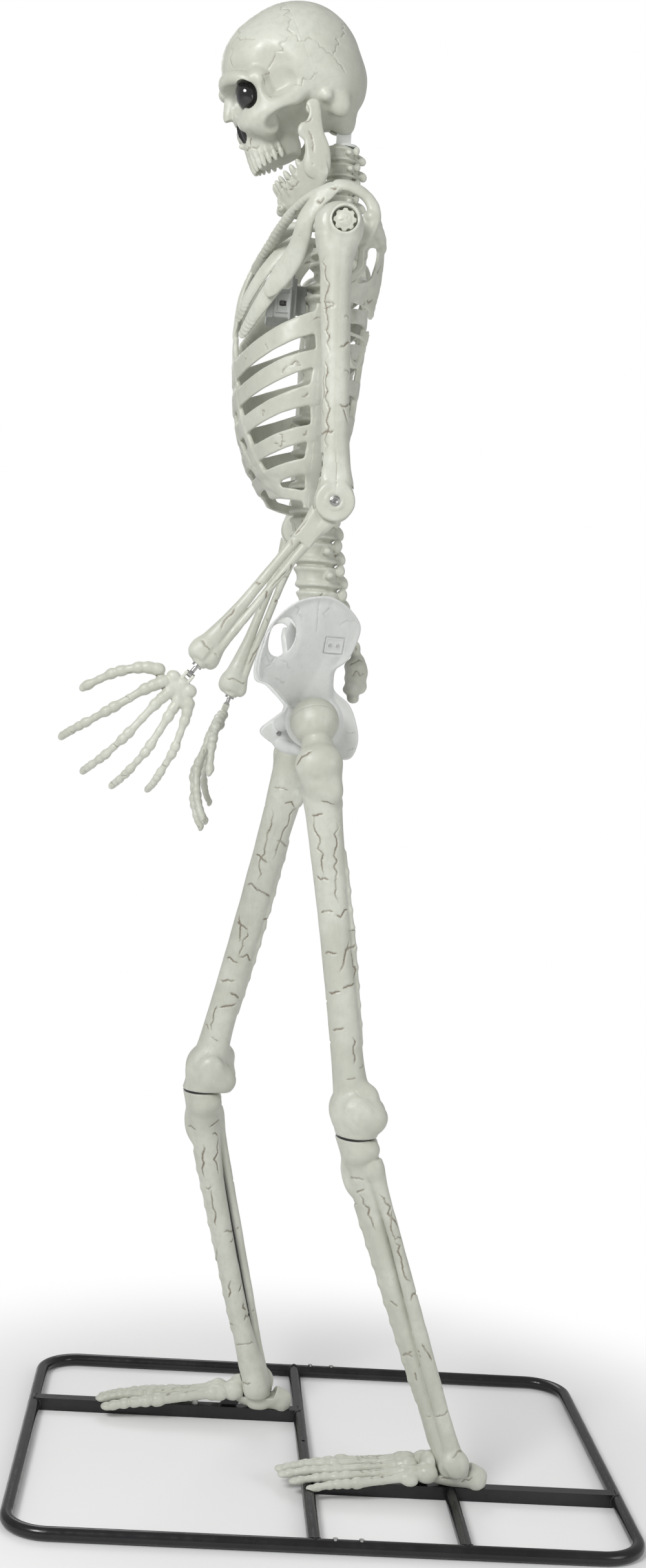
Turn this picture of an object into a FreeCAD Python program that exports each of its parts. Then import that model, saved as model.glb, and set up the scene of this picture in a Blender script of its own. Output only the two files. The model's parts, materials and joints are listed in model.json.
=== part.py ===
"""Twelve-foot walking skeleton on a lying tube frame.

Millimetres.  +Z is up, the figure faces -Y and its left side is +X.
The origin is on the floor, in the middle of the tube frame.
"""
import FreeCAD
import Part
import math
import os

V = FreeCAD.Vector

# ---------------------------------------------------------------- driving sizes
# Gaps
RUN = 0.05        # radial gap of a shaft that turns in its hole
SLIP = 0.15       # gap of a piece that slips over or into another
SIDE = 0.3        # gap between moving bodies

# Tube frame on the floor
TUBE_R = 16.0
TUBE_WALL = 1.5
FRAME_LENGTH = 1498.0
FRAME_WIDTH = 1192.0
CORNER_R = 100.0
SPLIT_Y = 47.0
SLEEVE_LENGTH = 120.0
BAR_SIZE = 2 * TUBE_R
BAR_WALL = 2.0
BAR_X = 235.0
MID_TUBE_Y = -29.0
BRACE_Y = 320.0
STAKE_HOLE_R = 4.5
STAKE_HOLE_X = -8.0
FRAME_BOLT_R = 3.0
FRAME_BOLT_HEAD_R = 6.0
FRAME_BOLT_HEAD_H = 3.0

# Steel posts inside the legs
POST_DEPTH = 36.0
POST_WIDTH = 20.0
POST_WALL = 2.0
KNEE_PLATE = 4.0
KNEE_PLATE_RADII = (62, 46)
STUB_LENGTH = 70.0

# Heights and fore-and-aft places of the leg joints
ANKLE_Z = 92.0
SHIN_FOOT_Z = 66.0
KNEE_Z = 878.0
HIP_Z = 1871.0
HIP_Y = -140.0
HIP_X = 185.0
POST_TOP_X = 206.0
HIP_TABLE_Z = 1871.0     # hip axis in the outlines of the pelvis
HIP_TABLE_Y = -140.0
LEFT_ANKLE_Y = 311.0
RIGHT_ANKLE_Y = -150.0
LEFT_KNEE_Y = 26.0
RIGHT_KNEE_Y = -350.0
KNEE_X = 225.0
BONE_WALL = 3.5
HEAD_R = 59.0

# Trunk
SPINE_POST_R = 19.0
SPINE_POST_WALL = 2.0
SPINE_POST_Y = -155.0
SACRUM_TOP_Z = HIP_Z + 269.0
LUMBAR_TOP_Z = SACRUM_TOP_Z + 300.0
THORAX_TOP_Z = LUMBAR_TOP_Z + 655.0
NECK_TOP_Z = THORAX_TOP_Z + 195.0
CAGE_WALL = 14.0
CAGE_BASE_Z = 2440.0     # top of the lumbar spine in the table CAGE
CAGE_SPLIT_Y = -185.0
RIB_HEIGHT = 42.0
RIB_SLOPE = 24.0
RIB_LOW_Z = LUMBAR_TOP_Z + 38.0
RIB_PITCH = 92.0
RIB_COUNT = 6
STERNUM_HALF = 26.0
STRUT_DEPTH = 22.0

# Shoulders and arms
SHOULDER_Z = THORAX_TOP_Z - 88.0
SHOULDER_Y = -166.0
SHOULDER_X = 420.0
SHOULDER_R = 54.0
AXLE_R = 12.0
AXLE_TIP = 26.0
RECESS_R = 29.0
RECESS_DEPTH = 18.0
KNOB_R = 26.0
KNOB_LOBES = 8
UPPER_ARM = 630.0
FOREARM = 512.0
LEFT_SHOULDER_ANGLE = -2.1
RIGHT_SHOULDER_ANGLE = 2.0
LEFT_ELBOW_ANGLE = 36.0
RIGHT_ELBOW_ANGLE = 18.5
CHEEK_IN = 14.0
TONGUE_HALF = CHEEK_IN - SIDE
CHEEK_OUT = 33.0
ELBOW_R = 47.0
FORK_SLOT = 110.0
TONGUE_R = 40.0
ELBOW_BOLT_R = 6.0
STUD_R = 8.0
STUD_DEPTH = 45.0

# Head
NOD_Z = NECK_TOP_Z + 55.0
NOD_Y = -165.0
NOD_PIN_R = 6.0
LUG_HALF = 8.0
EAR_WALL = 6.0
SKULL_TILT = 24.0
SKULL_Y = -300.0
SKULL_Z = NOD_Z + 124.0
SKULL_WALL = 5.0
SKULL_SPLIT = 30.0
JAW_PIN_R = 6.0
JAW_Y = -246.0
JAW_Z = NOD_Z + 7.0
JAW_X = 124.0
JAW_PLATE = 12.0
JAW_TABLE_Y = -246.0     # hinge in the outlines of the jaw
JAW_TABLE_Z = 3352.0
JAW_TAPER = 0.76

# Control box in the chest
BOX_HALF_WIDTH = 62.0
BOX_FRONT_Y = -322.0
BOX_BACK_Y = -262.0
BOX_LOW_Z = LUMBAR_TOP_Z + 410.0
BOX_HIGH_Z = BOX_LOW_Z + 75.0
BOX_WALL = 2.5

# Pegs that stand up from the bars into the feet
PEG_R = 8.0
PEG_SPIGOT_R = 5.0
PEG_LOCAL_Y = -158.0
FOOT_SEAT_Z = 47.0
FOOT_SOLE_Z = 12.0

# Tabs below the shin posts
TAB_DEPTH = 36.0
TAB_WIDTH = 8.0
TAB_FLOOR_SHIFT = -78.0
TAB_TOP_SHIFT = -8.0
TAB_TOP_Z = 110.0

# Feet: heel stations (y, z, side radius, height radius) and the five rays
HEEL = [(94, 58, 10, 12), (82, 60, 26, 23), (45, 66, 31, 31), (10, 74, 34, 39), (-30, 78, 38, 42),
        (-70, 74, 42, 32), (-105, 66, 44, 22)]
RAYS = [
    # start x, y, z | knuckle | middle joint | tip | radii: shaft, knuckle, toe
    ((-30, -85, 72), (-54, -285, 48), (-55, -335, 44), (-53, -386, 34), 15, 19, 13),
    ((-14, -90, 76), (-26, -300, 50), (-26, -350, 55), (-24, -408, 46), 10.5, 14, 9.5),
    ((3, -90, 74), (2, -292, 49), (3, -340, 53), (4, -402, 44), 10, 13.5, 9),
    ((18, -85, 70), (28, -276, 47), (31, -320, 49), (34, -376, 42), 9.5, 13, 9),
    ((32, -80, 64), (51, -250, 44), (56, -290, 44), (61, -338, 37), 9.5, 13, 9),
]

# Leg bones: (share of the length, side radius, aft radius, side shift)
SHIN = [(-0.04, 36, 34, 0), (0.02, 45, 42, 0), (0.07, 44, 40, 0), (0.16, 36, 34, 0), (0.3, 33, 33, 0),
        (0.55, 34, 36, 0), (0.76, 38, 40, 0), (0.87, 52, 48, 0), (0.95, 71, 54, 0), (1.02, 68, 50, 0)]
FIBULA = [(-0.045, 15, 20, 28), (0.02, 17, 24, 30), (0.08, 13, 18, 29), (0.3, 12, 14, 30), (0.6, 12, 14, 33),
          (0.8, 14, 17, 38), (0.89, 19, 22, 46)]
THIGH = [(-0.01, 60, 52, 0), (0.027, 79, 70, 0), (0.068, 80, 73, 0), (0.113, 62, 57, 0), (0.18, 46, 43, 0),
         (0.3, 39, 42, 0), (0.63, 38, 42, 0), (0.78, 45, 43, 4), (0.85, 56, 50, 8), (0.89, 61, 55, 9),
         (0.925, 57, 50, 5), (0.955, 46, 38, -2), (0.985, 40, 35, -8)]

# Middle of the spine: (height, aft place)
SPINE_CURVE = [
    (SACRUM_TOP_Z, -135), (SACRUM_TOP_Z + 100, -152), (LUMBAR_TOP_Z - 120, -166), (LUMBAR_TOP_Z, -180),
    (LUMBAR_TOP_Z + 250, -183), (THORAX_TOP_Z - 200, -178), (THORAX_TOP_Z, -158),
    (NECK_TOP_Z - 80, -158), (NECK_TOP_Z, -170),
]

# Sacrum: (height, aft place, side radius, aft radius)
SACRUM = [(SACRUM_TOP_Z, -132, 62, 54), (SACRUM_TOP_Z - 50, -102, 60, 50), (SACRUM_TOP_Z - 100, -72, 50, 38),
          (SACRUM_TOP_Z - 150, -50, 34, 27), (SACRUM_TOP_Z - 195, -45, 20, 17),
          (SACRUM_TOP_Z - 222, -44, 12, 11)]
SACRUM_SEAT_X = 52.0

# Hip bones
WING_T = 14.0
SOCKET_IN_X = 104.0
SOCKET_OUT_X = 122.0
SOCKET_R = HEAD_R + 7.0
ILIUM = [(-150, 2174), (-112, 2168), (-73, 2149), (-41, 2112), (-50, 2062), (-68, 2021), (-104, 1992),
         (-104, 1955), (-120, 1930), (-197, 1905), (-253, 1951), (-284, 1968), (-281, 2028), (-251, 2110),
         (-197, 2158)]
HIP_PLATE_T = 3.0
PLATE_SIZE = (46.0, 36.0)

# Rib cage
CAGE = [
    # height, half width, front, back
    (2412, 218, -300, -128), (2480, 246, -343, -106), (2600, 262, -381, -88), (2700, 268, -393, -78),
    (2800, 264, -400, -72), (2900, 246, -386, -72), (3000, 196, -352, -84), (3085, 104, -290, -112),
]
CAGE_SCREW_R = 2.5

# Shoulder blades
GLENOID_OUT = SHOULDER_X - 58.0
GLENOID_IN = GLENOID_OUT - 26.0
BLADE_T = 12.0
BLADE_EDGE_Y = -62.0
BLADE_LEAN = 63.72 / (GLENOID_OUT - 185.0)
COLLAR_X = GLENOID_OUT - 24.0

# Control box fittings
BRACKET_HALF = 46.0
SWITCH_HALF = 5.0
SWITCH_TRAVEL = 4.0
SWITCH_Y = BOX_BACK_Y - 23.0

# Arms and hands
UPPER = [(0.0, 46, 50, 0), (0.10, 42, 47, 0), (0.25, 37, 42, 0), (0.5, 31, 38, 0), (0.75, 30, 35, 0),
         (0.86, 31, 40, 0), (0.97, 30, 43, 0)]
RADIUS_BONE = [(0.05, 16, 21), (0.10, 15, 18), (0.3, 14, 17), (0.55, 15, 19), (0.75, 18, 23), (0.86, 19, 25)]
ULNA = [(0.02, 17, 26), (0.10, 16, 20), (0.3, 12, 15), (0.6, 11, 13), (0.84, 11, 13)]
HAND = [
    # thumb, then index to little: (length, degrees toward the thumb, degrees toward the palm)
    ((76, 62, -4), (66, 40, 6), (86, 25, 16)),
    ((74, 33, -6), (106, 20, -2), (78, 22, 20), (44, 22, 32), (24, 18, 44)),
    ((76, 12, -6), (112, 3, -2), (78, 8, 22), (46, 16, 34), (26, 14, 48)),
    ((78, -8, -4), (100, -8, 0), (78, 2, 24), (40, 8, 36), (26, 12, 50)),
    ((70, -27, -2), (84, -20, 2), (72, -8, 22), (30, -6, 34), (24, 4, 46)),
]
STUD_CLEAR = 26.0
HAND_START = 16.0
EYE_HALF = 5.0
EYE_R = 8.5
CHEEK_END = 11.0
HAND_PIN_R = 3.5

# Skull
BRAIN = (142.0, 175.0, 166.0)
FACE = [
    # up, forward of the centre, side radius, fore-and-aft radius
    (-10, 74, 118, 106), (-60, 74, 119, 111), (-100, 72, 106, 114), (-145, 65, 86, 119), (-190, 56, 66, 116),
]
EYE_X = 57.0
EYE_UP = -44.0
EYE_HOLE_R = 38.0
EYE_SOCKET_WALL = 4.0
EYE_DEEP = 122.0
NOSE_UP = -112.0
NOSE_R = 19.0
NOSE_DEEP = 148.0
FACE_REACH = 210.0

# Jaw outlines, fore-and-aft and height
RAMUS = [(-262, 3362), (-244, 3369), (-228, 3317), (-203, 3240), (-212, 3204), (-244, 3150), (-262, 3180),
         (-250, 3232), (-280, 3285), (-277, 3298), (-264, 3307)]
JAW_BODY = [(-212, 3204), (-250, 3232), (-322, 3164), (-292, 3098), (-262, 3116)]


# ---------------------------------------------------------------- helpers
def unit(vector):
    return V(vector).normalize()


def axes_along(start, end):
    """Unit vectors along the line, to the +X side of it, and aft of it."""
    along = unit(end - start)
    side = V(1, 0, 0) - along * along.x
    side = unit(side)
    return along, side, along.cross(side)


def ring(centre, side, aft, r_side, r_aft):
    """Closed oval wire whose seam is always on the side direction."""
    points = []
    for step in range(12):
        turn = math.radians(30 * step)
        points.append(centre + side * (r_side * math.cos(turn)) + aft * (r_aft * math.sin(turn)))
    curve = Part.BSplineCurve()
    curve.interpolate(Points=points, PeriodicFlag=True)
    return Part.Wire([curve.toShape()])


def loft(rings, ruled=False):
    return Part.makeLoft(rings, True, ruled)


def bone(start, end, stations, shrink=0.0, ruled=False):
    """Loft along a line.  A station is (share of the line, side radius, aft radius, side shift)."""
    along, side, aft = axes_along(start, end)
    length = (end - start).Length
    rings = []
    for share, r_side, r_aft, shift in stations:
        centre = start + along * (length * share) + side * shift
        rings.append(ring(centre, side, aft, r_side - shrink, r_aft - shrink))
    return loft(rings, ruled)


def rod(start, end, radius):
    return Part.makeCylinder(radius, (end - start).Length, start, end - start)


def taper(start, end, r_start, r_end):
    length = (end - start).Length
    if abs(r_start - r_end) < 0.01:
        return Part.makeCylinder(r_start, length, start, end - start)
    return Part.makeCone(r_start, r_end, length, start, end - start)


def ball(centre, radius):
    return Part.makeSphere(radius, centre)


def block(x0, x1, y0, y1, z0, z1):
    low = V(min(x0, x1), min(y0, y1), min(z0, z1))
    return Part.makeBox(abs(x1 - x0), abs(y1 - y0), abs(z1 - z0), low)


def fuse(shapes):
    shapes = list(shapes)
    if len(shapes) == 1:
        return shapes[0]
    return shapes[0].multiFuse(shapes[1:])


def beam(start, end, depth, width):
    """Solid rectangular bar along a line, width across X and depth fore and aft."""
    along, side, aft = axes_along(start, end)
    corner = start - side * (width / 2) - aft * (depth / 2)
    far_corner = corner + side * width + aft * depth
    points = [corner, corner + side * width, far_corner, corner + aft * depth, corner]
    return Part.Face(Part.makePolygon(points)).extrude(end - start)


def slab(points, thickness):
    """Flat plate of any tilt: planar points, thickened along X about their plane."""
    shift = V(-thickness / 2, 0, 0)
    outline = [p + shift for p in points]
    face = Part.Face(Part.makePolygon(outline + [outline[0]]))
    return face.extrude(V(thickness, 0, 0))


def above(z):
    return block(-2000, 2000, -2000, 2000, z, z + 6000)


def below(z):
    return block(-2000, 2000, -2000, 2000, z - 6000, z)


def mirror(shape):
    return shape.mirror(V(0, 0, 0), V(1, 0, 0))


def save(name, shape):
    if isinstance(shape, (list, tuple)):
        shape = Part.makeCompound(list(shape))
    solids = shape.Solids
    if not solids:
        raise RuntimeError(name + " has no solid")
    shape = solids[0] if len(solids) == 1 else Part.makeCompound(solids)
    shape.exportStep("parts/%s.step" % name)


# ---------------------------------------------------------------- stand
half_w = FRAME_WIDTH / 2 - TUBE_R
half_l = FRAME_LENGTH / 2 - TUBE_R
tube_in = TUBE_R - TUBE_WALL
sleeve_r = tube_in - SLIP


def bent_tube(end_y, radius):
    """Round tube from one split, round two corners, to the other split."""
    way = 1 if end_y > SPLIT_Y else -1
    z = TUBE_R
    r = CORNER_R
    diagonal = r * (1 - math.sqrt(0.5))
    a = V(half_w, SPLIT_Y, z)
    b = V(half_w, end_y - way * r, z)
    c = V(half_w - r, end_y, z)
    d = V(-half_w + r, end_y, z)
    e = V(-half_w, end_y - way * r, z)
    f = V(-half_w, SPLIT_Y, z)
    first = V(half_w - diagonal, end_y - way * diagonal, z)
    second = V(-half_w + diagonal, end_y - way * diagonal, z)
    path = Part.Wire([
        Part.LineSegment(a, b).toShape(),
        Part.Arc(b, first, c).toShape(),
        Part.LineSegment(c, d).toShape(),
        Part.Arc(d, second, e).toShape(),
        Part.LineSegment(e, f).toShape(),
    ])
    circle = Part.Wire([Part.makeCircle(radius, a, V(0, 1, 0))])
    return path.makePipeShell([circle], True, False)


front_solid = bent_tube(-half_l, TUBE_R)
rear_solid = bent_tube(half_l, TUBE_R)
bolt_ys = [SPLIT_Y - SLEEVE_LENGTH / 4, SPLIT_Y + SLEEVE_LENGTH / 4]

frame_bolts = []
bolt_holes = []
sleeves = []
for side in (1, -1):
    x = side * half_w
    sleeve_end = V(x, SPLIT_Y - SLEEVE_LENGTH / 2, TUBE_R)
    sleeve = Part.makeCylinder(sleeve_r, SLEEVE_LENGTH, sleeve_end, V(0, 1, 0))
    bore = Part.makeCylinder(sleeve_r - TUBE_WALL, SLEEVE_LENGTH + 2,
                             V(x, SPLIT_Y - SLEEVE_LENGTH / 2 - 1, TUBE_R), V(0, 1, 0))
    sleeves.append(sleeve.cut(bore))
    for y in bolt_ys:
        top = 2 * TUBE_R
        shank = Part.makeCylinder(FRAME_BOLT_R, TUBE_R, V(x, y, TUBE_R), V(0, 0, 1))
        head = Part.makeCylinder(FRAME_BOLT_HEAD_R, FRAME_BOLT_HEAD_H + 1, V(x, y, top - 1), V(0, 0, 1))
        bolt = shank.fuse(head)
        frame_bolts.append(bolt)
        bolt_holes.append(Part.makeCylinder(FRAME_BOLT_R + RUN, TUBE_R, V(x, y, TUBE_R - 0.5), V(0, 0, 1)))
        bolt_holes.append(Part.makeCylinder(FRAME_BOLT_HEAD_R, 10, V(x, y, top - 1), V(0, 0, 1)))

front_tube = front_solid.cut(bent_tube(-half_l, tube_in)).cut(fuse(bolt_holes))
rear_tube = rear_solid.cut(bent_tube(half_l, tube_in)).cut(fuse(bolt_holes))
save_list = []
save_list.append(("base_front_tube", front_tube))
save_list.append(("base_rear_tube", rear_tube))
save_list.append(("tube_sleeves", fuse(sleeves).cut(fuse(bolt_holes))))
save_list.append(("frame_bolts", frame_bolts))


def tube_between(start, end, outer, inner):
    return rod(start, end, outer).cut(rod(start, end, inner))


mid_start = V(-half_w, MID_TUBE_Y, TUBE_R)
mid_end = V(half_w, MID_TUBE_Y, TUBE_R)
mid_outer = rod(mid_start, mid_end, TUBE_R).cut(front_solid)
stake_hole = Part.makeCylinder(STAKE_HOLE_R, 60, V(STAKE_HOLE_X, MID_TUBE_Y, -10), V(0, 0, 1))
mid_tube = mid_outer.cut(rod(mid_start, mid_end, tube_in)).cut(stake_hole)
save_list.append(("mid_cross_tube", mid_tube))


def square_bar(x, y0, y1):
    half = BAR_SIZE / 2
    inner = half - BAR_WALL
    solid = block(x - half, x + half, y0, y1, 0, BAR_SIZE)
    hollow = block(x - inner, x + inner, y0, y1, BAR_WALL, BAR_SIZE - BAR_WALL)
    return solid.cut(hollow)


peg_spots = [V(BAR_X, LEFT_ANKLE_Y + PEG_LOCAL_Y, 0), V(-BAR_X, RIGHT_ANKLE_Y + PEG_LOCAL_Y, 0)]
peg_holes = []
for spot in peg_spots:
    peg_holes.append(Part.makeCylinder(PEG_SPIGOT_R + RUN, 20, spot + V(0, 0, BAR_SIZE - 10), V(0, 0, 1)))
mid_solid = rod(mid_start, mid_end, TUBE_R)
front_bar = square_bar(-BAR_X, -half_l, MID_TUBE_Y).cut(front_solid).cut(mid_solid).cut(peg_holes[1])
rear_bar = square_bar(BAR_X, MID_TUBE_Y, half_l).cut(rear_solid).cut(mid_solid).cut(peg_holes[0])
save_list.append(("front_foot_bar", front_bar))
save_list.append(("rear_foot_bar", rear_bar))
brace_start = V(BAR_X + BAR_SIZE / 2, BRACE_Y, TUBE_R)
brace_end = V(half_w, BRACE_Y, TUBE_R)
brace = tube_between(brace_start, brace_end, TUBE_R, tube_in).cut(rear_solid)
save_list.append(("rear_brace_tube", brace))

# ---------------------------------------------------------------- posts in the legs
legs = {
    "left": (1, LEFT_ANKLE_Y, LEFT_KNEE_Y),
    "right": (-1, RIGHT_ANKLE_Y, RIGHT_KNEE_Y),
}
knee_low = KNEE_Z - KNEE_PLATE / 2
knee_high = KNEE_Z + KNEE_PLATE / 2


def leg_points(name):
    side, ankle_y, knee_y = legs[name]
    ankle = V(side * BAR_X, ankle_y, ANKLE_Z)
    knee = V(side * KNEE_X, knee_y, KNEE_Z)
    top = V(side * POST_TOP_X, HIP_Y, HIP_Z)
    return ankle, knee, top


def extended(start, end, before, after):
    along = unit(end - start)
    return start - along * before, end + along * after


def post(start, end, grow=0.0):
    outer = beam(start, end, POST_DEPTH + 2 * grow, POST_WIDTH + 2 * grow)
    if grow:
        return outer
    inner = beam(start, end, POST_DEPTH - 2 * POST_WALL, POST_WIDTH - 2 * POST_WALL)
    return outer.cut(inner)


def trim(shape, low, high):
    return shape.common(block(-2000, 2000, -2000, 2000, low, high))


hip_bar_start = V(-POST_TOP_X - 34, HIP_Y, HIP_Z)
hip_bar_end = V(POST_TOP_X + 34, HIP_Y, HIP_Z)
hip_bar_solid = rod(hip_bar_start, hip_bar_end, TUBE_R)
hip_bar = hip_bar_solid.cut(rod(hip_bar_start, hip_bar_end, tube_in))
save_list.append(("hip_crossbar", hip_bar))


post_room = {}
tab_room = {}
for name in legs:
    ankle, knee, top = leg_points(name)
    lower = post(*extended(ankle, knee, 90, 30))
    lower = trim(lower, BAR_SIZE, knee_low)
    tab_low = V(ankle.x, ankle.y + TAB_FLOOR_SHIFT, BAR_SIZE - 6)
    tab_high = V(ankle.x, ankle.y + TAB_TOP_SHIFT, TAB_TOP_Z)
    tab = beam(tab_low, tab_high, TAB_DEPTH, TAB_WIDTH)
    tab = trim(tab, BAR_SIZE, TAB_TOP_Z)
    inside = beam(*extended(ankle, knee, 90, 30), POST_DEPTH - 2 * POST_WALL, POST_WIDTH - 2 * POST_WALL)
    lower = lower.fuse(tab).cut(inside)
    save_list.append((name + "_lower_post", lower))
    upper = post(*extended(knee, top, 30, 0))
    upper = trim(upper, knee_high, HIP_Z).cut(hip_bar_solid)
    save_list.append((name + "_upper_post", upper))
    post_room[name] = [
        post(*extended(ankle, knee, 90, 30), SLIP),
        post(*extended(knee, top, 30, 0), SLIP),
    ]
    tab_room[name] = beam(tab_low, tab_high, TAB_DEPTH + 2 * SLIP, TAB_WIDTH + 2 * SLIP)
    plate_rim = ring(V(knee.x, knee.y, knee_low), V(1, 0, 0), V(0, 1, 0), *KNEE_PLATE_RADII)
    plate = Part.Face(plate_rim).extrude(V(0, 0, KNEE_PLATE))
    stub_depth = POST_DEPTH - 2 * POST_WALL - 2 * SLIP
    stub_width = POST_WIDTH - 2 * POST_WALL - 2 * SLIP
    down = unit(ankle - knee)
    up = unit(top - knee)
    lower_stub = trim(beam(knee + down * STUB_LENGTH, knee - down * 20, stub_depth, stub_width), 0, KNEE_Z)
    upper_stub = trim(beam(knee - up * 20, knee + up * STUB_LENGTH, stub_depth, stub_width), KNEE_Z, 4000)
    save_list.append((name + "_knee_coupler", fuse([plate, lower_stub, upper_stub])))

# ---------------------------------------------------------------- feet


def foot(name):
    side, ankle_y, knee_y = legs[name]

    def place(x, y, z):
        return V(side * (BAR_X + x), ankle_y + y, z)

    rings = []
    for y, z, r_side, r_up in HEEL:
        rings.append(ring(place(0, y, z), V(1, 0, 0), V(0, 0, 1), r_side, r_up))
    pieces = [loft(rings)]
    ankle_block = [
        ring(place(0, -6, 40), V(1, 0, 0), V(0, 1, 0), 30, 38),
        ring(place(0, -4, SHIN_FOOT_Z), V(1, 0, 0), V(0, 1, 0), 38, 41),
        ring(place(0, -2, SHIN_FOOT_Z + 30), V(1, 0, 0), V(0, 1, 0), 36, 38),
    ]
    pieces.append(loft(ankle_block))
    pieces.append(block(place(-14, 0, 0).x, place(14, 0, 0).x, ankle_y + 12, ankle_y + 56, BAR_SIZE, 60))
    for start, knuckle, middle, tip, r_shaft, r_knuckle, r_toe in RAYS:
        a = place(*start)
        b = place(*knuckle)
        c = place(*middle)
        d = place(*tip)
        pieces.append(taper(a, b, r_shaft + 3, r_shaft))
        pieces.append(ball(b, r_knuckle))
        pieces.append(taper(b, c, r_shaft, r_toe))
        pieces.append(ball(c, r_toe + 2))
        pieces.append(taper(c, d, r_toe, r_toe - 1))
        pieces.append(ball(d, r_toe))
    # a web of tarsal bone ties the five rays to the instep
    web = []
    for y, z, r_side, r_up in [(-60, 72, 42, 30), (-110, 68, 46, 22), (-175, 58, 50, 15), (-205, 55, 50, 9)]:
        web.append(ring(place(0, y, z), V(1, 0, 0), V(0, 0, 1), r_side, r_up))
    pieces.append(loft(web))
    solid = fuse(pieces)
    solid = solid.cut(below(FOOT_SOLE_Z))
    bed_half = BAR_SIZE / 2 + 1
    bed_x = (place(-bed_half, 0, 0).x, place(bed_half, 0, 0).x)
    solid = solid.cut(block(*bed_x, ankle_y - 600, ankle_y + 200, 0, BAR_SIZE))
    solid = solid.cut(above(SHIN_FOOT_Z))
    return solid


foot_pegs = []
for name, spot in zip(("left", "right"), peg_spots):
    side, ankle_y, knee_y = legs[name]
    solid = foot(name)
    spigot = Part.makeCylinder(PEG_SPIGOT_R, 8, spot + V(0, 0, BAR_SIZE - 8), V(0, 0, 1))
    peg = Part.makeCylinder(PEG_R, FOOT_SEAT_Z + 9 - BAR_SIZE, spot + V(0, 0, BAR_SIZE), V(0, 0, 1))
    foot_pegs.append(peg.fuse(spigot))
    solid = solid.cut(Part.makeCylinder(PEG_R + SLIP, FOOT_SEAT_Z + 9, spot, V(0, 0, 1)))
    solid = solid.cut(post_room[name][0]).cut(tab_room[name]).cut(mid_solid)
    save_list.append((name + "_foot", solid))
save_list.append(("foot_pegs", foot_pegs))

# ---------------------------------------------------------------- shins and thighs
def sided(stations, side):
    return [(share, r_side, r_aft, side * shift) for share, r_side, r_aft, shift in stations]


for name in legs:
    side, ankle_y, knee_y = legs[name]
    ankle, knee, top = leg_points(name)
    shin_outer = bone(ankle, knee, SHIN)
    behind = V(0, 20, 0)
    fibula = bone(ankle + behind, knee + behind, sided(FIBULA, side))
    shin_inner = trim(bone(ankle, knee, SHIN, BONE_WALL), SHIN_FOOT_Z - 40, knee_low - 6)
    shin = trim(shin_outer.fuse(fibula), SHIN_FOOT_Z, knee_low)
    shin = shin.cut(shin_inner).cut(post_room[name][0]).cut(tab_room[name])
    save_list.append((name + "_shin", shin))
    hip = V(side * HIP_X, HIP_Y, HIP_Z)
    thigh_outer = trim(bone(knee, top, sided(THIGH, side)), knee_high, 3000)
    thigh_inner = trim(bone(knee, top, sided(THIGH, side), BONE_WALL), knee_high + 6, 3000)
    thigh = thigh_outer.fuse(ball(hip, HEAD_R))
    thigh = thigh.cut(thigh_inner.fuse(ball(hip, HEAD_R - BONE_WALL)))
    thigh = thigh.cut(rod(hip_bar_start, hip_bar_end, TUBE_R + SLIP)).cut(post_room[name][1])
    save_list.append((name + "_thigh", thigh))

# ---------------------------------------------------------------- spine post and vertebrae
post_low = V(0, SPINE_POST_Y, HIP_Z)
post_high = V(0, SPINE_POST_Y, NECK_TOP_Z)
spine_post_in = SPINE_POST_R - SPINE_POST_WALL
axle_out = SHOULDER_X + AXLE_TIP
shoulder_bar = rod(V(-axle_out, SHOULDER_Y, SHOULDER_Z), V(axle_out, SHOULDER_Y, SHOULDER_Z), AXLE_R)
spine_post = tube_between(post_low, post_high, SPINE_POST_R, spine_post_in)
spine_post = spine_post.cut(hip_bar_solid).cut(shoulder_bar)
spine_bore = rod(post_low, post_high + V(0, 0, 10), SPINE_POST_R + SLIP)
save_list.append(("spine_post", spine_post))


def between(z, table):
    """Straight-line value at height z from (height, value) pairs."""
    for (z0, v0), (z1, v1) in zip(table, table[1:]):
        if z <= z1:
            return v0 + (v1 - v0) * (z - z0) / (z1 - z0)
    return table[-1][1]


def vertebrae(low, high, count, r_body, r_waist):
    """Stack of drum-shaped vertebrae that follows the curve of the back."""
    pitch = (high - low) / count
    body_h = pitch * 0.72
    pieces = []
    for step in range(count):
        z = low + step * pitch
        y_body = between(z + body_h / 2, SPINE_CURVE)
        y_waist = between(z + pitch - (pitch - body_h) / 2, SPINE_CURVE)
        pieces.append(Part.makeCylinder(r_body, body_h, V(0, y_body, z)))
        pieces.append(Part.makeCylinder(r_waist, pitch - body_h, V(0, y_waist, z + body_h)))
    return fuse(pieces)


lumbar_solid = vertebrae(SACRUM_TOP_Z, LUMBAR_TOP_Z, 5, 62, 54)
lumbar = lumbar_solid.cut(spine_bore)
thoracic_solid = vertebrae(LUMBAR_TOP_Z, THORAX_TOP_Z, 11, 58, 50)
neck = vertebrae(THORAX_TOP_Z, NECK_TOP_Z, 5, 46, 39).cut(spine_bore)
save_list.append(("lumbar_spine", lumbar))
save_list.append(("neck_spine", neck))

sacrum_rings = [ring(V(0, y, z), V(1, 0, 0), V(0, 1, 0), r_side, r_aft) for z, y, r_side, r_aft in SACRUM]
sacrum_seats = block(-SACRUM_SEAT_X, SACRUM_SEAT_X, -120, -70, SACRUM_TOP_Z - 95, SACRUM_TOP_Z - 40)
sacrum_solid = loft(sacrum_rings).fuse(sacrum_seats)
sacrum = sacrum_solid.cut(spine_bore).cut(hip_bar_solid)
save_list.append(("sacrum", sacrum))

# ---------------------------------------------------------------- pelvis


def wing_x(y, z):
    """The hip wing leans outward going up and forward."""
    return 118 + 0.30 * (z - (HIP_Z + 60)) + 0.42 * (-120 - y)


def wing_points(pairs):
    return [V(wing_x(y, z), y, z) for y, z in pairs]


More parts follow.
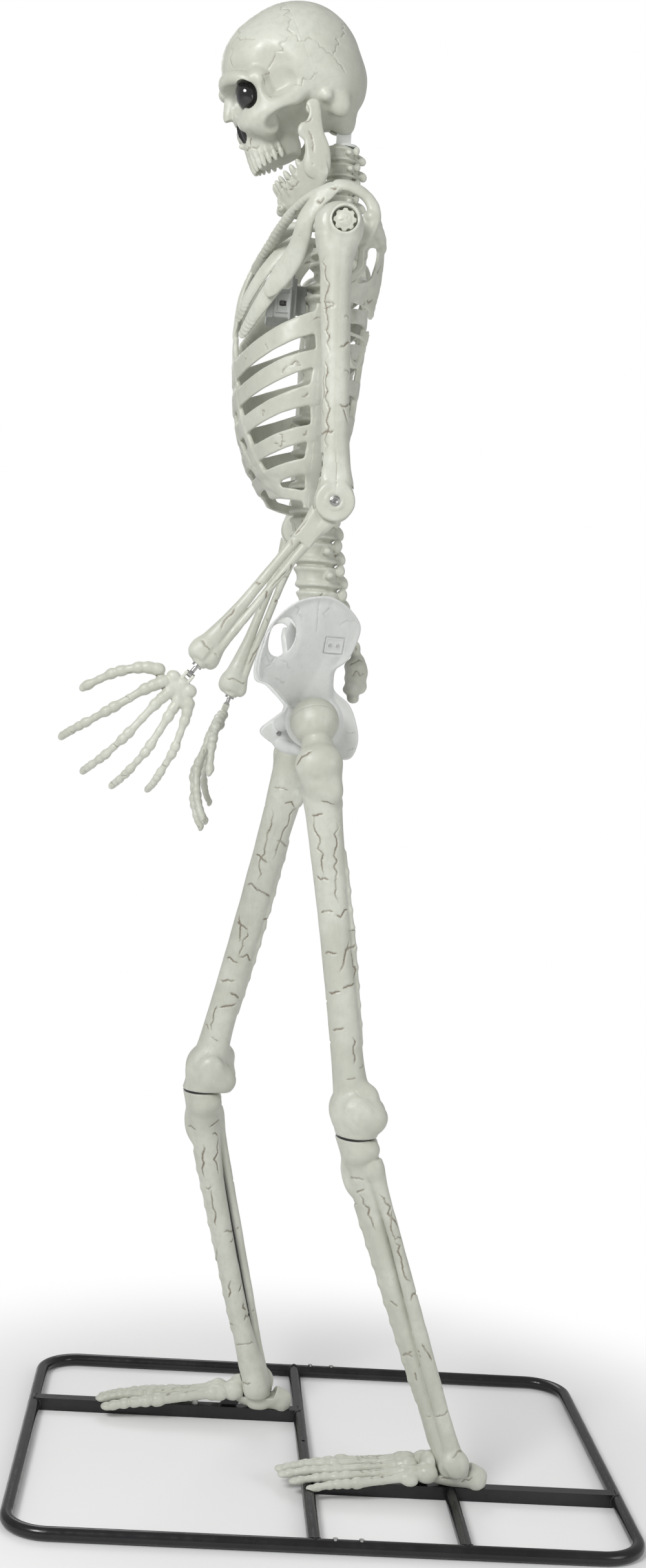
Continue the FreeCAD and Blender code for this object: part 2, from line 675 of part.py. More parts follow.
dz = HIP_Z - HIP_TABLE_Z
dy = HIP_Y - HIP_TABLE_Y


def moved(pairs):
    return [(y + dy, z + dz) for y, z in pairs]


def hip_bone():
    wing = slab(wing_points(moved(ILIUM)), WING_T)
    socket = rod(V(SOCKET_IN_X, HIP_Y, HIP_Z), V(SOCKET_OUT_X + 10, HIP_Y, HIP_Z), SOCKET_R)
    body = loft([
        ring(V(116, HIP_Y, HIP_Z + 20), V(1, 0, 0), V(0, 1, 0), 14, 58),
        ring(V(120, HIP_Y + 8, HIP_Z + 60), V(1, 0, 0), V(0, 1, 0), 13, 48),
        ring(V(wing_x(HIP_Y + 5, HIP_Z + 110), HIP_Y + 5, HIP_Z + 110), V(1, 0, 0), V(0, 1, 0), 12, 52),
    ])
    ischium_points = moved([(-150, 1860), (-104, 1925), (-80, 1888), (-56, 1905), (-27, 1829), (-40, 1790),
                            (-62, 1786), (-90, 1800), (-120, 1815)])
    ischium = slab([V(112, y, z) for y, z in ischium_points], 16)
    pubis = loft([
        ring(V(104, HIP_Y - 44, HIP_Z + 8), V(0, 1, 0), V(0, 0, 1), 20, 26),
        ring(V(60, HIP_Y - 70, HIP_Z - 14), V(0, 1, 0), V(0, 0, 1), 18, 20),
        ring(V(20, HIP_Y - 82, HIP_Z - 34), V(0, 1, 0), V(0, 0, 1), 20, 34),
        ring(V(0, HIP_Y - 82, HIP_Z - 40), V(0, 1, 0), V(0, 0, 1), 22, 40),
    ])
    ramus = loft([
        ring(V(10, HIP_Y - 78, HIP_Z - 62), V(0, 1, 0), V(0, 0, 1), 13, 14),
        ring(V(50, HIP_Y - 40, HIP_Z - 74), V(0, 1, 0), V(0, 0, 1), 12, 12),
        ring(V(112, HIP_Y + 52, HIP_Z - 74), V(0, 1, 0), V(0, 0, 1), 14, 12),
    ])
    arm_y0 = -112 + dy
    arm_y1 = -74 + dy
    arm = block(SACRUM_SEAT_X, wing_x(-93 + dy, SACRUM_TOP_Z - 67) + 2, arm_y0, arm_y1,
                SACRUM_TOP_Z - 90, SACRUM_TOP_Z - 45)
    solid = fuse([wing, socket, body, ischium, pubis, ramus, arm])
    solid = solid.common(block(0, 600, -1000, 1000, 0, 3000))
    cup = ball(V(HIP_X, HIP_Y, HIP_Z), HEAD_R + SIDE)
    solid = solid.cut(cup).cut(rod(V(0, HIP_Y, HIP_Z), V(400, HIP_Y, HIP_Z), TUBE_R + RUN))
    return solid.cut(sacrum_solid).cut(rod(post_low, post_high, SPINE_POST_R + SLIP))


def hip_plate_parts():
    """Cover plate let into the wing, with its two screws."""
    y0 = -127 + dy
    z0 = 2039 + dz
    y1 = y0 + PLATE_SIZE[0]
    z1 = z0 + PLATE_SIZE[1]
    corners = [(y0, z0), (y1, z0), (y1, z1), (y0, z1)]
    lift = V(WING_T / 2 - HIP_PLATE_T, 0, 0)
    plate = slab([p + lift for p in wing_points(corners)], 2 * HIP_PLATE_T)
    screws = []
    out = unit(V(1, 0.42, -0.30))
    for share in (0.27, 0.70):
        y = y0 + PLATE_SIZE[0] * share
        z = z0 + PLATE_SIZE[1] * 0.5
        face = V(wing_x(y, z) + WING_T / 2, y, z)
        screws.append(Part.makeCylinder(4.0, 1.6, face - out * 1.6, out))
        screws.append(Part.makeCylinder(2.0, 12, face - out * 12, out))
    return plate, screws


def pubis_screws():
    screws = []
    for y, z, radius in ((-219, 1833, 5.5), (-205, 1815, 4.0)):
        start = V(18, y + dy, z + dz)
        screws.append(Part.makeCylinder(radius, 4, start + V(12, 0, 0), V(1, 0, 0)))
        screws.append(Part.makeCylinder(2.5, 48, start - V(36, 0, 0), V(1, 0, 0)))
    return screws


left_hip = hip_bone()
plate, plate_screws = hip_plate_parts()
wing_screws = fuse(plate_screws)
front_screws = fuse(pubis_screws())
left_hip = left_hip.cut(plate).cut(wing_screws)
right_hip = mirror(left_hip)
left_hip = left_hip.cut(front_screws)
right_hip = right_hip.cut(front_screws)
left_plate = plate.cut(wing_screws)
save_list.append(("left_hip_bone", left_hip))
save_list.append(("right_hip_bone", right_hip))
save_list.append(("hip_plates", [left_plate, mirror(left_plate)]))
save_list.append(("pelvis_screws", wing_screws.Solids + mirror(wing_screws).Solids + front_screws.Solids))

# ---------------------------------------------------------------- rib cage
lift_cage = LUMBAR_TOP_Z - CAGE_BASE_Z


def cage_solid(shrink):
    rings = []
    for z, half, front, back in CAGE:
        centre = V(0, (front + back) / 2, z + lift_cage)
        rings.append(ring(centre, V(1, 0, 0), V(0, 1, 0), half - shrink, (back - front) / 2 - shrink))
    return loft(rings)


def strut_z(index):
    return RIB_LOW_Z + index * RIB_PITCH


def slanted(y, z, height, slope, reach=700.0):
    """Thick sheet through (y, z), low at the front, used to slice the shell into ribs."""
    box = Part.makeBox(reach, reach, height, V(-reach / 2, -reach / 2, -height / 2))
    box.rotate(V(0, 0, 0), V(1, 0, 0), slope)
    box.translate(V(0, y, z))
    return box


cage_outer = cage_solid(0)
cage_shell = cage_outer.cut(cage_solid(CAGE_WALL))
cage_low = CAGE[0][0] + lift_cage
cage_high = CAGE[-1][0] + lift_cage

ribs = [slanted(CAGE_SPLIT_Y, strut_z(i), RIB_HEIGHT, RIB_SLOPE) for i in range(RIB_COUNT)]
side_struts = []
for side in (1, -1):
    side_struts.append(block(side * 150, side * 320, CAGE_SPLIT_Y - STRUT_DEPTH, CAGE_SPLIT_Y + STRUT_DEPTH,
                             cage_low - 10, strut_z(RIB_COUNT - 1) + 20))
sternum_low = strut_z(0) + 60
sternum = block(-STERNUM_HALF, STERNUM_HALF, -600, CAGE_SPLIT_Y, sternum_low, cage_high - 20)
arch = []
for side in (1, -1):
    arch_box = Part.makeBox(330, 400, RIB_HEIGHT * 0.8, V(0, 0, -RIB_HEIGHT * 0.4))
    arch_box.rotate(V(0, 0, 0), V(0, 1, 0), 32)
    arch_box.translate(V(0, -600, sternum_low + 40))
    if side < 0:
        arch_box = mirror(arch_box)
    arch.append(arch_box)
top_ring = block(-300, 300, -600, 100, cage_high - 32, cage_high + 10)
back_strip = block(-24, 24, CAGE_SPLIT_Y, 100, cage_low, cage_high)

front_half = block(-400, 400, -600, CAGE_SPLIT_Y, cage_low - 50, cage_high + 50)
back_half = block(-400, 400, CAGE_SPLIT_Y, 200, cage_low - 50, cage_high + 50)
axle_room = rod(V(-400, SHOULDER_Y, SHOULDER_Z), V(400, SHOULDER_Y, SHOULDER_Z), AXLE_R + SLIP)

front_keep = fuse(ribs + side_struts + [sternum, top_ring] + arch).common(front_half)
rib_cage_front = cage_shell.common(front_keep)
back_keep = fuse(ribs + side_struts + [back_strip, top_ring]).common(back_half)
keel = block(-11, 11, -150, -90, strut_z(0) + 30, strut_z(RIB_COUNT - 1) - 10)
keel = keel.cut(thoracic_solid)
keel = keel.common(block(-11, 11, -134, 0, 0, 4000)).common(cage_solid(CAGE_WALL - 3))
rib_cage_back = cage_shell.common(back_keep).fuse(keel.Solids[0] if len(keel.Solids) == 1 else keel)

cage_screws = []
for side in (1, -1):
    for index in (0, 2, 4):
        z = strut_z(index) + RIB_PITCH / 2
        half = between(z - lift_cage, [(row[0], row[1]) for row in CAGE])
        x = side * (half - CAGE_WALL / 2 - 1)
        shank = Part.makeCylinder(CAGE_SCREW_R, 18 + STRUT_DEPTH, V(x, CAGE_SPLIT_Y - 18, z), V(0, 1, 0))
        head = Part.makeCylinder(CAGE_SCREW_R * 1.8, 3, V(x, CAGE_SPLIT_Y + STRUT_DEPTH - 3, z), V(0, 1, 0))
        cage_screws.append(shank.fuse(head))
cage_screw_tool = fuse(cage_screws)
rib_cage_front = rib_cage_front.cut(cage_screw_tool).cut(axle_room)
rib_cage_back = rib_cage_back.cut(cage_screw_tool).cut(axle_room)
rib_cage_back = rib_cage_back.cut(thoracic_solid).cut(lumbar_solid)
rib_cage_back = rib_cage_back.cut(rod(post_low, post_high, SPINE_POST_R + SLIP))
rib_cage_back = max(rib_cage_back.Solids, key=lambda piece: piece.Volume)
save_list.append(("rib_cage_front", rib_cage_front))
save_list.append(("rib_cage_back", rib_cage_back))
save_list.append(("rib_cage_screws", cage_screws))

thoracic = thoracic_solid.cut(spine_bore).cut(axle_room)
save_list.append(("thoracic_spine", thoracic))

# ---------------------------------------------------------------- shoulder blades and collar bones
save_list.append(("shoulder_bar", shoulder_bar))


def blade_y(x):
    """The blade leans forward going outward."""
    return BLADE_EDGE_Y - (x - 185) * BLADE_LEAN


def blade_plate(pairs):
    outline = [V(x, blade_y(x) - BLADE_T / 2, z) for x, z in pairs]
    return Part.Face(Part.makePolygon(outline + [outline[0]])).extrude(V(0, BLADE_T, 0))


def chain(points, r_wide, r_thin, up=V(0, 0, 1)):
    """Flattened strap lofted along points."""
    rings = []
    for index, point in enumerate(points):
        before = points[max(index - 1, 0)]
        after = points[min(index + 1, len(points) - 1)]
        along = unit(after - before)
        thin = unit(up - along * up.dot(along))
        rings.append(ring(point, unit(along.cross(thin)), thin, r_wide, r_thin))
    return loft(rings)


def shoulder_blade():
    z = SHOULDER_Z
    blade_out = GLENOID_OUT - 4
    outline = [(205, z + 30), (262, z + 62), (blade_out, z + 28), (blade_out, z - 30), (330, z - 120),
               (285, z - 240), (252, z - 294), (222, z - 262), (196, z - 140), (188, z - 40)]
    windows = [
        [(230, z - 12), (300, z - 30), (296, z - 92), (262, z - 70)],
        [(214, z - 158), (292, z - 158), (286, z - 200), (218, z - 206)],
        [(222, z - 228), (276, z - 228), (262, z - 262), (240, z - 270)],
    ]
    plate = blade_plate(outline)
    for window in windows:
        plate = plate.cut(blade_plate(window))
    boss = rod(V(GLENOID_IN, SHOULDER_Y, z), V(GLENOID_OUT, SHOULDER_Y, z), 34)
    neck_web = block(GLENOID_IN, GLENOID_OUT, SHOULDER_Y, blade_y(GLENOID_OUT) + 4, z - 22, z + 22)
    strap = chain([
        V(GLENOID_IN + 4, blade_y(GLENOID_IN + 4) + 6, z - 20),
        V(COLLAR_X + 4, -92, z + 40),
        V(COLLAR_X, -112, z + 78),
        V(COLLAR_X, -148, z + 99),
        V(COLLAR_X, CAGE_SPLIT_Y - 6, z + 104),
    ], 13, 9, V(0, 1, 1))
    rib_y = -118.0
    rib_z = strut_z(4) + (rib_y - CAGE_SPLIT_Y) * math.tan(math.radians(RIB_SLOPE))
    stand_off = rod(V(222, blade_y(222), rib_z), V(222, -190, rib_z), 12).cut(cage_outer)
    stand_off = stand_off.common(block(0, 400, -160, 0, 0, 4000))
    solid = fuse([plate, boss, neck_web, strap, stand_off])
    solid = solid.common(block(0, 600, SHOULDER_Y - 60, 0, z - 400, z + 300))
    solid = solid.cut(block(0, 600, -400, CAGE_SPLIT_Y, z + 60, z + 300))
    return solid.cut(rod(V(0, SHOULDER_Y, z), V(600, SHOULDER_Y, z), AXLE_R + RUN))


def collar_bone():
    z = SHOULDER_Z
    strap = chain([
        V(26, -362, z - 6),
        V(110, -352, z + 32),
        V(210, -320, z + 62),
        V(290, -266, z + 82),
        V(COLLAR_X, -222, z + 96),
        V(COLLAR_X, CAGE_SPLIT_Y + 10, z + 104),
    ], 15, 10)
    solid = strap.common(block(4, 600, -600, CAGE_SPLIT_Y, z - 400, z + 300))
    return solid.cut(cage_outer)


left_collar = collar_bone()
left_blade = shoulder_blade()
save_list.append(("left_collar_bone", left_collar))
save_list.append(("right_collar_bone", mirror(left_collar)))
save_list.append(("left_shoulder_blade", left_blade))
save_list.append(("right_shoulder_blade", mirror(left_blade)))

# ---------------------------------------------------------------- control box
box_case = block(-BOX_HALF_WIDTH, BOX_HALF_WIDTH, BOX_FRONT_Y, BOX_BACK_Y, BOX_LOW_Z, BOX_HIGH_Z)
box_hollow = block(-BOX_HALF_WIDTH + BOX_WALL, BOX_HALF_WIDTH - BOX_WALL, BOX_FRONT_Y + BOX_WALL,
                   BOX_BACK_Y - BOX_WALL, BOX_LOW_Z + BOX_WALL, BOX_HIGH_Z - BOX_WALL)
bracket = block(-BRACKET_HALF, BRACKET_HALF, BOX_BACK_Y, BOX_BACK_Y + 4, BOX_LOW_Z - 10, BOX_HIGH_Z + 40)
bracket = bracket.fuse(block(-16, 16, BOX_BACK_Y + 4, SPINE_POST_Y, BOX_LOW_Z + 20, BOX_HIGH_Z + 20))
bracket = bracket.cut(thoracic_solid)
bracket = max(bracket.Solids, key=lambda piece: piece.Volume)
switch_z = (BOX_LOW_Z + BOX_HIGH_Z) / 2
slot_half = SWITCH_HALF + SIDE
slot = block(BOX_HALF_WIDTH - BOX_WALL - 1, BOX_HALF_WIDTH + 1, SWITCH_Y - slot_half,
             SWITCH_Y + slot_half + SWITCH_TRAVEL, switch_z - slot_half, switch_z + slot_half)
control_box = box_case.cut(box_hollow).cut(slot)
switch = block(BOX_HALF_WIDTH - BOX_WALL - 6, BOX_HALF_WIDTH + 4, SWITCH_Y - SWITCH_HALF,
               SWITCH_Y + SWITCH_HALF, switch_z - SWITCH_HALF, switch_z + SWITCH_HALF)
save_list.append(("control_box", control_box.fuse(bracket)))
save_list.append(("power_switch", switch))

# ---------------------------------------------------------------- arms
arms = {
    "left": (1, LEFT_SHOULDER_ANGLE, LEFT_ELBOW_ANGLE),
    "right": (-1, RIGHT_SHOULDER_ANGLE, RIGHT_ELBOW_ANGLE),
}


def swing(angle):
    """Downward direction turned forward by an angle from straight down."""
    turn = math.radians(angle)
    return V(0, -math.sin(turn), -math.cos(turn))


def hand_bones(wrist, down, thumb_way, palm):
    """Carpal block and five rays, in the hand's own directions."""
    pieces = []
    carpus = [
        ring(wrist + down * HAND_START, thumb_way, palm, 16, 12),
        ring(wrist + down * (HAND_START + 18), thumb_way, palm, 34, 17),
        ring(wrist + down * (HAND_START + 48), thumb_way, palm, 44, 18),
        ring(wrist + down * (HAND_START + 72), thumb_way, palm, 38, 13),
    ]
    pieces.append(loft(carpus))
    for index, ray in enumerate(HAND):
        point = wrist + down * 12 + thumb_way * (14 - 7 * index)
        radius = 10.0 if index < 4 else 9.0
        for length, spread, curl in ray:
            a = math.radians(spread)
            c = math.radians(curl)
            way = down * (math.cos(a) * math.cos(c)) + thumb_way * (math.sin(a) * math.cos(c))
            way = way + palm * math.sin(c)
            step = point + way * length
            pieces.append(taper(point, step, radius, radius - 1.2))
            pieces.append(ball(step, radius + 1.6))
            point = step
            radius -= 0.8
    return fuse(pieces)


for name, (side, shoulder_angle, elbow_angle) in arms.items():
    shoulder = V(side * SHOULDER_X, SHOULDER_Y, SHOULDER_Z)
    upper_way = swing(shoulder_angle)
    elbow = shoulder + upper_way * UPPER_ARM
    fore_way = swing(elbow_angle)
    wrist = elbow + fore_way * FOREARM
    x_axis = V(1, 0, 0)

    # upper arm: ball end, shaft and the two cheeks of the elbow fork
    shaft = bone(shoulder, elbow, UPPER)
    hollow = bone(shoulder, elbow, UPPER[:-1], 5.0)
    cheeks = rod(elbow - x_axis * CHEEK_OUT, elbow + x_axis * CHEEK_OUT, ELBOW_R)
    arm = fuse([shaft, ball(shoulder, SHOULDER_R), cheeks])
    arm = arm.cut(hollow)
    inner_limit = side * (GLENOID_OUT + SIDE)
    if side > 0:
        arm = arm.common(block(inner_limit, 700, -2000, 2000, 0, 4000))
    else:
        arm = arm.common(block(-700, inner_limit, -2000, 2000, 0, 4000))
    # the fork's gap is open below and to the front, so that the forearm folds up
    front_way = V(0, -1, 0)
    gap = rod(elbow - x_axis * CHEEK_IN, elbow + x_axis * CHEEK_IN, ELBOW_R + 6)
    slot_foot = elbow + front_way * 33
    arm = arm.cut(gap).cut(beam(slot_foot, slot_foot - upper_way * FORK_SLOT, 90, 2 * CHEEK_IN))
    arm = arm.cut(rod(shoulder - x_axis * 80, shoulder + x_axis * 80, AXLE_R + RUN))
    recess_in = SHOULDER_X + SHOULDER_R - RECESS_DEPTH - 6
    recess_start = V(side * recess_in, SHOULDER_Y, SHOULDER_Z)
    arm = arm.cut(rod(recess_start, recess_start + x_axis * (side * 110), RECESS_R))
    bolt_in = elbow - x_axis * (side * CHEEK_OUT)
    bolt_out = elbow + x_axis * (side * CHEEK_OUT)
    arm = arm.cut(rod(bolt_in, bolt_out, ELBOW_BOLT_R))
    if len(arm.Solids) > 1:
        arm = max(arm.Solids, key=lambda piece: piece.Volume)
    save_list.append((name + "_upper_arm", arm))

    # bolt with a domed head outside and a nut inside
    outward = x_axis * side
    bolt = fuse([
        rod(bolt_in - outward * 4, bolt_out, ELBOW_BOLT_R),
        rod(bolt_out, bolt_out + outward * 5, 11),
        rod(bolt_in - outward * 6, bolt_in, 10),
    ])
    save_list.append((name + "_elbow_bolt", bolt))

    # star knob on the end of the shoulder bar
    knob_low = V(side * (recess_in + SIDE), SHOULDER_Y, SHOULDER_Z)
    knob = rod(knob_low, knob_low + outward * 14, KNOB_R)
    for lobe in range(KNOB_LOBES):
        turn = 2 * math.pi * lobe / KNOB_LOBES
        spot = knob_low + V(0, math.cos(turn), math.sin(turn)) * (KNOB_R + 2.5)
        knob = knob.cut(rod(spot, spot + outward * 14, 6))
    knob = knob.cut(rod(knob_low - outward, V(side * axle_out, SHOULDER_Y, SHOULDER_Z), AXLE_R + RUN))
    save_list.append((name + "_shoulder_knob", knob))

    # forearm: two bones in one moulding, a tongue at the elbow, a socket at the wrist
    aft = x_axis.cross(fore_way)
    front = aft * -1
    if front.y > 0:
        front = aft
    socket_end = wrist - fore_way * STUD_CLEAR

    def arm_loft(stations, shift):
        rings = []
        for share, r_side, r_aft in stations:
            centre = elbow + fore_way * (FOREARM * share) + front * (shift * (1 - share * 0.35))
            rings.append(ring(centre, x_axis, front, r_side, r_aft))
        return loft(rings)

    radius_bone = arm_loft(RADIUS_BONE, 17)
    ulna_bone = arm_loft(ULNA, -14)
    wrist_block = loft([
        ring(socket_end - fore_way * 110, x_axis, front, 15, 26),
        ring(socket_end - fore_way * 60, x_axis, front, 24, 38),
        ring(socket_end - fore_way * 25, x_axis, front, 26, 40),
        ring(socket_end, x_axis, front, 20, 31),
    ])
    tongue = rod(elbow - x_axis * TONGUE_HALF, elbow + x_axis * TONGUE_HALF, TONGUE_R)
    bridge = beam(elbow + fore_way * 20, elbow + fore_way * 120, 46, 2 * TONGUE_HALF - 1)
    forearm = fuse([radius_bone, ulna_bone, wrist_block])
    sweep = rod(elbow - x_axis * 80, elbow + x_axis * 80, ELBOW_R + 3)
    forearm = forearm.cut(sweep)
    forearm = fuse([forearm, tongue, bridge])
    forearm = forearm.cut(rod(elbow - x_axis * 40, elbow + x_axis * 40, ELBOW_BOLT_R + RUN))
    spigot_top = socket_end - fore_way * STUD_DEPTH
    forearm = forearm.cut(rod(spigot_top - fore_way * 1, socket_end + fore_way * 50, STUD_R + RUN))
    save_list.append((name + "_forearm", forearm))

    # wrist stud: turns in the forearm, and its eye carries the hand's pin
    if side > 0:
        palm_way = V(-1, 0, 0)
        thumb_way = unit(front)
    else:
        palm_way = unit(front) * -1
        thumb_way = V(1, 0, 0)
    eye = rod(wrist - thumb_way * EYE_HALF, wrist + thumb_way * EYE_HALF, EYE_R)
    stud_pin = rod(wrist - thumb_way * CHEEK_END, wrist + thumb_way * CHEEK_END, HAND_PIN_R)
    collar = rod(socket_end + fore_way * SIDE, socket_end + fore_way * 6, 12)
    slim = rod(socket_end + fore_way * 6, wrist - fore_way * 3, 5)
    stem = rod(spigot_top, socket_end + fore_way * 2, STUD_R)
    save_list.append((name + "_wrist_stud", fuse([stem, collar, slim, eye, stud_pin])))

    hand = hand_bones(wrist, fore_way, thumb_way, palm_way)
    eye_room = EYE_HALF + SIDE
    hand = hand.cut(rod(wrist - thumb_way * 40, wrist + thumb_way * 40, EYE_R + 2))
    cheek_parts = [hand]
    for way in (1, -1):
        inner = wrist + thumb_way * (way * eye_room)
        outer = wrist + thumb_way * (way * CHEEK_END)
        middle = (inner + outer) * 0.5
        cheek_parts.append(rod(inner, outer, EYE_R))
        corner = middle - palm_way * EYE_R - thumb_way * ((CHEEK_END - eye_room) / 2)
        wide = thumb_way * (CHEEK_END - eye_room)
        deep = palm_way * (2 * EYE_R)
        points = [corner, corner + wide, corner + wide + deep, corner + deep, corner]
        cheek_parts.append(Part.Face(Part.makePolygon(points)).extrude(fore_way * (HAND_START + 12)))
    hand = fuse(cheek_parts)
    hand = hand.cut(rod(wrist - thumb_way * 30, wrist + thumb_way * 30, HAND_PIN_R + RUN))
    save_list.append((name + "_hand", hand))

# ---------------------------------------------------------------- head
tilt = math.radians(SKULL_TILT)
skull_centre = V(0, SKULL_Y, SKULL_Z)
face_way = V(0, -math.cos(tilt), -math.sin(tilt))
crown_way = V(0, -math.sin(tilt), math.cos(tilt))
x_axis = V(1, 0, 0)


def skull_point(x, forward, up):
    return skull_centre + x_axis * x + face_way * forward + crown_way * up


def oval_ball(shrink):
    sphere = Part.makeSphere(1.0)
    matrix = FreeCAD.Matrix()
    matrix.scale(BRAIN[0] - shrink, BRAIN[1] - shrink, BRAIN[2] - shrink)
    shape = sphere.transformGeometry(matrix)
    shape.rotate(V(0, 0, 0), x_axis, SKULL_TILT)
    shape.translate(skull_centre)
    return shape


def face_block(shrink):
    rings = []
    last = len(FACE) - 1
    for index, (up, forward, r_side, r_fore) in enumerate(FACE):
        lift = shrink if index == last else 0.0
        centre = skull_point(0, forward, up + lift)
        rings.append(ring(centre, x_axis, face_way, r_side - shrink, r_fore - shrink))
    return loft(rings)


skull_outer = oval_ball(0).fuse(face_block(0))
skull_inner = oval_ball(SKULL_WALL).fuse(face_block(SKULL_WALL))
skull = skull_outer.cut(skull_inner)
panels = []
for side in (1, -1):
    back = skull_point(side * EYE_X, EYE_DEEP, EYE_UP)
    front = skull_point(side * EYE_X, FACE_REACH, EYE_UP)
    socket = rod(back, front, EYE_HOLE_R + EYE_SOCKET_WALL).common(skull_outer)
    skull = skull.fuse(socket)
for side in (1, -1):
    back = skull_point(side * EYE_X, EYE_DEEP, EYE_UP)
    front = skull_point(side * EYE_X, FACE_REACH, EYE_UP)
    skull = skull.cut(rod(back, front, EYE_HOLE_R))
    panel = rod(back, back - face_way * 3, EYE_HOLE_R + EYE_SOCKET_WALL - 1)
    panels.append(panel)
nose_back = skull_point(0, NOSE_DEEP, NOSE_UP)
nose_front = skull_point(0, FACE_REACH, NOSE_UP)
nose_tube = rod(nose_back, nose_front, NOSE_R + 3).common(skull_outer)
skull = skull.fuse(nose_tube).cut(rod(nose_back, nose_front, NOSE_R))
nose_liner = rod(nose_back, skull_point(0, NOSE_DEEP + 22, NOSE_UP), NOSE_R)
nose_liner = nose_liner.cut(rod(skull_point(0, NOSE_DEEP + 2, NOSE_UP), nose_front, NOSE_R - 2))

jaw_hinge = V(0, JAW_Y, JAW_Z)
jaw_inner_x = JAW_X - JAW_PLATE
for side in (1, -1):
    boss = rod(jaw_hinge + x_axis * (side * 62), jaw_hinge + x_axis * (side * (jaw_inner_x - SIDE)), 17)
    skull = skull.fuse(boss)
    pin_start = jaw_hinge + x_axis * (side * 84)
    skull = skull.cut(rod(pin_start, jaw_hinge + x_axis * (side * jaw_inner_x), JAW_PIN_R + RUN))

nod = V(0, NOD_Y, NOD_Z)
ears = []
for side in (1, -1):
    ears.append(block(side * (LUG_HALF + SIDE), side * (LUG_HALF + SIDE + EAR_WALL), NOD_Y - 24, NOD_Y + 24,
                      NOD_Z - 60, NOD_Z + 20).common(skull_outer))
skull = skull.fuse(fuse(ears))
skull = skull.cut(block(-LUG_HALF - SIDE, LUG_HALF + SIDE, NOD_Y - 30, NOD_Y + 34, NOD_Z - 70, NOD_Z + 22))
pin_reach = LUG_HALF + SIDE + EAR_WALL
nod_pin = rod(nod - x_axis * pin_reach, nod + x_axis * pin_reach, NOD_PIN_R)
skull = skull.cut(nod_pin)

far = 600.0
back_keep = Part.makeBox(far, far, far, V(-far / 2, 0, -far / 2))
back_keep.rotate(V(0, 0, 0), x_axis, SKULL_TILT)
back_keep.translate(skull_point(0, -SKULL_SPLIT, 0))
skull_back = skull.common(back_keep)
skull_front = skull.cut(back_keep)
save_list.append(("skull_front", skull_front))
save_list.append(("skull_back", skull_back))
save_list.append(("eye_panels", panels))
save_list.append(("nose_liner", nose_liner))
save_list.append(("nod_pin", nod_pin))

# neck swivel: a spigot that turns in the post, a disc and the lug of the nod hinge
turn_axis = V(0, SPINE_POST_Y, 0)
spigot = Part.makeCylinder(spine_post_in - RUN, 64, turn_axis + V(0, 0, NECK_TOP_Z - 60))
disc = Part.makeCylinder(30, 6, turn_axis + V(0, 0, NECK_TOP_Z + SIDE))
lug_low = NECK_TOP_Z + 3
lug = block(-LUG_HALF, LUG_HALF, NOD_Y - 13, SPINE_POST_Y + 13, lug_low, NOD_Z - 18)
lug_neck = block(-LUG_HALF, LUG_HALF, NOD_Y - 13, NOD_Y + 13, NOD_Z - 20, NOD_Z)
lug_eye = rod(nod - x_axis * LUG_HALF, nod + x_axis * LUG_HALF, 13)
swivel = fuse([spigot, disc, lug, lug_neck, lug_eye])
swivel = swivel.cut(rod(nod - x_axis * 30, nod + x_axis * 30, NOD_PIN_R + RUN))
save_list.append(("neck_swivel", swivel))

# jaw: two upright plates, two bodies that close in, and the chin
jaw_shift_y = JAW_Y - JAW_TABLE_Y
jaw_shift_z = JAW_Z - JAW_TABLE_Z


def jaw_half():
    ramus_x = JAW_X - JAW_PLATE / 2
    ramus = slab([V(ramus_x, y + jaw_shift_y, z + jaw_shift_z) for y, z in RAMUS], JAW_PLATE)
    points = []
    for y, z in JAW_BODY:
        reach = 0.73 * (-225 - y) + 0.68 * (3215 - z)
        points.append(V(ramus_x - JAW_TAPER * max(reach, 0.0), y + jaw_shift_y, z + jaw_shift_z))
    a, b, c, d, e = points
    normal = unit((c - b).cross(a - b))
    flat = [a, b, c]
    for point in (d, e):
        flat.append(V(point.x - normal.dot(point - b) / normal.x, point.y, point.z))
    body = slab(flat, JAW_PLATE)
    pin = rod(V(JAW_X - JAW_PLATE, JAW_Y, JAW_Z), V(90, JAW_Y, JAW_Z), JAW_PIN_R)
    return fuse([ramus, body, pin])


left_jaw = jaw_half()
chin_low = V(0, -300 + jaw_shift_y, 3104 + jaw_shift_z)
chin_high = V(0, -326 + jaw_shift_y, 3160 + jaw_shift_z)
chin = loft([
    ring(V(0, chin_low.y + 6, chin_low.z), x_axis, V(0, 1, 0), 34, 13),
    ring(V(0, chin_high.y + 10, chin_high.z), x_axis, V(0, 1, 0), 42, 11),
])
save_list.append(("jaw", fuse([left_jaw, mirror(left_jaw), chin])))

os.makedirs("parts", exist_ok=True)
for name, shape in save_list:
    save(name, shape)
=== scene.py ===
"""Looks of the giant walking skeleton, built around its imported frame.

Tables of shape are in millimetres; every mesh is made in metres, in the frame's own axes:
+Z up, the figure faces -Y and its left side is +X.
"""
import json
from math import ceil, cos, floor, pi, radians, sin, sqrt

import bpy
import numpy as np
from mathutils import Matrix, Vector, kdtree


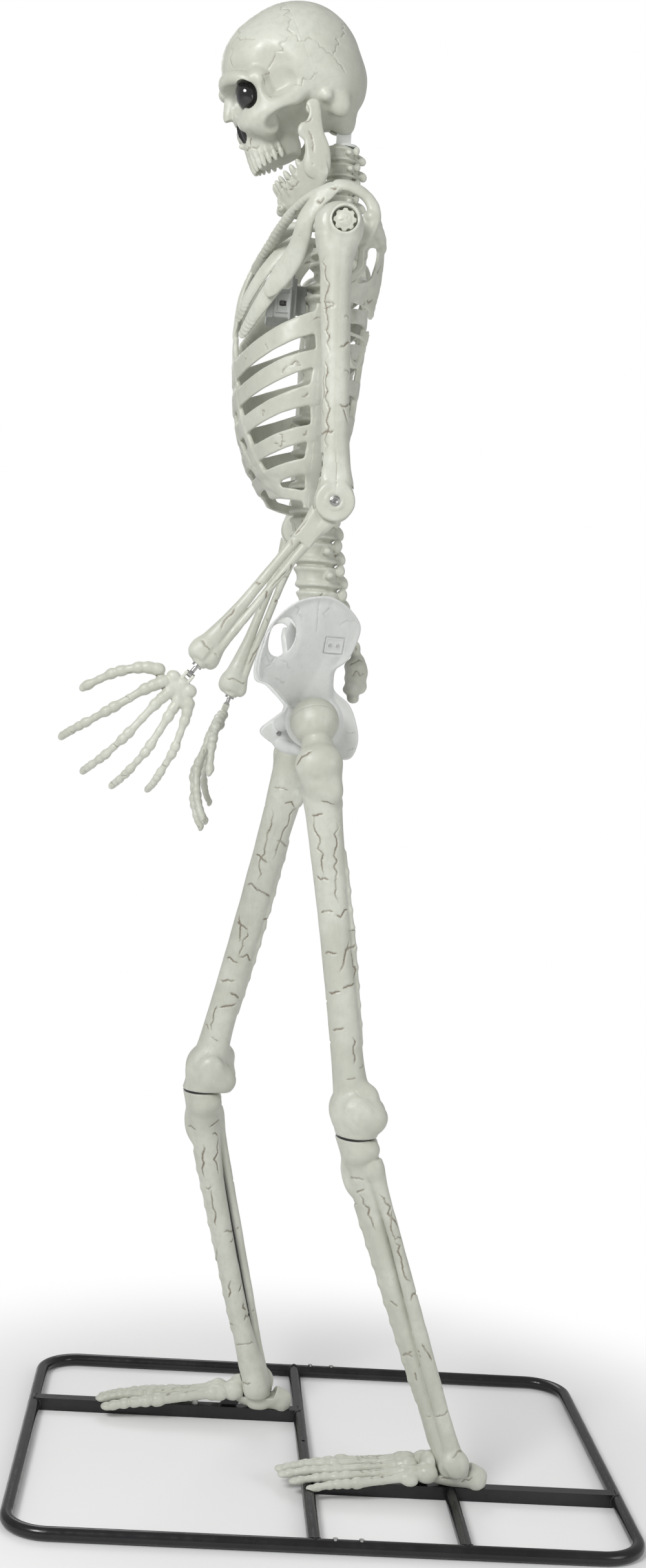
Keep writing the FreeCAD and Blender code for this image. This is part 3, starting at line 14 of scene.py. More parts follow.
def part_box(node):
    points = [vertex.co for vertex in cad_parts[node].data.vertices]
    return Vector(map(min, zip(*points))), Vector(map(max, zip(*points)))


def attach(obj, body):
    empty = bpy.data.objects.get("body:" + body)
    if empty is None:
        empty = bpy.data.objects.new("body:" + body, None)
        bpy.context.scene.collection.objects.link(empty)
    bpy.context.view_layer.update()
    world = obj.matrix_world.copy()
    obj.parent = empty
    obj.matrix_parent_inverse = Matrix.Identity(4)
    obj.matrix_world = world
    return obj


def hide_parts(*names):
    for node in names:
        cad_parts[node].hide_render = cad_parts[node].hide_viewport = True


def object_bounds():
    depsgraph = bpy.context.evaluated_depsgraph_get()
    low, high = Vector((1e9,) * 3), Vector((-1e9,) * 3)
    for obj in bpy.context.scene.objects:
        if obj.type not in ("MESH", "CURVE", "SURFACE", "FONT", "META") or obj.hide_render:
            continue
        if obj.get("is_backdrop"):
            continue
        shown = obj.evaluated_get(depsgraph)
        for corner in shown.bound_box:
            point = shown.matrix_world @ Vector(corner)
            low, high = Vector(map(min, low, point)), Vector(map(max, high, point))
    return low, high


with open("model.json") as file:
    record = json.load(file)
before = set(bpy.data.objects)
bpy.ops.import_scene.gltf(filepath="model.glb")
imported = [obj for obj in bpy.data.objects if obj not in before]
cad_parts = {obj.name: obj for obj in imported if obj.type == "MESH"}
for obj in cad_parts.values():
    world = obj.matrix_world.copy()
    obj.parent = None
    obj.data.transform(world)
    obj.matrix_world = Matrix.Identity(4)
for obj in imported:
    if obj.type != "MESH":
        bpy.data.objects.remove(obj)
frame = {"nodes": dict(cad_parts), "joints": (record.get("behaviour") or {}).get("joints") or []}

bl_info = {
    "name": "Walking Skeleton Looks",
    "version": (1, 0, 0),
    "blender": (4, 5, 0),
    "location": "View3D > Sidebar > Skeleton",
    "description": "Moulded bones, painted steel and a plain studio for the walking skeleton",
    "category": "Object",
}

MM = 0.001
FAR = 1000.0
SIDES = {"left": 1.0, "right": -1.0}
FIXED = "figure_and_stand"      # body of the stand, legs and trunk


# ---- sizes and colours
class BoneSettings(bpy.types.PropertyGroup):
    """Finish of the moulded bones."""

    bone: bpy.props.FloatVectorProperty(
        name="Bone", description="Base colour of the moulded bone", subtype="COLOR",
        default=(0.540, 0.552, 0.478), min=0.0, max=1.0)
    # The pale colour also makes the painted highlight on the ridges.
    pale: bpy.props.FloatVectorProperty(
        name="Pale patches", description="Colour of the rubbed, paler patches", subtype="COLOR",
        default=(0.620, 0.635, 0.560), min=0.0, max=1.0)
    hip: bpy.props.FloatVectorProperty(
        name="Hip bone", description="Cooler, whiter plastic of the hip bones", subtype="COLOR",
        default=(0.680, 0.695, 0.672), min=0.0, max=1.0)
    # Brown of the stained cracks, also used as painted shade in the hollows.
    crack_stain_and_shade: bpy.props.FloatVectorProperty(
        name="Stain", description="Brown wash left in cracks and hollows", subtype="COLOR",
        default=(0.200, 0.155, 0.110), min=0.0, max=1.0)
    gloss: bpy.props.FloatProperty(
        name="Roughness", description="Roughness of the moulded bone", default=0.38, min=0.0, max=1.0)
    crack_width: bpy.props.FloatProperty(
        name="Crack width", description="Half width of a moulded crack", default=0.0017,
        min=0.0005, max=0.01, subtype="DISTANCE", unit="LENGTH")
    crack_depth: bpy.props.FloatProperty(
        name="Crack depth", description="Depth of a moulded crack", default=0.0028,
        min=0.0, max=0.01, subtype="DISTANCE", unit="LENGTH")
    cell: bpy.props.FloatProperty(
        name="Detail", description="Size of the facets of the long bones", default=0.0022,
        min=0.001, max=0.01, subtype="DISTANCE", unit="LENGTH")


class SteelSettings(bpy.types.PropertyGroup):
    """Finish of the tube frame, the posts and the fastenings."""

    paint: bpy.props.FloatVectorProperty(
        name="Paint", description="Black paint of the tubes", subtype="COLOR",
        default=(0.006, 0.006, 0.007), min=0.0, max=1.0)
    zinc: bpy.props.FloatVectorProperty(
        name="Zinc", description="Plated screws and studs", subtype="COLOR",
        default=(0.42, 0.42, 0.41), min=0.0, max=1.0)
    shine: bpy.props.FloatProperty(
        name="Paint roughness", description="Roughness of the black paint", default=0.20, min=0.0, max=1.0)


class StageSettings(bpy.types.PropertyGroup):
    """Studio round the figure."""

    floor: bpy.props.FloatVectorProperty(
        name="Floor", description="Colour of the floor and backdrop", subtype="COLOR",
        default=(0.95, 0.95, 0.95), min=0.0, max=1.0)
    key_power: bpy.props.FloatProperty(
        name="Key light", description="Power of the large key lamp", default=235.0, min=0.0, unit="POWER")
    fill_power: bpy.props.FloatProperty(
        name="Fill light", description="Power of the fill lamp", default=55.0, min=0.0, unit="POWER")
    sky: bpy.props.FloatProperty(
        name="Sky", description="Strength of the even light from all round", default=0.40, min=0.0)


# ---- places read from the frame
def corners(node):
    """Lowest and highest corner of a node, in millimetres."""
    low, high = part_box(node)
    return np.array(low) / MM, np.array(high) / MM


JOINTS = {joint["name"]: joint for joint in frame["joints"]}


def pivot(joint):
    """Where a joint's axis stands, in millimetres."""
    return np.array(JOINTS[joint]["pos_m"]) / MM


def unit(vector):
    vector = np.array(vector, float)
    return vector / np.linalg.norm(vector)


def place_along(start, end, out):
    """Local frame of a long bone: x to the side that out points to, y aft, z along the bone."""
    along = unit(end - start)
    side = unit(np.array(out, float) - along * np.dot(out, along))
    aft = np.array((0.0, 1.0, 0.0))
    aft = unit(aft - along * np.dot(aft, along) - side * np.dot(aft, side))
    place = np.eye(4)
    place[:3, 0], place[:3, 1], place[:3, 2], place[:3, 3] = side, aft, along, start
    return place


def place_at(origin, mirror=1.0):
    """Local frame parallel to the figure's own axes, with x pointing outward."""
    place = np.eye(4)
    place[0, 0] = mirror
    place[:3, 3] = origin
    return place


def to_local(place, point):
    """A point of the figure in a piece's own frame."""
    return np.linalg.solve(place, np.append(np.array(point, float), 1.0))[:3]


# ---- clay: shapes as distances
def soft_min(a, b, soft):
    """Smaller of two distances, blended where they are within soft of each other."""
    if soft <= 0:
        return np.minimum(a, b)
    near = np.maximum(soft - np.abs(a - b), 0.0) / soft
    return np.minimum(a, b) - near * near * (soft * 0.25)


def curve_through(points, steps=6, closed=False):
    """Smooth line through points, each a row of numbers."""
    points = np.array(points, float)
    count = len(points)
    if closed:
        padded = np.vstack([points[-1], points, points[:2]])
        spans = count
    else:
        padded = np.vstack([2 * points[0] - points[1], points, 2 * points[-1] - points[-2]])
        spans = count - 1
    line = []
    for span in range(spans):
        p0, p1, p2, p3 = padded[span:span + 4]
        for step in range(steps):
            t = step / steps
            line.append(0.5 * (2 * p1 + (p2 - p0) * t + (2 * p0 - 5 * p1 + 4 * p2 - p3) * t ** 2
                               + (3 * p1 - p0 - 3 * p2 + p3) * t ** 3))
    if not closed:
        line.append(points[-1])
    return np.array(line)


def limb(a, b, r_start, r_end=None, way=None, share=1.0):
    """Round-ended taper from a to b, pressed to a share of its thickness along way."""
    a, b = np.array(a, float), np.array(b, float)
    r_end = r_start if r_end is None else r_end
    run = b - a
    size = float(run @ run) or 1e-6

    def field(x, y, z):
        px, py, pz = x - a[0], y - a[1], z - a[2]
        t = np.clip((px * run[0] + py * run[1] + pz * run[2]) / size, 0, 1)
        reach = (px - t * run[0]) ** 2 + (py - t * run[1]) ** 2 + (pz - t * run[2]) ** 2
        if way is not None:
            over = (px * way[0] + py * way[1] + pz * way[2]) - t * float(run @ way)
            reach = np.maximum(reach - over * over, 0) + (over / share) ** 2
        return (np.sqrt(reach) - (r_start + (r_end - r_start) * t)) * (share + 1) / 2

    big = max(r_start, r_end)
    return np.minimum(a, b) - big, np.maximum(a, b) + big, field


def egg(centre, radii, turn=None):
    """Ellipsoid; turn is a 3x3 matrix whose rows are its own axes."""
    c, r = np.array(centre, float), np.array(radii, float)

    def field(x, y, z):
        p = (x - c[0], y - c[1], z - c[2])
        if turn is not None:
            p = [turn[i][0] * p[0] + turn[i][1] * p[1] + turn[i][2] * p[2] for i in range(3)]
        k0 = np.sqrt(sum((p[i] / r[i]) ** 2 for i in range(3)))
        k1 = np.sqrt(sum((p[i] / r[i] ** 2) ** 2 for i in range(3)))
        return k0 * (k0 - 1) / np.maximum(k1, 1e-6)

    reach = r if turn is None else np.full(3, r.max())
    return c - reach, c + reach, field


def tilt_x(degrees):
    """Turn about x, as the rows that egg and brick take."""
    c, s = cos(radians(degrees)), sin(radians(degrees))
    return ((1, 0, 0), (0, c, s), (0, -s, c))


def brick(centre, half, edge=2.0, turn=None):
    """Box with rounded edges."""
    c, h = np.array(centre, float), np.array(half, float)

    def field(x, y, z):
        p = (x - c[0], y - c[1], z - c[2])
        if turn is not None:
            p = [turn[i][0] * p[0] + turn[i][1] * p[1] + turn[i][2] * p[2] for i in range(3)]
        q = [np.abs(p[i]) - (h[i] - edge) for i in range(3)]
        outside = np.sqrt(sum(np.maximum(v, 0) ** 2 for v in q))
        inside = np.minimum(np.maximum(np.maximum(q[0], q[1]), q[2]), 0)
        return outside + inside - edge

    reach = h if turn is None else np.full(3, float(np.linalg.norm(h)))
    return c - reach, c + reach, field


def drum(a, b, radius, edge=1.5):
    """Flat-ended cylinder from a to b with a rounded rim."""
    a, b = np.array(a, float), np.array(b, float)
    middle, way = (a + b) / 2, unit(b - a)
    half = float(np.linalg.norm(b - a)) / 2

    def field(x, y, z):
        px, py, pz = x - middle[0], y - middle[1], z - middle[2]
        t = px * way[0] + py * way[1] + pz * way[2]
        out = np.sqrt(np.maximum(px * px + py * py + pz * pz - t * t, 0)) - (radius - edge)
        end = np.abs(t) - (half - edge)
        return np.sqrt(np.maximum(out, 0) ** 2 + np.maximum(end, 0) ** 2) + np.minimum(np.maximum(out,
            end), 0) - edge

    big = radius * np.sqrt(np.maximum(1 - way * way, 0)) + half * np.abs(way)
    return middle - big, middle + big, field


def shaft(stations, ends=None, edge=5.0):
    """Round bone along local z.  A station is (z, side radius, aft radius, side shift, aft shift)."""
    rows = [tuple(row) + (0.0,) * (5 - len(row)) for row in stations]
    table = curve_through(rows, 8)
    heights = table[:, 0]
    low, high = ends or (heights[0], heights[-1])

    def field(x, y, z):
        x, y, z = np.broadcast_arrays(x, y, z)
        level = z[0, 0, :]
        r_side, r_aft, s_side, s_aft = (np.interp(level, heights, table[:, i]) for i in range(1, 5))
        k = np.sqrt(((x - s_side) / r_side) ** 2 + ((y - s_aft) / r_aft) ** 2)
        around = (k - 1) * np.minimum(r_side, r_aft)
        cap = np.maximum(low - z, z - high)
        return -soft_min(-around, -cap, edge)

    wide = (np.abs(table[:, 3]) + table[:, 1]).max()
    deep = (np.abs(table[:, 4]) + table[:, 2]).max()
    return np.array((-wide, -deep, low)), np.array((wide, deep, high)), field


def strap(points, radii, steps=5, flat=None):
    """Chain of tapers along a smooth line; flat is (direction, share) that thins it."""
    rows = curve_through([tuple(p) + (r,) for p, r in zip(points, radii)], steps)
    way, share = (unit(flat[0]), flat[1]) if flat else (None, 1.0)
    return [limb(a[:3], b[:3], a[3], b[3], way, share) for a, b in zip(rows, rows[1:])]


def outline_distance(outline, u, v):
    """Signed distance from a closed outline in its own plane."""
    nearest = np.full(np.broadcast(u, v).shape, 1e9, np.float32)
    inside = np.zeros(nearest.shape, bool)
    ends = np.roll(outline, -1, 0)
    for (ax, ay), (bx, by) in zip(outline, ends):
        ex, ey = bx - ax, by - ay
        px, py = u - ax, v - ay
        t = np.clip((px * ex + py * ey) / (ex * ex + ey * ey + 1e-9), 0, 1)
        nearest = np.minimum(nearest, (px - t * ex) ** 2 + (py - t * ey) ** 2)
        if ay != by:
            crosses = ((ay > v) != (by > v)) & (u < ex * (v - ay) / ey + ax)
            inside ^= crosses
    return np.where(inside, -1.0, 1.0) * np.sqrt(nearest)


def plate(outline, level, thick, axis=0, edge=4.0, steps=5, rim=0.0, rim_width=10.0, slope=1.0):
    """Curved sheet with a smooth outline.  Axis 0 lies in y-z with x = level(y, z), axis 1 in x-z with y."""
    smooth = curve_through(outline, steps, closed=True) if steps > 1 else np.array(outline, float)
    low2, high2 = smooth.min(0), smooth.max(0)
    spread = [level(u, v) for u in (low2[0], high2[0]) for v in (low2[1], high2[1])]
    reach = thick + rim + 25

    def field(x, y, z):
        if axis == 0:
            u, v, w = y, z, x
        else:
            u, v, w = x, z, y
        away = outline_distance(smooth, u, v)
        half = thick / 2 + rim / 2 * np.exp(-(away / rim_width) ** 2)
        across = (np.abs(w - level(u, v)) - half) * slope
        return -soft_min(-across, -away, edge)

    low = [low2[0], min(spread) - reach, low2[1]] if axis == 1 else [min(spread) - reach, low2[0], low2[1]]
    high = [high2[0], max(spread) + reach, high2[1]] if axis == 1 else [max(spread) + reach, high2[0],
        high2[1]]
    return np.array(low), np.array(high), field


def half_space(point, way, reach=2000.0):
    """Everything on the side that way points to."""
    point, way = np.array(point, float), unit(way)

    def field(x, y, z):
        return -((x - point[0]) * way[0] + (y - point[1]) * way[1] + (z - point[2]) * way[2])

    return point - reach, point + reach, field


class Clay:
    """A block of distances that shapes are added to and cut from."""

    def __init__(self, low, high, cell):
        low, high = np.array(low, float), np.array(high, float)
        self.cell = cell
        self.low = low - 2 * cell
        self.count = np.ceil((high - low) / cell).astype(int) + 5
        self.grid = np.full(self.count, FAR, np.float32)
        self.axes = [(self.low[i] + cell * np.arange(self.count[i])).astype(np.float32) for i in range(3)]

    def window(self, form, margin):
        low, high, field = form
        cuts = []
        for i in range(3):
            first = int(floor((low[i] - margin - self.low[i]) / self.cell))
            last = int(ceil((high[i] + margin - self.low[i]) / self.cell)) + 1
            first, last = max(first, 0), min(last, self.count[i])
            if last <= first:
                return None, None
            cuts.append(slice(first, last))
        x = self.axes[0][cuts[0]][:, None, None]
        y = self.axes[1][cuts[1]][None, :, None]
        z = self.axes[2][cuts[2]][None, None, :]
        return tuple(cuts), field(x, y, z).astype(np.float32)

    def press(self, forms, soft, sign):
        for form in forms:
            cuts, distance = self.window(form, soft + 3 * self.cell)
            if cuts:
                self.grid[cuts] = sign * soft_min(sign * self.grid[cuts], distance, soft)
        return self

    def add(self, *forms, soft=0.0):
        return self.press(forms, soft, 1)

    def cut(self, *forms, soft=0.0):
        return self.press(forms, soft, -1)

    def lump(self, centre, radii, soft=0.0, turn=None):
        """Adds an egg."""
        return self.add(egg(centre, radii, turn), soft=soft)

    def dent(self, centre, radii, soft=0.0, turn=None):
        """Cuts an egg out."""
        return self.cut(egg(centre, radii, turn), soft=soft)

    def everywhere(self):
        """Coordinates of the whole block."""
        return self.axes[0][:, None, None], self.axes[1][None, :, None], self.axes[2][None, None, :]

    def keep(self, form, soft=0.0):
        """Only what is inside the form stays."""
        self.grid = -soft_min(-self.grid, -form[2](*self.everywhere()).astype(np.float32), soft)
        return self

    def skin(self):
        """Smooth closed mesh of the surface: points and four-cornered faces."""
        grid = self.grid
        for i in range(3):
            ends = [slice(None)] * 3
            for end in (0, -1):
                ends[i] = end
                grid[tuple(ends)] = np.maximum(grid[tuple(ends)], self.cell)
        inside = grid < 0
        total = np.zeros(np.array(grid.shape) - 1, np.int8)
        steps = [(i, j, k) for i in (0, 1) for j in (0, 1) for k in (0, 1)]
        nx, ny, nz = grid.shape
        for i, j, k in steps:
            total += inside[i:nx - 1 + i, j:ny - 1 + j, k:nz - 1 + k]
        mixed = (total > 0) & (total < 8)
        index = np.argwhere(mixed)
        corner = {s: grid[index[:, 0] + s[0], index[:, 1] + s[1], index[:, 2] + s[2]] for s in steps}
        summed = np.zeros((len(index), 3))
        hits = np.zeros(len(index))
        for a in steps:
            for i in range(3):
                if a[i]:
                    continue
                b = tuple(1 if j == i else a[j] for j in range(3))
                va, vb = corner[a], corner[b]
                cross = (va < 0) != (vb < 0)
                t = np.where(cross, va / np.where(cross, va - vb, 1.0), 0.0)
                spot = np.tile(np.array(a, float), (len(index), 1))
                spot[:, i] += t
                summed += np.where(cross[:, None], spot, 0.0)
                hits += cross
        points = self.low + (index + summed / hits[:, None]) * self.cell
        number = np.full(mixed.shape, -1, np.int64)
        number[mixed] = np.arange(len(index))
        faces = []
        for i in range(3):
            j, k = (i + 1) % 3, (i + 2) % 3
            first, second = [slice(None)] * 3, [slice(None)] * 3
            first[i], second[i] = slice(0, -1), slice(1, None)
            for m in (j, k):
                first[m] = second[m] = slice(1, -1)
            s0, s1 = inside[tuple(first)], inside[tuple(second)]
            edge = np.argwhere(s0 != s1)
            solid_first = s0[tuple(edge.T)]
            edge[:, j] += 1
            edge[:, k] += 1
            quad = []
            for dj, dk in ((-1, -1), (0, -1), (0, 0), (-1, 0)):
                cell = edge.copy()
                cell[:, j] += dj
                cell[:, k] += dk
                quad.append(number[tuple(cell.T)])
            quad = np.stack(quad, 1)
            quad[~solid_first] = quad[~solid_first][:, ::-1]
            faces.append(quad)
        return points, np.vstack(faces)


# ---- surface: lumps, stained cracks, painted shade in the hollows and a painted highlight on the ridges
FULL_TURN = 6.28
RIPPLES = 7


def ripple(points, size, seed):
    """Gentle unevenness from -1 to 1 whose bumps are about that size."""
    rng = np.random.default_rng(seed)
    value = np.zeros(len(points))
    for _ in range(RIPPLES):
        way = unit(rng.normal(size=3))
        length = size * rng.uniform(0.6, 1.6)
        value += np.sin(points @ way * (2 * pi / length) + rng.uniform(0, FULL_TURN))
        value += 0.6 * np.sin(points @ np.roll(way, 1) * (3.7 * pi / length) + rng.uniform(0, FULL_TURN))
    return value / 6.0


HOLLOW_GAIN = 2.2


def point_normals(points, faces):
    a, b = points[faces[:, 2]] - points[faces[:, 0]], points[faces[:, 3]] - points[faces[:, 1]]
    cross = np.cross(a, b)
    normals = np.zeros_like(points)
    for i in range(4):
        np.add.at(normals, faces[:, i], cross)
    return normals / np.maximum(np.linalg.norm(normals, axis=1), 1e-9)[:, None]


# The result drives the painted shade in the hollows and the painted highlight on the ridges.
def hollowness(points, faces, normals, cell):
    """How far each point lies in a hollow, from -1 on a ridge to 1 in a cleft."""
    pairs = np.vstack([faces[:, [i, (i + 1) % 4]] for i in range(4)])
    degree = np.bincount(pairs.ravel(), minlength=len(points)).astype(float)

    def spread(column):
        summed = np.bincount(pairs[:, 0], column[pairs[:, 1]], len(points))
        return (summed + np.bincount(pairs[:, 1], column[pairs[:, 0]], len(points))) / degree

    wide = np.stack([spread(spread(column)) for column in points.T], 1)
    bend = ((wide - points) * normals).sum(1) / cell
    return np.clip(spread(spread(bend)) * HOLLOW_GAIN, -1, 1)


def wander(start, end, swing, seed, step=11.0):
    """Jagged line from start to end, as a crack runs."""
    start, end = np.array(start, float), np.array(end, float)
    rng = np.random.default_rng(seed)
    length = np.linalg.norm(end - start)
    count = max(int(length / step), 2)
    way = (end - start) / max(length, 1e-6)
    line = []
    for index in range(count + 1):
        share = index / count
        shift = rng.normal(size=3)
        shift -= way * (shift @ way)
        sway = 0.0 if index in (0, count) else swing
        line.append(start + (end - start) * share + shift * sway + way * rng.uniform(-0.3,
            0.3) * step * (0 < index < count))
    return np.array(line)


def carve_cracks(points, normals, cracks, half_width, depth):
    """Moves points in along each crack and returns how deep in a crack each one is."""
    mark = np.zeros(len(points))
    if not cracks:
        return mark
    tree = kdtree.KDTree(len(points))
    for number, point in enumerate(points):
        tree.insert(point, number)
    tree.balance()
    for line, strength in cracks:
        snapped = []
        for a, b in zip(line, line[1:]):
            count = max(int(np.linalg.norm(b - a) / (half_width * 0.6)), 1)
            for step in range(count):
                snapped.append(tree.find(a + (b - a) * (step / count))[0])
        total = len(snapped)
        for number, spot in enumerate(snapped):
            fade = min(1.0, 6.0 * (number + 1) / total, 6.0 * (total - number) / total)
            width = half_width * (0.6 + 0.4 * fade) * min(strength + 0.25, 1.3)
            for _, hit, distance in tree.find_range(spot, width * 2.0):
                value = strength * (0.4 + 0.6 * fade) * max(0.0, 1 - (distance / (2.0 * width)) ** 2) ** 2
                if value > mark[hit]:
                    mark[hit] = value
    points -= normals * (mark * depth)[:, None]
    return mark


# The last keyword sets how strongly the hollows get painted shade.
def make_piece(name, body, clay, nodes, finish="bone", place=None, cracks=(), lump=(60.0, 0.5), seed=1,
               hollow_shade=1.0):
    """Meshes the clay and sets it on its body, standing for its CAD nodes."""
    bone = bpy.context.scene.skeleton_bone
    points, faces = clay.skin()
    normals = point_normals(points, faces)
    points += normals * (ripple(points, lump[0], seed) * lump[1])[:, None]
    hollow = hollowness(points, faces, normals, clay.cell)
    mark = carve_cracks(points, normals, list(cracks), bone.crack_width / MM, bone.crack_depth / MM)
    if place is not None:
        points = points @ place[:3, :3].T + place[:3, 3]
        if np.linalg.det(place[:3, :3]) < 0:
            faces = faces[:, ::-1]
    mesh = mesh_from(name, points, faces)
    # First attribute: the crack marks plus painted shade in the hollows; second: a painted highlight on the
    # ridges.
    for label, values in (("crack_stain_and_shade", np.clip(mark + hollow_shade * np.maximum(hollow, 0), 0, 1)),
                          ("ridge_highlight", np.clip(-hollow, 0, 1))):
        layer = mesh.attributes.new(label, "FLOAT", "POINT")
        layer.data.foreach_set("value", values.astype(np.float32))
    settle(name, mesh, body, nodes, finish)


def mesh_from(name, points, faces):
    """Smooth-shaded mesh from points in millimetres."""
    mesh = bpy.data.meshes.new(name)
    mesh.vertices.add(len(points))
    mesh.vertices.foreach_set("co", (points * MM).astype(np.float32).ravel())
    mesh.loops.add(faces.size)
    mesh.loops.foreach_set("vertex_index", faces.astype(np.int32).ravel())
    mesh.polygons.add(len(faces))
    mesh.polygons.foreach_set("loop_start", np.arange(0, faces.size, 4, dtype=np.int32))
    mesh.update(calc_edges=True)
    mesh.polygons.foreach_set("use_smooth", np.ones(len(faces), bool))
    mesh.validate()
    return mesh


def join_skins(skins):
    points, faces, start = [], [], 0
    for some, quads in skins:
        points.append(some)
        faces.append(quads + start)
        start += len(some)
    return np.vstack(points), np.vstack(faces)


def settle(name, mesh, body, nodes, finish):
    """Sets a mesh on its body with its finish, standing for its CAD nodes."""
    piece = bpy.data.objects.new(name, mesh)
    bpy.context.scene.collection.objects.link(piece)
    mesh.materials.append(material(finish))
    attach(piece, body)
    if nodes:
        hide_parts(*nodes)


# ---- materials
class Nodes:
    """Short hand for building the nodes of a material or of the world."""

    def __init__(self, owner):
        self.tree = owner.node_tree

    @classmethod
    def material(cls, name):
        """Nodes of a new material, with its main shader at hand."""
        made = bpy.data.materials.new(name)
        made.use_nodes = True
        n = cls(made)
        n.made, n.shader = made, n.tree.nodes["Principled BSDF"]
        return n

    def add(self, kind, **settings):
        node = self.tree.nodes.new(kind)
        for key, value in settings.items():
            if hasattr(node, key):
                setattr(node, key, value)
            else:
                node.inputs[key].default_value = value
        return node

    def link(self, source, target):
        self.tree.links.new(source, target)

    def feed(self, value, socket):
        """Joins another node's output to the socket, or sets the socket to a number or colour."""
        if isinstance(value, bpy.types.NodeSocket):
            self.link(value, socket)
        else:
            socket.default_value = (*value, 1.0) if isinstance(value, tuple) else value

    def noise(self, scale, detail=4.0, roughness=0.55, stretch=None):
        where = self.add("ShaderNodeTexCoord").outputs["Object"]
        if stretch is not None:
            mapping = self.add("ShaderNodeMapping", Scale=stretch)
            self.link(where, mapping.inputs["Vector"])
            where = mapping.outputs["Vector"]
        node = self.add("ShaderNodeTexNoise", Scale=scale, Detail=detail, Roughness=roughness)
        self.link(where, node.inputs["Vector"])
        return node.outputs["Fac"]

    def ramp(self, source, low, high, start=0.0, end=1.0):
        """Maps low..high of the source to start..end, smoothly."""
        node = self.add("ShaderNodeMapRange", interpolation_type="SMOOTHSTEP")
        for label, value in (("From Min", low), ("From Max", high), ("To Min", start), ("To Max", end)):
            node.inputs[label].default_value = value
        self.link(source, node.inputs["Value"])
        return node.outputs["Result"]

    def mix(self, share, first, second):
        node = self.add("ShaderNodeMix", data_type="RGBA")
        self.link(share, node.inputs["Factor"])
        self.feed(first, node.inputs["A"])
        self.feed(second, node.inputs["B"])
        return node.outputs["Result"]

    def math(self, operation, first, second):
        node = self.add("ShaderNodeMath", operation=operation)
        self.feed(first, node.inputs[0])
        self.feed(second, node.inputs[1])
        return node.outputs["Value"]

    def mix_shaders(self, share, first, second):
        node = self.add("ShaderNodeMixShader")
        for source, label in ((share, "Fac"), (first, 1), (second, 2)):
            self.link(source, node.inputs[label])
        return node.outputs["Shader"]

    def attribute(self, name):
        return self.add("ShaderNodeAttribute", attribute_name=name).outputs["Fac"]

    def bump(self, height, strength, distance):
        node = self.add("ShaderNodeBump", Strength=strength, Distance=distance)
        self.link(height, node.inputs["Height"])
        self.link(node.outputs["Normal"], self.shader.inputs["Normal"])


def darker(colour, share):
    return tuple(value * share for value in colour)


def bone_material(name, base, pale):
    """Moulded bone: soft patches, fine mottling, brown in the cracks, painted shade in the clefts and a
    painted highlight on the ridges.
    """
    settings = bpy.context.scene.skeleton_bone
    n = Nodes.material(name)
    patches = n.ramp(n.noise(7.0, 3.0), 0.40, 0.62)
    colour = n.mix(patches, tuple(base), tuple(pale))
    mottle = n.ramp(n.noise(60.0, 5.0, 0.6), 0.42, 0.70, 0.0, 0.30)
    colour = n.mix(mottle, colour, darker(base, 0.86))
    streaks = n.ramp(n.noise(26.0, 4.0, 0.6, stretch=(1.0, 1.0, 0.12)), 0.52, 0.72, 0.0, 0.22)
    colour = n.mix(streaks, colour, darker(base, 0.80))
    # Painted highlight: a paler colour on the ridges.
    ridge_highlight = n.ramp(n.attribute("ridge_highlight"), 0.15, 0.75, 0.0, 0.60)
    colour = n.mix(ridge_highlight, colour, tuple(min(value * 1.22, 0.8) for value in pale))
    # The cracks' brown plus painted shade in the hollows, broken up by noise.
    patchy = n.ramp(n.noise(34.0, 3.0), 0.30, 0.62, 0.55, 1.0)
    crack_stain_and_shade = n.math("MULTIPLY", n.ramp(n.attribute("crack_stain_and_shade"), 0.22, 0.95, 0.0, 0.90), patchy)
    colour = n.mix(crack_stain_and_shade, colour, tuple(settings.crack_stain_and_shade))
    n.link(colour, n.shader.inputs["Base Color"])
    rough = n.ramp(n.noise(45.0, 3.0), 0.3, 0.7, settings.gloss - 0.06, settings.gloss + 0.10)
    n.link(rough, n.shader.inputs["Roughness"])
    grain = n.math("ADD", n.noise(240.0, 3.0), n.math("MULTIPLY", n.noise(38.0, 4.0), 2.5))
    n.bump(grain, 0.22, 0.0012)
    return n.made


def paint_material(name, colour, roughness, flecks=0.0, metal=0.0, coat=0.0):
    """Painted, plated or moulded finish with faint unevenness and scuffs."""
    n = Nodes.material(name)
    base = tuple(colour)
    drift = n.ramp(n.noise(9.0, 3.0), 0.35, 0.65)
    tone = n.mix(drift, base, tuple(min(value * 1.5 + 0.004, 1.0) for value in base))
    if flecks:
        scuff = n.ramp(n.noise(120.0, 6.0, 0.7), 0.66, 0.76, 0.0, flecks)
        tone = n.mix(scuff, tone, tuple(min(value * 3.0 + 0.05, 1.0) for value in base))
    n.link(tone, n.shader.inputs["Base Color"])
    rough = n.ramp(n.noise(55.0, 4.0), 0.3, 0.7, max(roughness - 0.06, 0.03), roughness + 0.08)
    n.link(rough, n.shader.inputs["Roughness"])
    n.shader.inputs["Metallic"].default_value = metal
    n.shader.inputs["Coat Weight"].default_value = coat
    n.bump(n.noise(420.0, 3.0), 0.12, 0.0006)
    return n.made


MATERIALS = {}


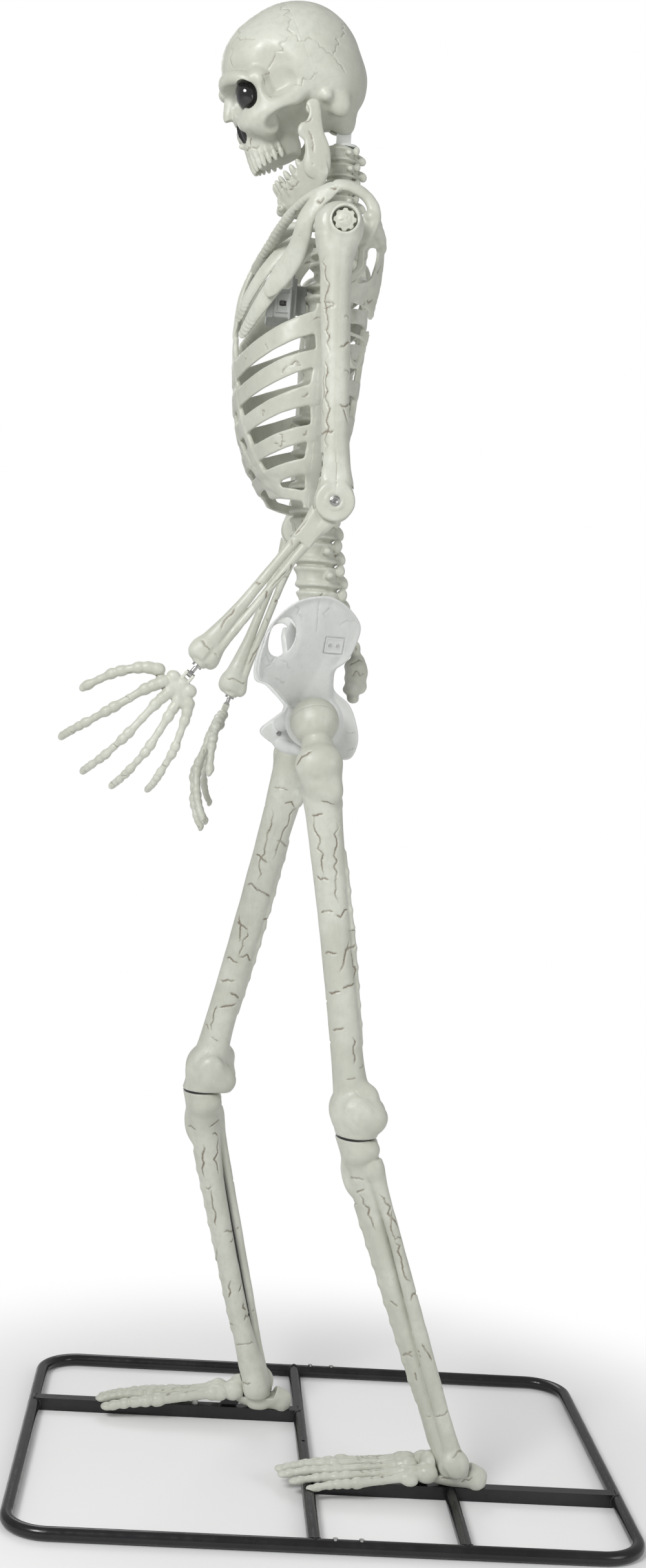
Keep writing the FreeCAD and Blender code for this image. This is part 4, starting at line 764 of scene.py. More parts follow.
def material(name):
    """Each finish of the figure, made when it is first asked for."""
    if name in MATERIALS:
        return MATERIALS[name]
    scene = bpy.context.scene
    bone, steel = scene.skeleton_bone, scene.skeleton_steel
    makers = {
        "bone": lambda: bone_material("aged_bone", bone.bone, bone.pale),
        "hip": lambda: bone_material("hip_bone_plastic", bone.hip, darker(bone.hip, 1.06)),
        "skull": lambda: bone_material("skull_plastic", bone.bone, bone.pale),
        "steel": lambda: paint_material("black_paint", steel.paint, steel.shine, 0.10),
        "zinc": lambda: paint_material("zinc_plate", steel.zinc, 0.30, 0.2, metal=1.0),
        "eye": lambda: paint_material("gloss_black", (0.006, 0.006, 0.007), 0.08, coat=0.6),
        "box": lambda: paint_material("box_plastic", (0.30, 0.31, 0.30), 0.42),
        "switch": lambda: paint_material("switch_plastic", (0.02, 0.02, 0.02), 0.40),
    }
    MATERIALS[name] = makers[name]()
    return MATERIALS[name]


def dress(nodes, name):
    """Gives frame nodes that are shown as they are a finish of their own."""
    for node in nodes:
        shown = frame["nodes"][node]
        shown.data.materials.clear()
        shown.data.materials.append(material(name))


# ---- landmarks, in millimetres
SPINE_Y = float((corners("spine_post")[0][1] + corners("spine_post")[1][1]) / 2)
SACRUM_TOP = float(corners("lumbar_spine")[0][2])
LUMBAR_TOP = float(corners("lumbar_spine")[1][2])
THORAX_TOP = float(corners("thoracic_spine")[1][2])
NECK_TOP = float(corners("neck_spine")[1][2])
HIP_BAR = (corners("hip_crossbar")[0] + corners("hip_crossbar")[1]) / 2
HEAD_OUT = 185.0        # hip ball, from the middle
HEAD_R = 59.0
POST_TOP_OUT = 206.0    # steel post in the thigh, from the middle
KNEE_OUT = 225.0
HEEL_AFT = 94.0         # back of the heel behind the ankle
ANKLE_Z = 92.0


def leg_points(name):
    """Ankle, knee, top of the thigh and hip ball of one leg."""
    side = SIDES[name]
    foot_high = corners(name + "_foot")[1]
    coupler = sum(corners(name + "_knee_coupler")) / 2
    knee_z = (corners(name + "_lower_post")[1][2] + corners(name + "_upper_post")[0][2]) / 2
    bar = "rear_foot_bar" if name == "left" else "front_foot_bar"
    bar_x = float(sum(corners(bar))[0] / 2)
    ankle = np.array((bar_x, foot_high[1] - HEEL_AFT, ANKLE_Z))
    knee = np.array((side * KNEE_OUT, coupler[1], knee_z))
    top = np.array((side * POST_TOP_OUT, HIP_BAR[1], HIP_BAR[2]))
    return ankle, knee, top, np.array((side * HEAD_OUT, HIP_BAR[1], HIP_BAR[2]))


def on_bone(z, degrees, radius=45.0):
    """Spot beside a bone: 0 degrees is outward, 90 aft, 180 inward and 270 forward."""
    turn = radians(degrees)
    return (radius * cos(turn), radius * sin(turn), z)


def girdle(z, start, end, rise, swing, seed, strength=1.0):
    """Crack that runs round the bone from one bearing to another, climbing by rise."""
    count = max(int(abs(end - start) / 18), 2)
    rng = np.random.default_rng(seed)
    line = []
    for index in range(count + 1):
        share = index / count
        shake = rng.normal() * swing
        line.append(on_bone(z + rise * share + shake, start + (end - start) * share))
    return np.array(line), strength


def run_crack(z_low, z_high, low_bearing, high_bearing, swing, seed, strength=1.0):
    """Crack that runs along the bone."""
    count = max(int(abs(z_high - z_low) / 13), 2)
    rng = np.random.default_rng(seed)
    line = []
    for index in range(count + 1):
        share = index / count
        bearing = low_bearing + (high_bearing - low_bearing) * share + rng.normal() * swing
        line.append(on_bone(z_low + (z_high - z_low) * share, bearing))
    return np.array(line), strength


def along_bone(rings, runs, length, middle, seed):
    """Cracks of a long bone.

    A ring is (share of the length, first and last bearing, climb, swing, seed step, strength) and a run is
    (both shares, both bearings, swing, seed step, strength).  Bearings are counted from middle.
    """
    return ([girdle(z * length, middle + a, middle + b, rise, swing, seed + step, strength)
             for z, a, b, rise, swing, step, strength in rings]
            + [run_crack(low * length, high * length, middle + a, middle + b, swing, seed + step, strength)
               for low, high, a, b, swing, step, strength in runs])


def jagged(line, swing, seed, step, strength):
    """Cracks from point to point of a line; the seed grows by one for each."""
    return [(wander(a, b, swing, seed + leg, step), strength)
            for leg, (a, b) in enumerate(zip(line, line[1:]), 1)]


def seam_line(z_low, z_high, bearing, strength=0.30):
    """Straight parting line of the two mould halves."""
    return np.array([on_bone(z, bearing) for z in np.linspace(z_low, z_high, 24)]), strength


def scattered(z_low, z_high, count, seed):
    """Loose cracks round the whole of a long bone."""
    rng = np.random.default_rng(seed)
    cracks = []
    for index in range(count):
        z = z_low + (z_high - z_low) * (index + rng.uniform(0.1, 0.9)) / count
        bearing = rng.uniform(0, 360)
        if index % 3:
            cracks.append(girdle(z, bearing, bearing + rng.uniform(50, 110), rng.uniform(-14, 14), 3.0,
                seed + index))
        else:
            cracks.append(run_crack(z, z + rng.uniform(50, 110), bearing, bearing + rng.uniform(-30, 30),
                5.0,
                                    seed + index, 0.9))
    return cracks


def bone_cell():
    return bpy.context.scene.skeleton_bone.cell / MM


# ---- thighs
THIGH = [
    # share of the length, side radius, aft radius, outward shift, aft shift
    (-0.03, 64, 52, 0, 4), (0.02, 64, 52, 0, 4), (0.06, 58, 50, 0, 4), (0.10, 48, 45, 0, 2),
    (0.16, 41, 40, 0, 0), (0.30, 36, 38, 0, 0), (0.50, 35, 38, 0, 0), (0.66, 36, 41, 0, 0),
    (0.76, 40, 44, 3, 0), (0.82, 46, 48, 6, 0), (0.88, 48, 50, 8, 0), (0.93, 42, 44, 6, 0),
    (0.965, 24, 26, 0, 0),
]


def make_thigh(name):
    _, knee, top, hip = leg_points(name)
    place = place_along(knee, top, (SIDES[name], 0, 0))
    length = float(np.linalg.norm(top - knee))
    head = to_local(place, hip)
    clay = Clay((-100, -76, -30), (94, 90, head[2] + HEAD_R + 4), bone_cell())
    clay.add(shaft([(row[0] * length,) + row[1:] for row in THIGH]))
    for way in (1, -1):
        clay.lump((way * 37, 26, 44), (35, 56, 45), 14)
        clay.lump((way * 26, -26, 62), (26, 30, 44), 16)
        clay.lump((way * 58, 8, 70), (14, 28, 32), 24)
    clay.lump((28, 40, 92), (24, 26, 32), 22)
    clay.cut(limb((0, 92, 0), (0, 66, 76), 16, 12), soft=12)
    clay.cut(limb((0, -66, 10), (0, -64, 70), 14, 10), soft=12)
    clay.dent((78, -6, 118), (18, 30, 26), 14)
    # the great lobe outside the hip, with its notch, and the small one behind
    lobe = 0.875 * length
    clay.lump((36, 0, lobe), (36, 51, 62), 12)
    clay.lump((46, 24, lobe - 40), (22, 26, 34), 12)
    clay.lump((48, -22, lobe + 34), (20, 26, 22), 8)
    clay.dent((84, -12, lobe + 2), (20, 18, 26), 14)
    clay.lump((-30, 34, 0.80 * length), (18, 16, 28), 14)
    clay.add(limb((24, 0, lobe + 24), head * 0.75 + np.array((24, 0, lobe + 24)) * 0.25, 38, 34), soft=10)
    clay.lump((38, -2, head[2] - 102), (42, 57, 50), 8)
    clay.cut(limb((86, -64, head[2] - 58), (86, 64, head[2] - 54), 13), soft=8)
    clay.add(*strap([(0, 37, 0.22 * length), (0, 41, 0.45 * length), (4, 40, 0.68 * length)], [3, 6, 4]),
        soft=10)
    clay.lump(head, (HEAD_R, HEAD_R, HEAD_R), 3)
    low_plane = to_local(place, knee + (0, 0, 2.0))
    up = place[:3, :3].T @ np.array((0.0, 0.0, 1.0))
    clay.keep(half_space(low_plane, up), soft=5)
    seed = 20 if name == "left" else 60
    ring = [head + HEAD_R * np.array((cos(a) * 0.75, sin(a), 0.66 * cos(a)))
            for a in np.linspace(-1.9, 1.9, 24)]
    front, back = (-60, 70) if name == "left" else (60, -70)
    middle = 0 if name == "left" else 180
    rings = [
        (0.62, -6, front, 12, 2, 1, 1.0), (0.775, -44, -4, 6, 3, 3, 1.0), (0.545, -2, front, 8, 4, 5, 1.0),
        (0.545, 4, back, -6, 4, 6, 1.0), (0.44, -3, front, 10, 4, 7, 1.0), (0.362, 4, back, 6, 4, 9, 1.0),
        (0.350, -4, front, 4, 3, 10, 1.0), (0.268, -4, -56, -10, 6, 11, 1.1),
        (0.142, -12, 22, 3, 2, 12, 0.8), (0.165, 40, 70, 6, 3, 13, 0.8), (0.815, -8, 60, -8, 3, 15, 0.8)
    ]
    runs = [
        (0.63, 0.78, -18, -44, 6, 2, 0.9), (0.56, 0.755, 14, 36, 7, 4, 0.9),
        (0.40, 0.47, 6, 52, 6, 8, 1.0)
    ]
    cracks = along_bone(rings, runs, length, middle, seed)
    cracks += [
        seam_line(0.10 * length, 0.82 * length, middle, 0.26),
        (np.array([on_bone(0.13 * length, middle), on_bone(0.085 * length, middle + 25, 60),
            on_bone(0.06 * length, middle + 40, 70)]), 0.3),
        (np.array(ring), 0.5),
        (wander(on_bone(0.90 * length, middle - 50, 70), on_bone(0.94 * length, middle - 14, 80), 4,
            seed + 14), 1.1),
    ]
    cracks += scattered(0.12 * length, 0.78 * length, 9, seed + 100)
    make_piece(name + "_thigh_bone", FIXED, clay, [name + "_thigh"], place=place,
               cracks=cracks, lump=(90, 0.7), seed=seed)


# ---- shins
SHIN = [
    (-0.045, 34, 33, -4, 0), (0.01, 40, 38, -4, 0), (0.06, 37, 35, -5, -1), (0.12, 30, 30, -7, -5),
    (0.22, 25, 26, -8, -9), (0.45, 25, 26, -8, -12), (0.62, 27, 28, -6, -12), (0.76, 31, 32, -3, -11),
    (0.86, 42, 40, 0, -8), (0.93, 58, 46, 0, -2), (0.97, 64, 48, 0, 2), (1.03, 64, 48, 0, 2),
]
FIBULA = [
    (-0.045, 16, 24, 26, 14), (0.0, 19, 26, 27, 12), (0.06, 16, 22, 25, 14), (0.14, 14, 19, 22, 16),
    (0.3, 15, 19, 19, 18), (0.5, 15, 17, 20, 22), (0.7, 15, 15.5, 24, 25), (0.82, 16, 17, 31, 25),
    (0.88, 20, 22, 36, 24), (0.925, 20, 24, 38, 23),
]


def make_shin(name):
    ankle, knee, *_ = leg_points(name)
    place = place_along(ankle, knee, (SIDES[name], 0, 0))
    length = float(np.linalg.norm(knee - ankle))
    clay = Clay((-84, -72, -50), (84, 78, length + 12), bone_cell())
    clay.add(shaft([(row[0] * length,) + row[1:] for row in SHIN]))
    for way in (1, -1):
        clay.lump((way * 34, 6, 0.955 * length), (35, 43, 30), 10)
    clay.lump((2, -42, 0.885 * length), (17, 16, 40), 16)
    clay.add(*strap([(-6, -33, 0.2 * length), (-4, -38, 0.5 * length), (0, -42, 0.8 * length)], [3, 4,
        6]), soft=12)
    clay.dent((0, 62, 0.95 * length), (26, 18, 30), 12)
    clay.dent((28, -50, 0.90 * length), (18, 12, 24), 14)
    clay.lump((-34, -2, 2), (20, 32, 40), 12)
    clay.dent((-4, -44, 12), (16, 14, 40), 12)
    clay.add(shaft([(row[0] * length,) + row[1:] for row in FIBULA]), soft=1.5)
    clay.lump((40, 20, 0.90 * length), (21, 25, 28), 8)
    clay.lump((34, 10, -2), (24, 38, 36), 9)
    clay.cut(limb((60, -36, 44), (50, -14, -30), 7, 9), soft=8)
    down = to_local(place, ankle + (0, 0, -26.0))
    up = place[:3, :3].T @ np.array((0.0, 0.0, 1.0))
    clay.keep(half_space(down, up), soft=4)
    clay.keep(half_space(to_local(place, knee - (0, 0, 2.0)), -up), soft=5)
    seed = 220 if name == "left" else 260
    middle = 0 if name == "left" else 180
    rings = [
        (0.845, -50, -18, 8, 3, 1, 0.9), (0.89, -66, -8, -4, 3, 2, 0.9), (0.885, 40, 80, 2, 3, 3, 0.9),
        (0.68, 28, 58, 4, 3, 6, 0.8), (0.50, -58, -20, -10, 3, 7, 0.9), (0.345, -60, -12, -14, 3, 8, 0.9),
        (0.22, 52, 90, 8, 3, 11, 0.9), (0.15, -50, 70, 4, 2, 12, 0.8)
    ]
    runs = [
        (0.72, 0.84, -20, -52, 9, 0, 1.0), (0.715, 0.83, 52, 30, 7, 4, 1.1),
        (0.55, 0.68, 40, 28, 6, 5, 1.0), (0.31, 0.37, 44, 18, 6, 9, 1.0),
        (0.26, 0.285, -44, -30, 8, 10, 1.1)
    ]
    cracks = along_bone(rings, runs, length, middle, seed)
    cracks += [
        (wander(on_bone(0.03 * length, middle + 10, 55), on_bone(0.035 * length, middle + 60, 55), 3,
            seed + 13), 0.9),
        seam_line(0.16 * length, 0.52 * length, middle + 70, 0.24),
    ]
    cracks += scattered(0.1 * length, 0.86 * length, 8, seed + 100)
    make_piece(name + "_shin_bones", FIXED, clay, [name + "_shin"], place=place,
               cracks=cracks, lump=(80, 0.6), seed=seed)


# ---- feet
TOES = [
    # root, knuckle, middle joint, tip: (outward, fore-and-aft, height) | radii: shaft, knuckle, toe
    ((-32, -96, 78), (-54, -275, 54), (-56, -332, 46), (-54, -384, 34), 13, 20, 14),
    ((-14, -106, 84), (-27, -292, 58), (-27, -346, 56), (-25, -402, 44), 10, 16, 12),
    ((4, -104, 80), (2, -284, 55), (3, -336, 53), (4, -396, 42), 10, 15.5, 11.5),
    ((22, -96, 72), (30, -264, 51), (33, -312, 49), (36, -370, 39), 10, 15, 11),
    ((38, -88, 64), (56, -238, 46), (61, -282, 44), (65, -330, 35), 10.5, 15, 10.5),
]
TARSALS = [
    # centre and radii of the small bones of the instep
    ((-20, -60, 80), (26, 30, 27)), ((24, -54, 70), (28, 30, 26)), ((-34, -96, 76), (18, 24, 21)),
    ((-12, -102, 86), (17, 24, 20)), ((8, -98, 82), (16, 22, 19)), ((30, -90, 68), (20, 24, 20)),
    ((2, -44, 92), (30, 26, 24)),
]
HEEL = [
    # outward, aft, height, radius
    (2, 84, 60, 13), (2, 66, 58, 25), (0, 36, 62, 31), (0, 6, 66, 33), (0, -30, 70, 30),
]


def finger(points, shaft_r, knob_r):
    """Forms of one run of small bones: a waisted shaft between two knobs for each."""
    forms = []
    for index, (a, b) in enumerate(zip(points, points[1:])):
        a, b = np.array(a, float), np.array(b, float)
        waist, knob = shaft_r[index], knob_r[index]
        along = unit(b - a)
        inset = min(knob * 0.8, float(np.linalg.norm(b - a)) * 0.22)
        forms.append(limb(a + along * inset, (a + b) / 2, waist * 1.15, waist))
        forms.append(limb((a + b) / 2, b - along * inset, waist, waist * 1.1))
        forms.append(limb(a + along * inset * 0.9, a + along * inset * 1.2, knob))
        forms.append(limb(b - along * inset * 1.3, b - along * inset * 0.9, knob * 0.92))
    return forms


def make_foot(name):
    ankle, *_ = leg_points(name)
    place = place_at((ankle[0], ankle[1], 0.0), SIDES[name])
    clay = Clay((-80, -424, 10), (84, 100, 128), 2.0)
    clay.add(*strap([row[:3] for row in HEEL], [row[3] for row in HEEL]), soft=4)
    clay.lump((0, 72, 44), (26, 24, 22), 10)
    clay.lump((-24, 8, 44), (12, 26, 12), 10)
    clay.lump((0, -6, 74), (34, 36, 26), 8)
    for centre, radii in TARSALS:
        clay.lump(centre, radii, 3)
    for root, knuckle, middle, tip, r_shaft, r_knuckle, r_toe in TOES:
        forms = finger([root, knuckle, middle, tip], [r_shaft, r_toe * 0.82, r_toe * 0.72],
                       [r_knuckle, r_toe + 1.5, r_toe])
        clay.add(*forms, soft=4)
        clay.lump(np.array(tip) - (0, 4, 1), (r_toe + 1.5, r_toe + 4, r_toe * 0.72), 3)
    clay.lump((46, -96, 54), (12, 20, 12), 6)
    # the bed for the tube and bar below, and the flat top that the shin stands on
    bed = corners("rear_foot_bar" if name == "left" else "front_foot_bar")
    half = (bed[1][0] - bed[0][0]) / 2
    clay.cut(brick((0, -160, bed[1][2] / 2 - 20), (half + 1, 330, bed[1][2] / 2 + 20), 0.5))
    if name == "left":
        tube_low, tube_high = corners("mid_cross_tube")
        tube = (tube_low + tube_high) / 2
        y = tube[1] - ankle[1]
        clay.cut(drum((-200, y, tube[2]), (200, y, tube[2]), tube[2] + 0.6, 0.2))
    clay.cut(drum((0, 8, 66), (0, 8, 260), 50, 3), soft=3)
    seed = 320 if name == "left" else 360
    rng = np.random.default_rng(seed)
    cracks = []
    for number, (root, knuckle, *_rest) in enumerate(TOES):
        a, b = np.array(root, float), np.array(knuckle, float)
        for share in rng.uniform(0.25, 0.8, 2):
            spot = a + (b - a) * share + (0, 0, 12)
            cracks.append((wander(spot + (-9, -4, 0), spot + (9, 6, 0), 2, seed + number, 6), 0.8))
        spot = a + (b - a) * 0.3 + (0, 0, 12)
        cracks.append((wander(spot, spot + (b - a) * 0.3, 2.5, seed + 20 + number, 9), 0.8))
    cracks.append((wander((52, 20, 62), (40, -30, 58), 3, seed + 30), 0.9))
    cracks.append((wander((30, 60, 66), (30, 30, 50), 3, seed + 31), 0.8))
    make_piece(name + "_foot_bones", FIXED, clay, [name + "_foot"], place=place,
               cracks=cracks, lump=(40, 0.5), seed=seed)


# ---- pelvis
ILIUM = [
    (-150, 2172), (-112, 2170), (-73, 2149), (-42, 2110), (-50, 2062), (-70, 2021), (-106, 1992),
    (-108,         1966), (-120, 1925), (-160, 1902), (-197, 1899), (-215, 1914), (-253, 1951),
    (-284, 1966), (-283, 2028), (-251, 2110), (-202, 2155),
]
ISCHIUM = [
    (-120, 1980), (-88, 1944), (-54, 1916), (-34, 1872), (-26, 1829), (-38, 1790), (-62, 1781),
    (-96, 1792), (-118, 1812), (-96, 1838), (-82, 1880), (-106, 1921), (-140, 1930),
]
PUBIS = [(-266, 1836), (-236, 1868), (-192, 1899), (-176, 1872), (-170, 1815), (-186, 1790), (-236, 1808)]
COVER = (-104.0, 2057.0, 24.0, 19.0)      # middle of the cover plate and its half sizes


def wing_level(y, z):
    """How far out the hip wing stands: it leans out going up and forward, and flares at the front edge."""
    lean = 118 + 0.30 * (z - 1931.0) + 0.42 * (-120.0 - y)
    return lean + 10.0 * np.clip((-150.0 - y) / 130.0, 0, 1) ** 2 + 5.0 * np.sin((z - 1930.0) / 70.0)


def make_hip(name):
    side = SIDES[name]
    place = place_at((0, 0, 0), side)
    clay = Clay((-2, -300, 1768), (290, -8, 2190), 2.6)
    clay.add(plate(ILIUM, wing_level, 11, rim=17, rim_width=9, edge=6, slope=0.88))
    clay.add(plate(ISCHIUM, lambda y, z: 112, 17, rim=8, rim_width=8, edge=7), soft=10)
    socket = HIP_BAR + (118.0, 0.0, 0.0)
    clay.add(drum(socket - (16, 0, 0), socket + (16, 0, 0), 69, 8), soft=14)
    clay.add(*strap([(124, -140, 1935), (131, -132, 1985), (142, -118, 2040), (153, -98, 2120)], [34, 25,
        18, 12],
                    flat=((1, 0, 0), 0.6)), soft=14)
    clay.dent((float(wing_level(-210, 2045)) + 39.5, -210, 2045), (40, 58, 78), 8)
    clay.add(*strap([(126, -150, 1925), (150, -190, 2010), (176, -215, 2100)], [22, 12, 6],
                    flat=((1, 0, 0), 0.5)), soft=18)
    clay.add(limb((108, -184, 1885), (40, -214, 1858), 21, 19), soft=14)
    clay.add(plate(PUBIS, lambda y, z: 14, 31, edge=7), soft=8)
    clay.add(*strap([(18, -214, 1806), (52, -180, 1797), (100, -100, 1796)], [14, 12, 14]), soft=9)
    clay.add(brick((82, -93, 2072), (36, 19, 22), 6), soft=10)
    clay.dent(HIP_BAR + (HEAD_OUT, 0, 0), (HEAD_R + 1.5,) * 3, 2)
    y0, z0, half_y, half_z = COVER
    out = unit((1, 0.42, -0.30))
    face = np.array((float(wing_level(y0, z0)) + 5.5, y0, z0))
    rows = (tuple(out), tuple(unit((-0.42, 1, 0))), tuple(np.cross(out, unit((-0.42, 1, 0)))))
    clay.cut(brick(face + out * 6.0, (9.5, half_y + 2.6, half_z + 2.6), 0.8, rows), soft=0.5)
    seed = 420 if name == "left" else 460
    cracks = []
    for a, b, swing in (((-270, 1990), (-232, 2040), 5), ((-232, 2040), (-228, 2072), 5),
                        ((-278, 2012), (-236, 2012), 6), ((-236, 2012), (-205, 1990), 5),
                        ((-238, 2100), (-205, 2080), 4), ((-205, 2080), (-196, 2046), 5),
                        ((-120, 2160), (-128, 2120), 4), ((-60, 2120), (-92, 2104), 4),
                        ((-206, 2150), (-188, 2112), 4), ((-245, 1968), (-214, 1962), 4),
                        ((-150, 2168), (-150, 2080), 0.5), ((-36, 1850), (-60, 1850), 3),
                        ((-32, 1812), (-56, 1806), 3)):
        seed += 1
        for drop in (7.0, -7.0):
            points = [(float(wing_level(*spot)) + drop if spot[1] > 1900 else 112 + drop,
                *spot) for spot in (a, b)]
            cracks.append((wander(*points, swing, seed, 9), 0.5))
    make_piece(name + "_hip", FIXED, clay, [name + "_hip_bone"], "hip", place,
               cracks=cracks, lump=(110, 0.9), seed=seed, hollow_shade=0.34)
    return face, out, rows


def screw(clay, place, way, head, length=8.0):
    """Pan-head screw with a crossed recess, set into the clay."""
    place, way = np.array(place, float), unit(way)
    clay.add(drum(place - way * length, place, head * 0.45, 0.3))
    clay.add(drum(place - way * head * 0.2, place + way * head * 0.28, head, head * 0.22))
    across = unit(np.cross(way, (0.0, 0.3, 1.0)))
    up = np.cross(way, across)
    for first, second in ((across, up), (up, across)):
        clay.cut(brick(place + way * head * 0.3, (head * 0.3, head * 0.55, head * 0.12), 0.2,
                       (tuple(way), tuple(first), tuple(second))))


def make_screws(name, node, spots, cell):
    """One piece for a group of like screws: each spot is (place, way, head radius, length)."""
    skins = []
    for place, way, head, length in spots:
        reach = max(head, length) + 2.0
        clay = Clay(np.array(place) - reach, np.array(place) + reach, cell)
        screw(clay, place, way, head, length)
        skins.append(clay.skin())
    settle(name, mesh_from(name, *join_skins(skins)), FIXED, [node], "zinc")


def make_pelvis():
    covers, screws = [], []
    for name, side in SIDES.items():
        face, out, rows = make_hip(name)
        flip = np.array((side, 1.0, 1.0))
        clay = Clay(face - 36, face + 36, 0.9)
        clay.add(brick(face - out * 3.0, (3.0, COVER[2], COVER[3]), 1.2, rows))
        clay.cut(brick(face + out * 0.4, (1.2, COVER[2] - 4, COVER[3] - 4), 0.6, rows), soft=0.6)
        across = np.array(rows[1])
        for share in (-0.46, 0.40):
            spot = face + across * COVER[2] * share
            clay.add(drum(spot - out * 3, spot + out * 0.3, 6.0, 0.6), soft=0.8)
            clay.cut(drum(spot - out * 1.2, spot + out * 6, 4.6, 0.3))
            screws.append((spot * flip - out * flip * 1.2, out * flip, 4.0, 6.0))
        points, faces = clay.skin()
        covers.append((points * flip, faces[:, ::-1] if side < 0 else faces))
    settle("hip_covers", mesh_from("hip_covers", *join_skins(covers)), FIXED, ["hip_plates"], "hip")
    front = 29.8
    screws += [((front, -219, 1833), (1, 0, 0), 6.5, 9.0), ((front, -203, 1813), (1, 0, 0), 5.0, 8.0)]
    make_screws("pelvis_fixings", "pelvis_screws", screws, 0.55)


# ---- sacrum and tail bone
SACRUM = [
    # below the top, side radius, fore-and-aft radius, aft place
    (0, 60, 52, -132), (-30, 62, 50, -115), (-60, 58, 46, -96), (-95, 50, 36, -74), (-120, 42, 27, -58),
    (-150, 30, 24, -42), (-178, 22, 17, -45), (-200, 17, 15, -42), (-222, 9, 9, -38),
]


def make_sacrum():
    clay = Clay((-84, -190, SACRUM_TOP - 240), (84, 0, SACRUM_TOP + 4), 2.4)
    clay.add(shaft([(SACRUM_TOP + drop, r_side, r_aft, 0, aft) for drop, r_side, r_aft, aft in SACRUM]))
    for way in (1, -1):
        clay.lump((way * 48, -118, SACRUM_TOP - 36), (28, 34, 36), 12)
        for step in range(4):
            z = SACRUM_TOP - 46 - 34 * step
            y = -100 + 16 * step
            spread = 24 - 3 * step
            clay.cut(limb((way * spread, y + 60, z), (way * spread, y, z), 6.5), soft=5)
            clay.cut(limb((way * spread, y - 64, z), (way * spread, y - 10, z), 6.5), soft=5)
    for step in range(6):
        z = SACRUM_TOP - 20 - 31 * step
        aft = float(np.interp(z - SACRUM_TOP, [-222, -150, -95, -60, 0], [-26, -18, -38, -52, -82]))
        clay.lump((0, aft, z), (15, 15, 19), 12)
    for drop, aft, size in ((-128, -38, 30), (-156, -40, 26), (-184, -46, 21), (-208, -38, 16)):
        clay.lump((0, aft, SACRUM_TOP + drop), (size, size * 0.92, size * 0.7), 14)
    seed = 500
    cracks = [(wander((way * 50, -60, SACRUM_TOP - 20), (way * 30, -20, SACRUM_TOP - 110), 6, seed + way,
        10), 0.9)
              for way in (1, -1)]
    for step in range(4):
        z = SACRUM_TOP - 40 - 36 * step
        cracks.append((wander((60 - 9 * step, -100 + 14 * step, z), (20, -40 + 12 * step, z + 4), 3,
            seed + 5 + step), 0.8))
    make_piece("sacrum_bone", FIXED, clay, ["sacrum"], cracks=cracks, lump=(36, 0.8), seed=seed)


# ---- spine
BACK_CURVE = [
    # height and aft place of the middle of the spine
    (SACRUM_TOP, -135), (SACRUM_TOP + 100, -152), (LUMBAR_TOP - 120, -166), (LUMBAR_TOP, -180),
    (LUMBAR_TOP + 250, -183), (THORAX_TOP - 200, -178), (THORAX_TOP, -158), (NECK_TOP - 80, -158),
    (NECK_TOP, -168),
]


def back_y(z):
    return float(np.interp(z, [row[0] for row in BACK_CURVE], [row[1] for row in BACK_CURVE]))


VERTEBRA = [
    # height as a share of the pitch, which radius, and its factor
    (0.0, "waist", 0.96), (0.06, "body", 0.98), (0.16, "body", 1), (0.30, "waist", 1.02), (0.45, "waist", 1),
    (0.60, "waist", 1.03), (0.74, "body", 0.99), (0.84, "body", 0.97), (0.92, "waist", 0.92),
]


def make_stack(name, node, low, high, count, r_body, r_waist, wings, spine, cell, seed, lean=0.0):
    """A run of vertebrae: waisted bodies with flared rims, side wings, facets and rear spines."""
    pitch = (high - low) / count
    y0 = min(back_y(low), back_y(high), back_y((low + high) / 2))
    y1 = max(back_y(low), back_y(high))
    clay = Clay((-r_body - wings - 6, y0 - r_body - 8, low - 1),
                (r_body + wings + 6, y1 + r_body + spine + 10, high + 1), cell)
    stations = []
    for index in range(count):
        z = low + index * pitch
        for share, size, factor in VERTEBRA:
            radius = (r_body if size == "body" else r_waist) * factor
            stations.append((z + share * pitch, radius, radius * 0.92, 0.0, back_y(z + share * pitch)))
    stations.append((high, r_waist, r_waist * 0.92, 0.0, back_y(high)))
    clay.add(shaft(stations, edge=3))
    for index in range(count):
        z = low + (index + 0.5) * pitch
        y = back_y(z)
        rear = y + r_body * 0.9
        for way in (1, -1):
            tip = (way * (r_body + wings), y + r_body * 0.45, z + pitch * lean)
            clay.add(*strap([(way * r_body * 0.6, y + r_body * 0.5, z), tip], [pitch * 0.20, pitch * 0.12],
                            flat=((0, 0, 1), 0.75)), soft=7)
            clay.lump(tip, (pitch * 0.14, pitch * 0.16, pitch * 0.15), 4)
            clay.lump((way * r_body * 0.42, rear, z + pitch * 0.28), (pitch * 0.18, pitch * 0.2,
                pitch * 0.28), 5)
        clay.add(*strap([(0, rear - 6, z), (0, rear + spine * 0.6, z - pitch * 0.14), (0, rear + spine,
            z - pitch * 0.3)],
                        [pitch * 0.2, pitch * 0.17, pitch * 0.15], flat=((1, 0, 0), 0.6)), soft=6)
    cracks = []
    rng = np.random.default_rng(seed)
    for index in range(count):
        z = low + (index + rng.uniform(0.3, 0.6)) * pitch
        y = back_y(z)
        for bearing in rng.uniform(0, 360, 3):
            turn = radians(bearing)
            spot = np.array((r_body * cos(turn), y + r_body * sin(turn), z))
            cracks.append((wander(spot, spot + rng.normal(size=3) * (10, 10, pitch * 0.3), 3,
                seed + index, 7), 0.8))
    make_piece(name, FIXED, clay, [node], cracks=cracks, lump=(34, 0.7), seed=seed, hollow_shade=1.2)


